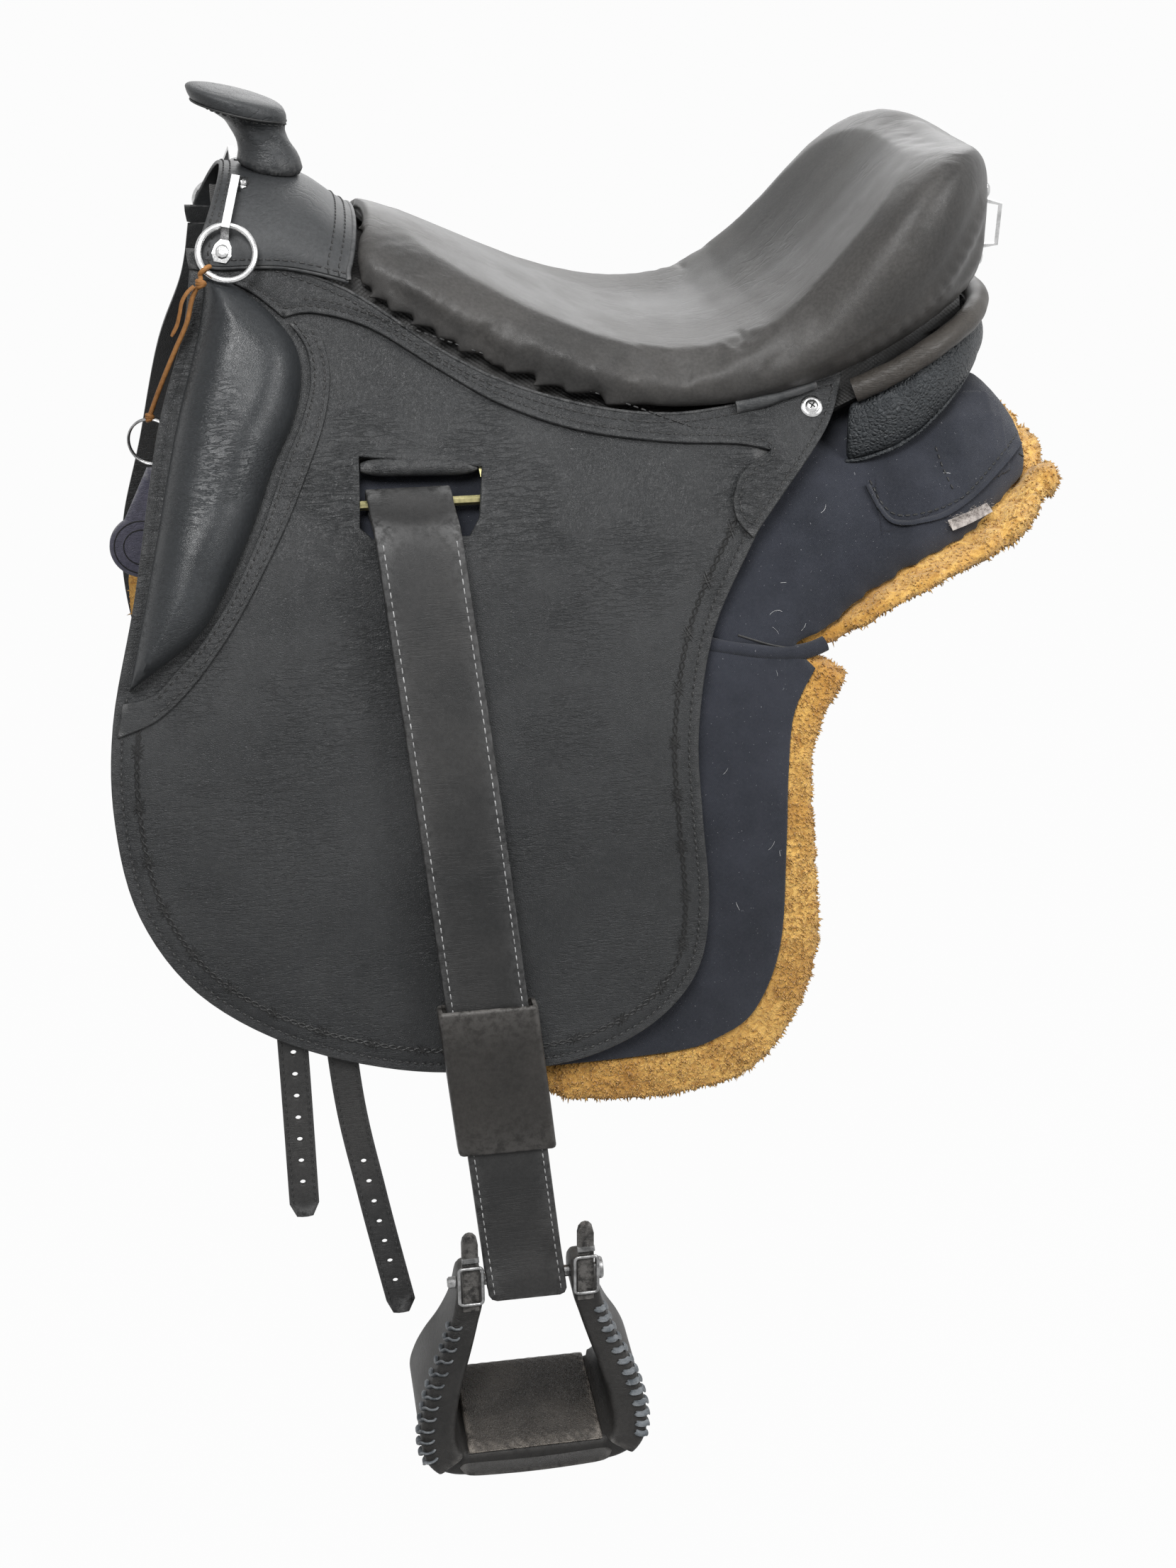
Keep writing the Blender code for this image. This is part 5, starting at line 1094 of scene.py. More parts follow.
# %% Horn
HORN_RINGS = [(-0.2200, 0.000, 0.0255, 0.0290, 0), (-0.2206, 0.006, 0.0205, 0.0225, 2),
              (-0.2235, 0.0155, 0.0180, 0.0195, 6), (-0.2290, 0.0260, 0.0200, 0.0205, 12),
              (-0.2345, 0.0322, 0.0262, 0.0250, 14), (-0.2375, 0.0345, 0.0300, 0.0282, 14),
              (-0.2390, 0.0364, 0.0318, 0.0298, 14), (-0.2400, 0.0402, 0.0328, 0.0308, 14),
              (-0.2415, 0.0446, 0.0324, 0.0304, 14), (-0.2421, 0.0466, 0.0300, 0.0281, 14),
              (-0.2427, 0.0482, 0.0230, 0.0214, 14), (-0.2430, 0.0488, 0.0100, 0.0094, 14)]
HORN_FOOT, HORN_SIDES = 0.1495, 44
cover_tree = BVHTree.FromObject(cover, bpy.context.evaluated_depsgraph_get())


def horn_ring(x, rise, along, across, tilt):
    """One oval ring of the horn; the lowest is laid on the cover."""
    slope = -math.tan(math.radians(tilt))
    ring = []
    for angle in round_angles(HORN_SIDES):
        dx, dy = along * math.cos(angle), across * math.sin(angle)
        height = HORN_FOOT + rise + dx * slope
        fold = 1 + 0.035 * math.sin(angle * 5 + rise * 260) * max(0.0, 1 - abs(rise - 0.020) / 0.016)
        if rise == 0.0:
            hit = cover_tree.ray_cast(Vector((x + dx, dy, 0.4)), Vector((0, 0, -1)))[0]
            height = hit.z - 0.0010 if hit else height
        ring.append(Vector((x + dx * fold, dy * fold, height)))
    return ring


levels = []
for k, (a, b) in enumerate(zip(HORN_RINGS, HORN_RINGS[1:])):
    for t in (0.0, 0.5):
        if k == 0 and t:
            continue
        levels.append([a[i] + (b[i] - a[i]) * t for i in range(5)])
levels.append(HORN_RINGS[-1])
horn = piece("horn_leather", *loft([horn_ring(*level) for level in levels]), COVER_LEATHER, sharp=70)
hang(finer(horn), "saddle", "black_leather", "horn")
seam_ring = horn_ring(-0.2392, 0.0358, 0.0316, 0.0296, 14)
horn_seam = [cord_mesh(seam_ring, 0.0007, 6, closed=True)]
under_ring = horn_ring(-0.2352, 0.0326, 0.0272, 0.0258, 14)
horn_seam.append(stitch_run(under_ring + under_ring[:1],
                            lambda p: Vector((p.x + 0.235, p.y, -0.018)).normalized(), thick=0.0005))
hang(piece("horn_seam", *gathered(horn_seam), BLACK_THREAD), "saddle", "black_leather")
print("horn:", len(horn.data.polygons), "faces")

# %% [markdown]
# Soft parts start from their solids: a copy is remeshed into even squares and smoothed, so no facet is
# left. The seat is then blown up a little by the cloth solver, as foam pushes the hide out, with the
# moves held to a few millimetres and held at the welted edge. A few long folds are added.

# %% Soft copies of the solids


WELD = 0.00002


def soft_copy(solid, name, skin, voxel, rounds, grow=0.0006):
    """Even, smooth copy of a solid's mesh."""
    bm = bmesh.new()
    bm.from_mesh(NODES[solid].data)
    bmesh.ops.remove_doubles(bm, verts=bm.verts, dist=WELD)
    mesh = bpy.data.meshes.new(name)
    bm.to_mesh(mesh)
    bm.free()
    obj = added(name, mesh)
    remesh = obj.modifiers.new("even", "REMESH")
    remesh.mode, remesh.voxel_size = "VOXEL", voxel
    smooth = obj.modifiers.new("smooth", "SMOOTH")
    smooth.factor, smooth.iterations = 0.5, rounds
    push = obj.modifiers.new("push", "DISPLACE")
    push.strength, push.mid_level = grow, 0.0
    settled(obj)
    obj.data.materials.clear()
    obj.data.materials.append(skin)
    obj.data.shade_smooth()
    return obj


def moved(obj, how):
    """Move each point by what `how` says for its place and outward direction."""
    mesh = obj.data
    count = len(mesh.vertices)
    places, outs = np.zeros(count * 3), np.zeros(count * 3)
    mesh.vertices.foreach_get("co", places)
    mesh.vertices.foreach_get("normal", outs)
    places, outs = places.reshape(-1, 3), outs.reshape(-1, 3)
    steps = np.array([how(p, n) for p, n in zip(places, outs)])
    mesh.vertices.foreach_set("co", (places + outs * steps[:, None]).ravel())
    mesh.update()
    return obj


def blown_up(obj, pressure, most, hold):
    """Cloth under pressure, its moves capped and scaled by how free each point is."""
    count = len(obj.data.vertices)
    before = np.zeros(count * 3)
    obj.data.vertices.foreach_get("co", before)
    cloth = obj.modifiers.new("stuffing", "CLOTH")
    cloth.settings.use_pressure = True
    cloth.settings.uniform_pressure_force = pressure
    cloth.settings.effector_weights.gravity = 0
    cloth.settings.quality = 4
    for number in range(1, 15):
        bpy.context.scene.frame_set(number)
    after = np.zeros(count * 3)
    blown = obj.evaluated_get(bpy.context.evaluated_depsgraph_get())
    blown.data.vertices.foreach_get("co", after)
    obj.modifiers.clear()
    before, after = before.reshape(-1, 3), after.reshape(-1, 3)
    move = after - before
    size = np.maximum(np.linalg.norm(move, axis=1), 1e-9)
    move *= (np.minimum(size, most) / size * np.array([hold(p) for p in before]))[:, None]
    obj.data.vertices.foreach_set("co", (before + move).ravel())
    obj.data.update()
    bpy.context.scene.frame_set(1)
    print(obj.name, "pushed out by up to", round(float(np.linalg.norm(move, axis=1).max()) * 1000, 1), "mm")


def step_up(value, low, high):
    t = min(max((value - low) / (high - low), 0.0), 1.0)
    return t * t * (3 - 2 * t)


# %% [markdown]
# The seat is a soft hide over foam. It swells most in its middle and stays put at its welted edge. Long
# shallow folds run along its sides, where the rider's weight has drawn the hide.

# %% Seat
SEAT_FOLDS = [[(0.262, 0.120), (0.235, 0.085), (0.200, 0.050), (0.150, 0.022), (0.100, 0.008)],
              [(0.270, 0.090), (0.250, 0.070), (0.215, 0.044), (0.185, 0.030)],
              [(-0.150, 0.070), (-0.120, 0.052), (-0.080, 0.030), (-0.040, 0.012), (0.010, 0.001)],
              [(-0.135, 0.083), (-0.100, 0.060), (-0.060, 0.036), (-0.010, 0.018)]]
FOLD_HEIGHTS = (0.0016, 0.0013, 0.0014, 0.0010)
FOLD_LINES = [np.array([(p.x, p.y) for p in smooth_line(points, 5)]) for points in SEAT_FOLDS]


def seat_hold(p):
    """0 at the seat's edge and 1 where it is free to swell."""
    return step_up(p[2] - through(SEAT_EDGE, p[0]), 0.004, 0.030)


def seat_folds(p, n):
    """Long shallow folds along the seat's sides, seen in side view."""
    if abs(n[1]) < 0.25:
        return 0.0
    lift = 0.0
    for line, high in zip(FOLD_LINES, FOLD_HEIGHTS):
        gap = np.min(np.hypot(line[:, 0] - p[0], line[:, 1] - p[2]))
        lift += high * math.exp(-(gap / 0.0065) ** 2) - high * 0.5 * math.exp(-((gap - 0.012) / 0.006) ** 2)
    return lift * step_up(abs(n[1]), 0.25, 0.6) * seat_hold(p)


seat = soft_copy("seat", "seat_hide", SEAT_LEATHER, voxel=0.0044, rounds=8, grow=0.0012)
blown_up(seat, 4.0, 0.0045, seat_hold)
moved(finer(seat), seat_folds)
hang(seat, "saddle", "seat_leather", "seat", fill=0.8)
seat_finder = BVHTree.FromObject(seat, bpy.context.evaluated_depsgraph_get())
seat_rim = []
for x in np.linspace(-0.163, 0.166, 24):
    height = through(SEAT_EDGE, x)
    hit = seat_finder.ray_cast(Vector((x, -0.4, height + 0.0065)), Vector((0, 1, 0)))[0]
    if hit:
        seat_rim.append(Vector((x, hit.y + 0.0012, height + 0.0034 + 0.0022 * step_up(-x, -0.05, 0.08))))


def welt_size(share):
    """Radius of the seat's welt, thicker towards the front."""
    return 0.0036 + 0.0022 * step_up(0.6 - share, 0, 0.3)


pair("seat_welt_left", cord_mesh(smooth_line(seat_rim, 4), welt_size, 14), COVER_LEATHER)
print("seat:", len(seat.data.polygons), "faces")

# %% [markdown]
# Round the back of the cantle run a smooth roll and, under it, a band of pebbled leather. Both are drawn
# along one curve in plan, so they keep the same distance from the seat.

# %% Cantle roll and grained band
REAR_PLAN = mm((150, 113.5), (172, 119), (195, 120), (220, 112), (244, 94), (262, 68), (274, 36), (278, 0))
FACING_LOW = mm((150, -45), (172, -43), (206, -30), (235, -10), (258, 6), (278, 12))
ROLL_RADIUS, ROLL_OUT, ROLL_FROM, BAND_FROM, FACING_DROP = 0.0083, 0.0035, 0.1620, 0.160, 0.0172
half_plan = smooth_line([(x, -y) for x, y in REAR_PLAN], 8)
plan = half_plan + [Vector((p.x, -p.y)) for p in reversed(half_plan[:-1])]


def plan_out(k):
    ahead = plan[min(k + 1, len(plan) - 1)] - plan[max(k - 1, 0)]
    return Vector((ahead.y, -ahead.x)).normalized()


roll_path = []
for k, p in enumerate(plan):
    spot = p + plan_out(k) * ROLL_OUT
    if spot.x > ROLL_FROM:
        roll_path.append(Vector((spot.x, spot.y, through(SEAT_EDGE, p.x) - ROLL_RADIUS - GAP)))


def roll_size(share):
    """Radius of the stuffed roll, a little uneven along its length."""
    return ROLL_RADIUS * (1 + 0.02 * math.sin(share * 47) + 0.015 * math.sin(share * 113 + 1))


roll = piece("cantle_roll_leather", *cord_mesh(roll_path, roll_size, 24), CANTLE_LEATHER, sharp=70)
hang(roll, "saddle", "brown_black_leather", "cantle_roll", fill=1.0)
FACING_PROFILE = [(-0.0035, 0.0, -0.002), (0.0015, 0.0, 0.0), (0.0060, 0.10, 0.0), (0.0086, 0.28, 0.0),
                  (0.0096, 0.50, 0.0), (0.0092, 0.72, 0.0), (0.0072, 0.90, 0.0), (0.0030, 1.0, 0.0),
                  (-0.0035, 1.0, 0.002)]
rings, hem = [], []
for k, p in enumerate(plan):
    if p.x <= BAND_FROM:
        continue
    top, low, out = through(SEAT_EDGE, p.x) - FACING_DROP, through(FACING_LOW, p.x), plan_out(k)
    rings.append([Vector((p.x + out.x * d, p.y + out.y * d, top + (low - top) * s + e))
                  for d, s, e in FACING_PROFILE])
    hem.append(Vector((p.x + out.x * 0.0052, p.y + out.y * 0.0052, low + 0.0006)))
facing = piece("rear_band_leather", *loft(rings), GRAINED_LEATHER, sharp=75)
moved(finer(facing), lambda p, n: 0.0005 * noise.noise(Vector(p * 60)))
hang(facing, "saddle", "black_leather", "rear_facing", fill=0.7)
hang(piece("rear_band_welt", *cord_mesh(hem, 0.0014, 8), GRAINED_LEATHER), "saddle", "black_leather")
print("band:", len(facing.data.polygons), "faces")

# %% [markdown]
# The panels are canvas bags stuffed with wool. After the even copy they get soft lumps. Seams, the pocket
# and its hook tape are laid on by casting rays from the camera through their places in the photograph, so
# they lie on the canvas itself.

# %% Panels and sweat flaps in canvas


def panel_hold(p):
    """Free to swell only behind the skirt, where the canvas shows."""
    return step_up(p[0], 0.09, 0.15)


def panel_lumps(p, _):
    return panel_hold(p) * (0.0022 * noise.noise(Vector(p * 16)) + 0.0009 * noise.noise(Vector(p * 45)))


panel = soft_copy("panel_left", "panel_canvas_left", CANVAS, voxel=0.0060, rounds=10)
blown_up(panel, 3.0, 0.0025, panel_hold)
moved(finer(panel), panel_lumps)
PAD_LOW = mm((-298, -130), (0, -134.5), (60, -148), (110, -156), (135, -152), (162, -136), (199, -118),
             (244, -104), (279, -88), (295, -76), (304, -64))
BILLET_ROOM_FROM, BILLET_ROOM, BAR_ROOM_FROM, BAR_ROOM = -0.130, 0.0095, -0.085, 0.0150
SWEAT_THICK, FLEECE_THICK = 0.0040, 0.0110
SWEAT_REAR = mm((-110, -442), (-65, -444), (24, -441.5), (57, -433), (83, -414), (101, -366), (105, -290),
                (107, -235), (112, -195), (128, -166.5))
FLEECE_REAR = mm((-110, -444), (-85, -456), (-50, -474), (20, -478), (80, -464), (115, -420), (130, -370),
                 (127, -300), (124, -240), (132, -205), (146, -183), (152, -172))
SWEAT_FRONT = mm((-330, -137), (-344, -180), (-349.5, -235), (-338.5, -298), (-305, -354), (-247, -398),
                 (-174, -426.5))


def room(z):
    """Space left behind the flap for the billets and, higher up, for the bar."""
    share = min(max((z - BILLET_ROOM_FROM) / (BAR_ROOM_FROM - BILLET_ROOM_FROM), 0.0), 1.0)
    return BILLET_ROOM + (BAR_ROOM - BILLET_ROOM) * share


def sweat_loop(rear, end):
    """Outline of a layer that hangs under the panel: one front, and a rear of its own."""
    top = [Vector((x, through(PAD_LOW, x) - 0.0025)) for x in (end, 0.085, 0.040, 0.0, -0.150, -0.330)]
    front = [(-0.330, through(PAD_LOW, -0.330) - 0.0025)] + SWEAT_FRONT[1:] + [rear[0]]
    return loop_of(smooth_line(front), smooth_line(rear), top, pitch=0.005)


SWEAT_LOOP = sweat_loop(SWEAT_REAR, 0.120)
sweat = cut("sweat_canvas_left", SWEAT_LOOP, lambda x, z, d: -room(z) - GAP - SWEAT_THICK,
            lambda x, z, d: -room(z) - GAP, CANVAS, cell=0.009, edge=0.0018)
both(sweat, "saddle", "black_canvas", "sweat_flap_left")
both(panel, "saddle", "black_canvas", "panel_left", fill=0.8)
print("panel:", len(panel.data.polygons), "faces")


def tree_of(*objs):
    """Surface finder over the near side's pieces."""
    return BVHTree.FromPolygons(*gathered([([v.co.copy() for v in obj.data.vertices],
                                            [tuple(f.vertices) for f in obj.data.polygons]) for obj in objs]))


def laid(tree, pixels, pitch=0.003, lift=0.0003):
    """Points and outward directions where a line drawn in the picture meets the surfaces."""
    found = []
    for p in smooth_line(pixels, 8):
        start, ray = sight(p.x, p.y)
        spot, out, _, _ = tree.ray_cast(start, ray)
        if spot is not None:
            out = -out if out.dot(ray) > 0 else out
            found.append((spot + out * lift, out))
    path = spaced([f[0] for f in found], pitch)
    outs = [min(found, key=lambda f: (f[0] - p).length)[1] for p in path]
    return path, outs


def seam_on(tree, pixels, radius):
    return cord_mesh(laid(tree, pixels, lift=SUNK)[0], radius, 6)


def stitches_on(tree, pixels):
    path, outs = laid(tree, pixels, lift=SUNK)
    return stitch_run(path, lambda p: min(zip(path, outs), key=lambda f: (f[0] - p).length)[1])


# %% [markdown]
# A flat pocket is sewn to the rear of each panel, its hem turned over and a bit of hook tape left below it.
# The tape's hooks and the pale hairs caught on the canvas are drawn by chance with a fixed seed, so every
# run gives the same ones.

# %% Pocket, seams, hook tape and lint
pocket = soft_copy("panel_pocket_left", "pocket_canvas_left", CANVAS, voxel=0.0016, rounds=3, grow=0.0004)
moved(pocket, lambda p, n: 0.0010 * noise.noise(Vector((p[0] * 38, p[1] * 30, p[2] * 60))))
both(pocket, "saddle", "black_canvas", "panel_pocket_left", fill=0.3)
canvas_tree = tree_of(panel, pocket, sweat)
seams = [seam_on(canvas_tree, [(1041, 896), (1100, 912), (1166, 916)], 0.0008),
         seam_on(canvas_tree, [(1437, 640), (1458, 652), (1480, 662)], 0.0007),
         stitches_on(canvas_tree, [(1319, 628), (1330, 660), (1345, 692)]),
         stitches_on(canvas_tree, [(1226, 676), (1262, 726), (1341, 711), (1386, 672), (1437, 604),
                                   (1424, 575)])]
pair("canvas_seams_left", gathered(seams), BLACK_THREAD, finish="black_canvas")
hem_path, _ = laid(canvas_tree, [(1224, 684), (1240, 714), (1261, 736), (1301, 734), (1341, 720), (1389, 680),
                                 (1445, 608), (1429, 571)], lift=0.0006)
pair("pocket_hem_left", cord_mesh(hem_path, 0.0030, 10, flat=0.42), CANVAS, finish="black_canvas")
tape_path, _ = laid(canvas_tree, [(1338, 738), (1362, 728), (1392, 712)], pitch=0.002, lift=0.0005)
rng = random.Random(7)
hooks = [cord_mesh(tape_path, 0.0062, 10, flat=0.12)]
for _ in range(260):
    spot = rng.choice(tape_path) + Vector((rng.uniform(-0.003, 0.003), -0.0006, rng.uniform(-0.005, 0.005)))
    tip = spot + Vector((rng.uniform(-0.002, 0.002), -0.0016, rng.uniform(0.0, 0.0014)))
    hooks.append(cord_mesh([spot, (spot + tip) / 2 + Vector((0, -0.0006, 0)), tip], 0.00014, 3))
pair("hook_tape_left", gathered(hooks), PALE_TAPE, finish="black_canvas")


def lint_hairs(tree, count, box, seed):
    """Fine pale hairs caught on the canvas."""
    chance, parts = random.Random(seed), []
    while len(parts) < count:
        px, py = chance.uniform(box[0], box[2]), chance.uniform(box[1], box[3])
        start, ray = sight(px, py)
        spot, out, _, _ = tree.ray_cast(start, ray)
        if spot is None:
            parts.append(([], []))
            continue
        angle, turn = chance.uniform(0, 6.28), chance.uniform(-180, 180)
        length, path = chance.uniform(0.004, 0.013), []
        across = out.orthogonal().normalized()
        other = out.cross(across)
        place = spot + out * 0.0003
        for _ in range(6):
            path.append(place.copy())
            place = place + (across * math.cos(angle) + other * math.sin(angle)) * (length / 6)
            angle += turn * length / 6
        parts.append(cord_mesh(path, 0.00010, 3))
    return gathered(parts)


pair("lint_left", lint_hairs(canvas_tree, 90, (1010, 380, 1480, 1500), 11), LINT, finish="black_canvas")
join = [side(x, through(PAD_LOW, x) + 0.0010, -room(through(PAD_LOW, x)) - GAP - 0.0040)
        for x in np.linspace(0.030, 0.136, 24)]
pair("canvas_join_left", cord_mesh(join, 0.0056, 12), CANVAS, finish="black_canvas")
print("canvas trimmed")

# %% [markdown]
# Sheepskin shows as a golden rim. The body is an even copy with lumps; over it stand short bent locks of
# wool, spread over the surface by area with a fixed seed, so that the outline is woolly too.

# %% Sheepskin
LOCK_SHAPE, LOCK_CORNERS = ((-0.15, 1.0), (0.35, 0.95), (0.75, 0.6)), (0.0, 2.094, 4.189)


def locks(obj, count, seed, where, length=(0.0010, 0.0024), thick=0.0007):
    """Bent locks of wool over a piece, thicker where `where` is larger and none under canvas."""
    chance = np.random.default_rng(seed)
    mesh = obj.data
    mesh.calc_loop_triangles()
    corners = np.array([[tuple(mesh.vertices[k].co) for k in t.vertices] for t in mesh.loop_triangles])
    normals = np.cross(corners[:, 1] - corners[:, 0], corners[:, 2] - corners[:, 0])
    areas = np.linalg.norm(normals, axis=1)
    free = np.ones(len(corners))
    for k, (middle, out) in enumerate(zip(corners.mean(1), normals)):
        way = Vector(out).normalized()
        if canvas_tree.ray_cast(Vector(middle) - way * 0.001, way, 0.012)[0] is not None:
            free[k] = 0.0
    weight = areas * free * np.array([where(c) for c in corners.mean(1)])
    picks = chance.choice(len(corners), count, p=weight / weight.sum())
    verts, faces = [], []
    for pick in picks:
        a, b = sorted(chance.random(2))
        spot = corners[pick][0] * a + corners[pick][1] * (b - a) + corners[pick][2] * (1 - b)
        out = normals[pick] / max(areas[pick], 1e-12)
        lean = chance.normal(0, 0.55, 3) + np.array([0, 0, -0.25])
        size, wide = chance.uniform(*length), thick * chance.uniform(0.7, 1.3)
        first = np.cross(out, lean + 1e-6)
        first /= max(np.linalg.norm(first), 1e-9)
        other, start = np.cross(out, first), len(verts)
        for t, w in LOCK_SHAPE:
            middle = spot + out * size * t + lean * size * t * t * 0.7
            for q in LOCK_CORNERS:
                verts.append(tuple(middle + (first * math.cos(q) + other * math.sin(q)) * wide * w))
        verts.append(tuple(spot + out * size * 0.95 + lean * size * 0.8))
        for r in (0, 3):
            for k in range(3):
                n = (k + 1) % 3
                faces.append((start + r + k, start + r + n, start + r + 3 + n, start + r + 3 + k))
        faces += [(start + 6 + k, start + 6 + (k + 1) % 3, start + 9) for k in range(3)]
        faces.append((start + 2, start + 1, start))
    made = bpy.data.meshes.new("locks")
    made.from_pydata(verts, [], faces)
    made.shade_smooth()
    made.materials.append(FLEECE)
    return made


def woolly(p, n):
    """Soft lumps; behind the panel the skin is also longer and stands out past the canvas."""
    longer = 0.010 * step_up(p[0], 0.235, 0.290) * step_up(n[0], -0.3, 0.7)
    return 0.0014 * noise.noise(Vector(p * 90)) + 0.0005 * noise.noise(Vector(p * 230)) + 0.0006 + longer


def fleece_piece(base, name, count, seed, where, *solids):
    """Lump a sheepskin, cover it with locks and hang both."""
    moved(base, woolly)
    over = added(name, locks(base, count, seed, where))
    both(base, "saddle", "golden_sheepskin", *solids, fill=0.6)
    both(over, "saddle", "golden_sheepskin")
    print(name, len(over.data.polygons), "faces")


panel_wool = soft_copy("panel_fleece_left", "panel_wool_left", FLEECE, voxel=0.0052, rounds=5)


def rear_rim(p):
    return 0.25 + 3.0 * step_up(p[0], 0.10, 0.17)


fleece_piece(panel_wool, "panel_wool_locks_left", 7000, 3, rear_rim, "panel_fleece_left")
WOOL_LOOP = sweat_loop(FLEECE_REAR, 0.128)
sweat_wool = cut("sweat_wool_left", WOOL_LOOP,
                 lambda x, z, d: -room(z) - 2 * GAP - SWEAT_THICK - FLEECE_THICK,
                 lambda x, z, d: -room(z) - 2 * GAP - SWEAT_THICK, FLEECE, cell=0.0055, edge=0.0048)


def low_rim(p):
    return 0.25 + 4.0 * max(step_up(p[0], 0.085, 0.115), step_up(-p[2], 0.425, 0.450))


fleece_piece(sweat_wool, "sweat_wool_locks_left", 8000, 5, low_rim, "sweat_flap_fleece_left")

# %% [markdown]
# The stirrup leather is one long strap: it goes up behind, over the steel bar, down in front and round the
# stirrup's bolt. It is drawn as a ribbon that keeps its width and thickness.

# %% Stirrup leather
STRAP_MID, STRAP_LEAN, BAR_HEIGHT, BAR_DEPTH, STRAP_WIDE = -0.1455, 0.0956, -0.046, 0.0047, 0.057
STRAP_THICK, STRAP_IN, STRAP_OUT, BOLT_HEIGHT = 0.0045, 0.0127, 0.0222, -0.595
BOLT_RADIUS, STRAP_SEW = 0.0042, 0.0242
WRAP = BOLT_RADIUS + GAP + STRAP_THICK / 2
STRAP_SECTION = ((-1, -0.25), (-0.985, -0.8), (-0.955, -1), (-0.5, -1), (0, -1), (0.5, -1), (0.955, -1),
                 (0.985, -0.8), (1, -0.25), (1, 0.25), (0.985, 0.8), (0.955, 1), (0.5, 1), (0, 1), (-0.5, 1),
                 (-0.955, 1), (-0.985, 0.8), (-1, 0.25))


def strap_place(height, offset, across=0.0):
    """Point on the hanging strap: height, distance from the side, and across its middle line."""
    return side(STRAP_MID + STRAP_LEAN * (BAR_HEIGHT - height) + across, height, offset)


def ribbon(line, wide, thick, end_round):
    """Flat strap along points (height, offset), with a rounded first end."""
    rings, count = [], len(line)
    for k, (height, offset) in enumerate(line):
        a, b = line[max(k - 1, 0)], line[min(k + 1, count - 1)]
        run = Vector((b[0] - a[0], b[1] - a[1])).normalized()
        face = Vector((run.y, -run.x))
        gone = sum((Vector(line[j]) - Vector(line[j - 1])).length for j in range(1, k + 1))
        short = end_round - min(gone, end_round)
        half = wide / 2 - (end_round - math.sqrt(max(end_round ** 2 - short ** 2, 0.0)))
        ring = []
        for across, depth in STRAP_SECTION:
            move = face * (depth * thick / 2)
            ring.append(strap_place(height + move.x, offset + move.y, across * half))
        rings.append(ring)
    return loft(rings)


outer_line, inner_line = STRAP_OUT - STRAP_THICK / 2, STRAP_IN + STRAP_THICK / 2
bolt_offset = (STRAP_IN + STRAP_OUT) / 2
tail = [(-0.6085, bolt_offset + WRAP - 0.0002), (-0.6075, bolt_offset + WRAP), (-0.6045, bolt_offset + WRAP),
        (-0.5990, bolt_offset + WRAP), (-0.5930, bolt_offset + WRAP), (-0.5860, bolt_offset + WRAP - 0.0008),
        (-0.5790, outer_line + 0.0016), (-0.5710, outer_line + 0.0004), (-0.5630, outer_line)]
down = [(z, outer_line) for z in np.linspace(-0.555, -0.072, 60)]
over_bar = [(-0.0655, outer_line - 0.0016), (-0.0610, outer_line - 0.0060), (-0.0560, outer_line - 0.0113),
            (-0.0500, 0.0026 + 0.0012)]
over_bar += [(BAR_HEIGHT + WRAP * math.sin(a), -BAR_DEPTH + WRAP * math.cos(a))
             for a in (math.radians(d) for d in range(10, 181, 17))]
behind = [(-0.0500, -BAR_DEPTH - WRAP + 0.0012), (-0.0560, 0.0012), (-0.0610, 0.0075), (-0.0655, 0.0130),
          (-0.0700, inner_line - 0.0002)]
up = [(z, inner_line) for z in np.linspace(-0.076, -0.572, 60)]
round_bolt = [(-0.580, inner_line - 0.0010), (-0.587, inner_line - 0.0028)]
round_bolt += [(BOLT_HEIGHT + WRAP * math.sin(a), bolt_offset + WRAP * math.cos(a))
               for a in (math.radians(d) for d in range(176, 301, 18))]
strap_line = tail + down + over_bar + behind + up + round_bolt
strap = piece("stirrup_leather_strap_left", *ribbon(strap_line, STRAP_WIDE, STRAP_THICK, 0.0045),
              STRAP_LEATHER, sharp=60)
strap_face = [(z, o + STRAP_THICK / 2) for z, o in tail[2:] + down]
seam_rows = []
for across in (-STRAP_SEW, STRAP_SEW):
    row = [strap_place(z, o, across) for z, o in strap_face]
    seam_rows.append(stitch_run(row, lambda p: side_normal(p.x, p.z), pitch=0.0062, length=0.0044,
                                thick=0.00045))
strap_stitches = piece("strap_stitches_left", *gathered(seam_rows), GREY_THREAD)
for obj, solids in ((strap, ["stirrup_leather_hanger_left", "stirrup_leather_left"]), (strap_stitches, [])):
    for sign, near in ((1, "left"), (-1, "right")):
        part = obj if sign > 0 else twin_of(obj)
        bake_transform(part)
        if solids:
            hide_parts(*[s.replace("left", near) for s in solids])
print("strap:", len(strap.data.polygons), "faces")

# %% [markdown]
# A closed sleeve slides on the doubled strap and covers its loose end. Its section is a rounded rectangle a
# little larger than the strap, and its lips are turned in at both ends.

# %% Sleeve on the strap
SLEEVE_TOP, SLEEVE_TALL, SLEEVE_HALF = -0.378, 0.112, 0.0347
SLEEVE_LIPS = ((0, 0.0014), (0.006, 0.0005), (0.02, 0), (0.25, 0), (0.5, 0), (0.75, 0), (0.98, 0),
               (0.994, 0.0005), (1, 0.0014))


def rounded_box(half_wide, low, high, corner, steps=5):
    """Points round a rounded rectangle, as (across, offset)."""
    points = []
    for cx, cy, first in ((half_wide - corner, high - corner, 0), (-half_wide + corner, high - corner, 90),
                          (-half_wide + corner, low + corner, 180), (half_wide - corner, low + corner, 270)):
        for k in range(steps + 1):
            a = math.radians(first + 90 * k / steps)
            points.append((cx + corner * math.cos(a), cy + corner * math.sin(a)))
    return points


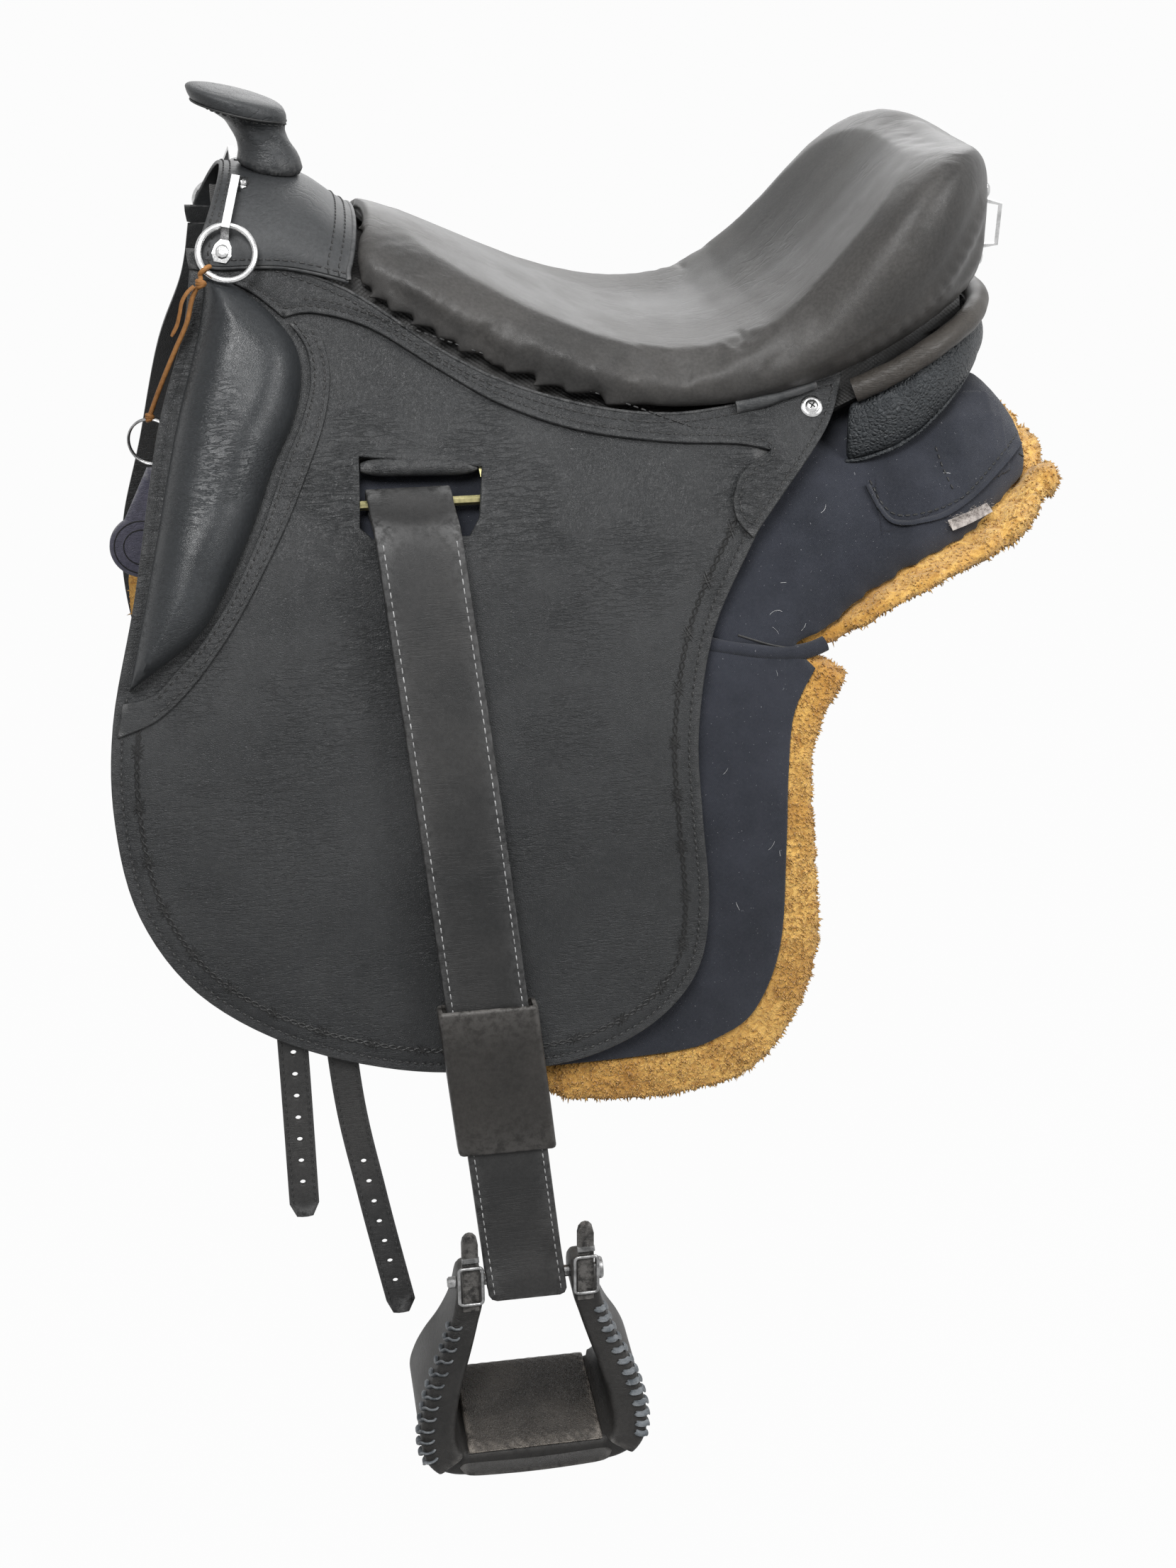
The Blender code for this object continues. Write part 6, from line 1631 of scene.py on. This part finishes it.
sleeve_rings = []
for share, lip in SLEEVE_LIPS:
    z = SLEEVE_TOP - SLEEVE_TALL * share
    swell = 0.0006 * math.sin(math.pi * share)
    sleeve_rings.append([strap_place(z, o, a) for a, o in rounded_box(
        SLEEVE_HALF - lip, STRAP_IN - 0.0033 + lip, STRAP_OUT + 0.0043 + swell - lip, 0.0038 - lip)])
for share in (1, 0.5, 0):
    z = SLEEVE_TOP - SLEEVE_TALL * share
    sleeve_rings.append([strap_place(z, o, a) for a, o in rounded_box(
        0.0313, STRAP_IN - 0.0009, STRAP_OUT + 0.0015, 0.0012)])
sleeve = piece("strap_sleeve_left", *loft(sleeve_rings, closed=True), SLEEVE_LEATHER, sharp=60)
both(sleeve, "sleeve_left", "brown_black_leather", "sleeve_left")

# %% [markdown]
# The stirrup is a wide leather-covered arch. Its section is a rounded rectangle that grows towards the
# foot, drawn along the arch from one tab to the other. A thong is laced over the outer edges of both
# branches, as covered stirrups are closed by hand.

# %% Stirrup
BOLT = strap_place(BOLT_HEIGHT, bolt_offset)
DROP, TAB_AT = 0.118, 0.0415
ARCH_IN = [(0.0320, 0.0140), (0.0325, -0.0080), (0.0372, -0.0260), (0.0430, -0.0450), (0.0500, -0.0660),
           (0.0553, -0.0860), (0.0578, -0.1030), (0.0562, -0.1130), (0.0500, -0.1180), (0.0380, -0.1180),
           (0.0, -0.1180)]
ARCH_OUT = mm((49, 14), (52, -6), (56.2, -24), (63, -43), (73, -64), (79.5, -83), (83.2, -104), (79.5, -123),
              (66, -135.5), (46, -140), (0, -140))


def depth_at(z):
    """How deep the stirrup is, from front to rear, at a height under the bolt."""
    if z < -0.124:
        return 0.096
    if z < -0.020:
        return 0.040 + (0.102 - 0.040) * (-0.020 - z) / 0.098
    return 0.040 - 0.010 * (z + 0.020) / 0.034


def both_branches(points, steps=5):
    half = smooth_line(points, steps)
    return half + [Vector((-p.x, p.y)) for p in reversed(half[:-1])]


arch_in, arch_out = both_branches(ARCH_IN), both_branches(ARCH_OUT)
arch_rings = []
last = len(arch_in) - 1
for k, (i, o) in enumerate(zip(arch_in, arch_out)):
    middle, reach = (i + o) / 2, (o - i) / 2
    half_deep = max(depth_at(middle.y) / 2, 0.001)
    end = {0: 0.55, 1: 0.85, 2: 0.97, last: 0.55, last - 1: 0.85, last - 2: 0.97}.get(k, 1.0)
    ring = []
    for a, d in rounded_box(reach.length * end, -half_deep * end, half_deep * end,
                            min(0.0052, reach.length * 0.5)):
        spot = middle + reach.normalized() * a
        ring.append(BOLT + Vector((spot.x, d, spot.y)))
    arch_rings.append(ring)
arch = piece("stirrup_cover_left", *loft(arch_rings), STIRRUP_LEATHER, sharp=65)
both(arch, "stirrup_left", "black_leather", "stirrup_left")


def front_of(z):
    return -depth_at(z) / 2


FRONT = front_of(0)
TAB_OUTLINE = [(-0.0058, -0.012), (-0.0058, 0.046), (-0.0048, 0.0505), (-0.0026, 0.0532), (0.0, 0.054),
               (0.0026, 0.0532), (0.0048, 0.0505), (0.0058, 0.046), (0.0058, -0.012)]
tabs, keepers = [], []
for way in (-1, 1):
    rings = [[BOLT + Vector((way * TAB_AT + x * s, FRONT + y, z * (1 if z < 0 else s ** 0.15)))
              for x, z in TAB_OUTLINE] for y, s in ((-0.0030, 0.86), (-0.0025, 1.0), (0.0020, 1.0), (0.0025, 0.86))]
    tabs.append(loft(rings))
    loop = [BOLT + Vector((way * TAB_AT + x, FRONT - 0.0046, z)) for x, z in rounded_box(
        0.0083, -0.0045, 0.0272, 0.0030, steps=4)]
    name = "fore" if way < 0 else "aft"
    pair("stirrup_loop_%s_left" % name, cord_mesh(loop, 0.0013, 10, closed=True), DULL_STEEL,
         "stirrup_buckle_%s_left" % name, body="stirrup_left", finish="chromed_steel")
    keepers.append(cord_mesh([BOLT + Vector((way * TAB_AT + x, FRONT - 0.0034, 0.0335))
                              for x in (-0.0062, -0.003, 0.0, 0.003, 0.0062)], 0.0022, 8, flat=0.4))
pair("stirrup_tabs_left", gathered(tabs), STIRRUP_LEATHER, body="stirrup_left", sharp=50)
pair("stirrup_keepers_left", gathered(keepers), STRAP_LEATHER, body="stirrup_left")


def on_arch(k, share, deep):
    """Place on the arch: share 0 at its inner edge, 1 at its outer edge, and how deep behind the bolt."""
    spot = arch_in[k].lerp(arch_out[k], share)
    return BOLT + Vector((spot.x, deep, spot.y))


LACE_WAY = ((0, 0.66, 0.0004), (0, 0.72, -0.0012), (0, 0.88, -0.0014), (0, 1.0, 0.0006), (1, 1.05, 0.0040),
            (1, 1.05, 0.0090), (1, 0.99, 0.0108))  # next place or not, share of the arch's width, depth
# small dark domes at the lace holes: painted shade inside each hole
HOLE_SHADE_PROFILE = [(0.0012, 0.0), (0.0012, 0.0003), (0.0004, 0.0004)]
laces, holes = [], []
for branch in (range(9, 35), range(last - 34, last - 8)):
    for k in branch[::2]:
        face = front_of((arch_in[k].y + arch_out[k].y) / 2)
        n = k + 1 if k < last / 2 else k - 1
        points = [on_arch(n if far else k, share, face + deep) for far, share, deep in LACE_WAY]
        laces.append(cord_mesh(smooth_line(points, 4), 0.0021, 8, flat=0.45))
        holes.append(turned(on_arch(k, 0.655, face - SUNK), Vector((0, -1, 0)), HOLE_SHADE_PROFILE, 10))
pair("stirrup_lacing_left", gathered(laces), THONG_LEATHER, body="stirrup_left", sharp=60)
# the dark domes are painted shade in the lace holes
pair("stirrup_lace_holes_left", gathered(holes), PRESSED_AND_SHADE_LEATHER, body="stirrup_left")
band = [BOLT + Vector((x, front_of(-0.130) - 0.0008, -0.1300 - 0.0012 * math.cos(x * 40)))
        for x in np.linspace(-0.056, 0.056, 34)]


def band_size(share):
    """Half-width of the band under the foot, rounded off at both ends."""
    return 0.0062 * max(1 - abs(2 * share - 1) ** 12, 0.0) ** 0.5 + 0.0002


pair("stirrup_band_left", cord_mesh(band, band_size, 14, flat=0.34), STIRRUP_LEATHER, body="stirrup_left")
tread_rings = []
for share in np.linspace(-1, 1, 25):
    ease = math.sqrt(max(1 - abs(share) ** 10, 0.0)) if abs(share) < 1 else 0.25
    y, high = 0.0478 * share, 0.0052 * ease
    ring = [(-0.049, 0.0), (0.049, 0.0), (0.0492, high * 0.45), (0.0478, high * 0.9)]
    ring += [(x, high * (1 - 0.10 * (x / 0.049) ** 2) + 0.0002 * math.sin(x * 700 + share * 40))
             for x in np.linspace(0.044, -0.044, 23)] + [(-0.0478, high * 0.9), (-0.0492, high * 0.45)]
    tread_rings.append([BOLT + Vector((x, y, -DROP + GAP + z)) for x, z in ring])
pair("stirrup_tread_cover_left", loft(tread_rings), TREAD_LEATHER, "stirrup_tread_left", body="stirrup_left",
     finish="brown_black_leather", sharp=60)
SHANK = [(0.0030, 0.0), (BOLT_RADIUS, 0.0012), (BOLT_RADIUS, 0.1100), (0.0040, 0.1105)]
HEAD = [(0.0080, 0.0), (0.0080, 0.0030), (0.0072, 0.0042), (0.0040, 0.0046)]
bolt_parts = [turned(BOLT + Vector((x, 0, 0)), Vector((1, 0, 0)), profile)
              for x, profile in ((-0.0565, SHANK), (0.0525, HEAD))]
pair("stirrup_bolt_round_left", gathered(bolt_parts), DULL_STEEL, "stirrup_bolt_left", body="stirrup_left",
     finish="chromed_steel")
print("stirrup:", len(arch.data.polygons), "faces and", len(laces), "thong laces")

# %% [markdown]
# Billets are the straps the girth buckles to. Each is cut like the flap, with round holes at an even
# spacing and a stitched edge, and hangs between the flap and the canvas behind it.

# %% Billets
FRONT_BILLET = mm((-249, -105), (-249, -300), (-247.5, -420), (-247, -530))
REAR_BILLET = mm((-220, -115), (-219, -300), (-212, -440), (-198.5, -530), (-182, -620))
BILLET_HALF, BILLET_THICK, BILLET_SEW, HOLE_STEP, HOLE_RADIUS = 0.0105, 0.0034, 0.0026, 0.0170, 0.0021


def circle(x, z, radius, count=14):
    return [Vector((x + radius * math.cos(a), z + radius * math.sin(a))) for a in round_angles(count)]


def billet(name, middle, layer):
    """Cut, punch and sew one girth strap on both sides, `layer` behind the flap."""
    path = smooth_line(middle, 12)
    top, end = path[0], path[-1]
    head = circle(top.x, top.y, BILLET_HALF, 24)[:13]
    tip = [Vector((end.x - BILLET_HALF * 0.55, end.y - 0.0105)), Vector((end.x, end.y - 0.0112)),
           Vector((end.x + BILLET_HALF * 0.55, end.y - 0.0105))]
    left = [Vector((p.x - BILLET_HALF, p.y)) for p in path]
    right = [Vector((p.x + BILLET_HALF, p.y)) for p in reversed(path)]
    loop = loop_of(head, left, tip, right, pitch=0.0035)
    punched = [circle(p.x, p.y, HOLE_RADIUS)
               for p in spaced([Vector((p.x, p.y, 0.0)) for p in reversed(path)], HOLE_STEP)[1:8]]
    strip = cut(name + "_strap_left", loop, -layer - BILLET_THICK, -layer, STRAP_LEATHER, holes=punched,
                cell=0.0065, edge=0.0009)
    both(strip, name + "_left", "black_leather", name + "_left")
    edges = [side_stitches([(p.x + way * (BILLET_HALF - BILLET_SEW), p.y) for p in path[2:]], -layer,
                           pitch=0.0052, length=0.0036) for way in (-1, 1)]
    pair(name + "_stitches_left", gathered(edges), BLACK_THREAD, body=name + "_left")


billet("front_billet", FRONT_BILLET, 0.0012)
billet("rear_billet", REAR_BILLET, 0.0055)
print("billets cut")

# %% [markdown]
# A chromed ring hangs in each front staple. The staples keep the shape of their solids and only get rounded
# edges, because a bent wire has no sharp ones.

# %% Rings and screws
DOWN = Vector((0, -0.5, -math.sqrt(0.75)))
RING_AT = Vector((-0.2543, -0.0866, 0.1085))
RING_WAY, RING_RADIUS, RING_WIRE = Vector((1, 0, 0)).cross(DOWN), 0.0185, 0.0022
pair("front_ring_round_left", ring_of(RING_AT, RING_WAY, RING_RADIUS, RING_WIRE, 56, 12), CHROME,
     "front_ring_left", body="ring_left", finish="chromed_steel")


def rounded_edges(obj, width, segments, degrees):
    """Join a solid's loose corners and round its edges."""
    obj.modifiers.new("weld", "WELD").merge_threshold = WELD
    edge = obj.modifiers.new("edge", "BEVEL")
    edge.width, edge.segments, edge.angle_limit = width, segments, math.radians(degrees)
    return edge


for name in ("front_staple", "rear_staple"):
    for near in ("left", "right"):
        rounded_edges(bpy.data.objects[name + "_" + near], 0.0005, 3, 25).harden_normals = True

# %% [markdown]
# The lace is a cord, and the same points give its tube and its path. It is wound on the ring,
# knotted at both ends, and carries a split ring and the fob.

# %% Lace, key ring and fob
LACE_HALF, LACE_STEP, KEY_RADIUS, FOB_RADIUS, FOB_HALF = 0.0016, 0.0016, 0.0155, 0.022, 0.00175
lace_top = RING_AT + (DOWN * 0.62 + Vector((-0.785, 0, 0))) * RING_RADIUS
knot_at = lace_top + Vector((-0.0005, 0, 0))
toward = (RING_AT - knot_at).normalized()
beside = DOWN.cross(Vector((1, 0, 0))).normalized()
WIND = RING_WIRE + LACE_HALF + 0.0006
lace_points = [knot_at + toward * (WIND * math.cos(a)) + beside * (WIND * math.sin(a))
               for a in (math.radians(10 + 38 * k) for k in range(6))]
LACE_FALL = ((0.0, 0.0), (0.010, -0.006), (0.027, -0.011), (0.045, -0.020), (0.070, -0.032), (0.0885, -0.040))
lace_points += [Vector((knot_at.x + dx - 0.003, knot_at.y - 0.0070, knot_at.z - 0.005 - drop))
                for drop, dx in LACE_FALL]


def length_of(path):
    return sum((b - a).length for a, b in zip(path, path[1:]))


lace_path = spaced(smooth_line(lace_points, 8), LACE_STEP)
for _ in range(3):
    eased = [(a + 2 * b + c) / 4 for a, b, c in zip(lace_path, lace_path[1:], lace_path[2:])]
    lace_path = lace_path[:1] + eased + lace_path[-1:]
lace = piece("lace_cord", *cord_mesh(lace_path, LACE_HALF, 10), LACE_LEATHER)
hang(lace, "ring_left", "tan_leather", "lace")
knots = []
for centre, size in ((knot_at + Vector((-0.003, -0.0074, -0.0065)), 0.0036),
                     (Vector(lace_path[-1]) + Vector((0, 0, -0.0008)), 0.0031)):
    for tilt in (0.35, -0.45, 0.0):
        way = Vector((tilt, 0.25, 1.0)).normalized()
        knots.append(ring_of(centre + Vector((0, 0, tilt * 0.003)), way, size * 0.62, size * 0.46, 18, 8))
knot = piece("lace_knots", *gathered(knots), LACE_LEATHER)
hang(knot, "ring_left", "tan_leather")
TAIL_FALL = ((0, 0, 0), (-0.0045, -0.0012, -0.0035), (-0.0085, -0.0018, -0.0095), (-0.0105, -0.0018, -0.0170),
             (-0.0130, -0.0016, -0.0250), (-0.0170, -0.0014, -0.0320))
tail_points = [knot_at + Vector((-0.0075, -0.0092, -0.0075)) + Vector(d) for d in TAIL_FALL]
tail_path = spaced(smooth_line(tail_points, 8), LACE_STEP)


def tail_size(share):
    """Half-width of the tail, cut to a point over its last tenth."""
    return 0.0014 * (1.0 if share < 0.9 else 1.0 - (share - 0.9) * 3)


tail = piece("lace_tail", *cord_mesh(tail_path, tail_size, 8, flat=0.7), LACE_LEATHER)
hang(tail, "ring_left", "tan_leather")
end = Vector((lace_top.x - 0.0435, lace_top.y - 0.0070, lace_top.z - 0.0935))
KEY_AT = end - Vector((0.0004, 0, KEY_RADIUS + 0.0010 + LACE_HALF * 0.4 + GAP))
key_way = Vector((0.25, 1, 0)).normalized()
split_ring = [ring_of(KEY_AT + key_way * d, key_way, KEY_RADIUS, 0.00085, 56, 8) for d in (-0.0008, 0.0008)]
hang(piece("key_ring_double", *gathered(split_ring), DULL_STEEL), "key_ring", "chromed_steel", "key_ring")
fob_top = KEY_AT - Vector((0, 0, KEY_RADIUS))
FOB_AT = fob_top + Vector((-0.012, 0, -0.058))


def fob_place(x, z, out):
    return Vector((x, fob_top.y - out, z))


arc_points = [Vector((FOB_AT.x + FOB_RADIUS * math.cos(a), FOB_AT.z + FOB_RADIUS * math.sin(a)))
              for a in (math.radians(118 + 304 * k / 40) for k in range(41))]
neck = [Vector((fob_top.x + way * 0.0045, fob_top.z - 0.0026)) for way in (1, -1)]
fob_loop = loop_of(neck, arc_points, pitch=0.0022)
fob = cut("leather_fob", fob_loop, -FOB_HALF, FOB_HALF, FOB_LEATHER, cell=0.003, edge=0.0008, shape=fob_place)
hang(fob, "fob", "brown_black_leather", "fob")
rings = [ring_of(Vector((FOB_AT.x, fob_top.y - 0.00172, FOB_AT.z)), Vector((0, 1, 0)), radius, 0.00045, 48, 6)
         for radius in (0.0188, 0.0125)]
hang(piece("fob_pressed_rings", *gathered(rings), PRESSED_AND_SHADE_LEATHER), "fob", "brown_black_leather")
print("lace", round(length_of(lace_path) * 1000), "mm, tail", round(length_of(tail_path) * 1000), "mm")

# %% [markdown]
# A few solids keep their own shape and only get a finish: the tree's laminate, the webbing, the brass bar and
# the steel staples. Rounded edges catch the light as real ones do.

# %% Finishes on the remaining solids
KEPT = {"tree": (TREE_FIBRE, "tree_laminate"), "ground_seat": (STRAP_LEATHER, "tree_laminate"),
        "billet_webbing": (CANVAS, "black_canvas"), "stirrup_bar": (BRASS, "dull_brass"),
        "front_staple": (CHROME, "chromed_steel"), "rear_staple": (CHROME, "chromed_steel")}
for name, (skin, finish) in KEPT.items():
    for ending in ("", "_left", "_right"):
        made = bpy.data.objects.get(name + ending)
        if made is None:
            continue
        made.data.materials.clear()
        made.data.materials.append(skin)
        if "staple" not in name:
            rounded_edges(made, 0.0006, 2, 30)
new_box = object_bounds()
for label, box in (("old box", cad_box), ("new box", new_box)):
    print(label, [[round(v, 3) for v in c] for c in box])
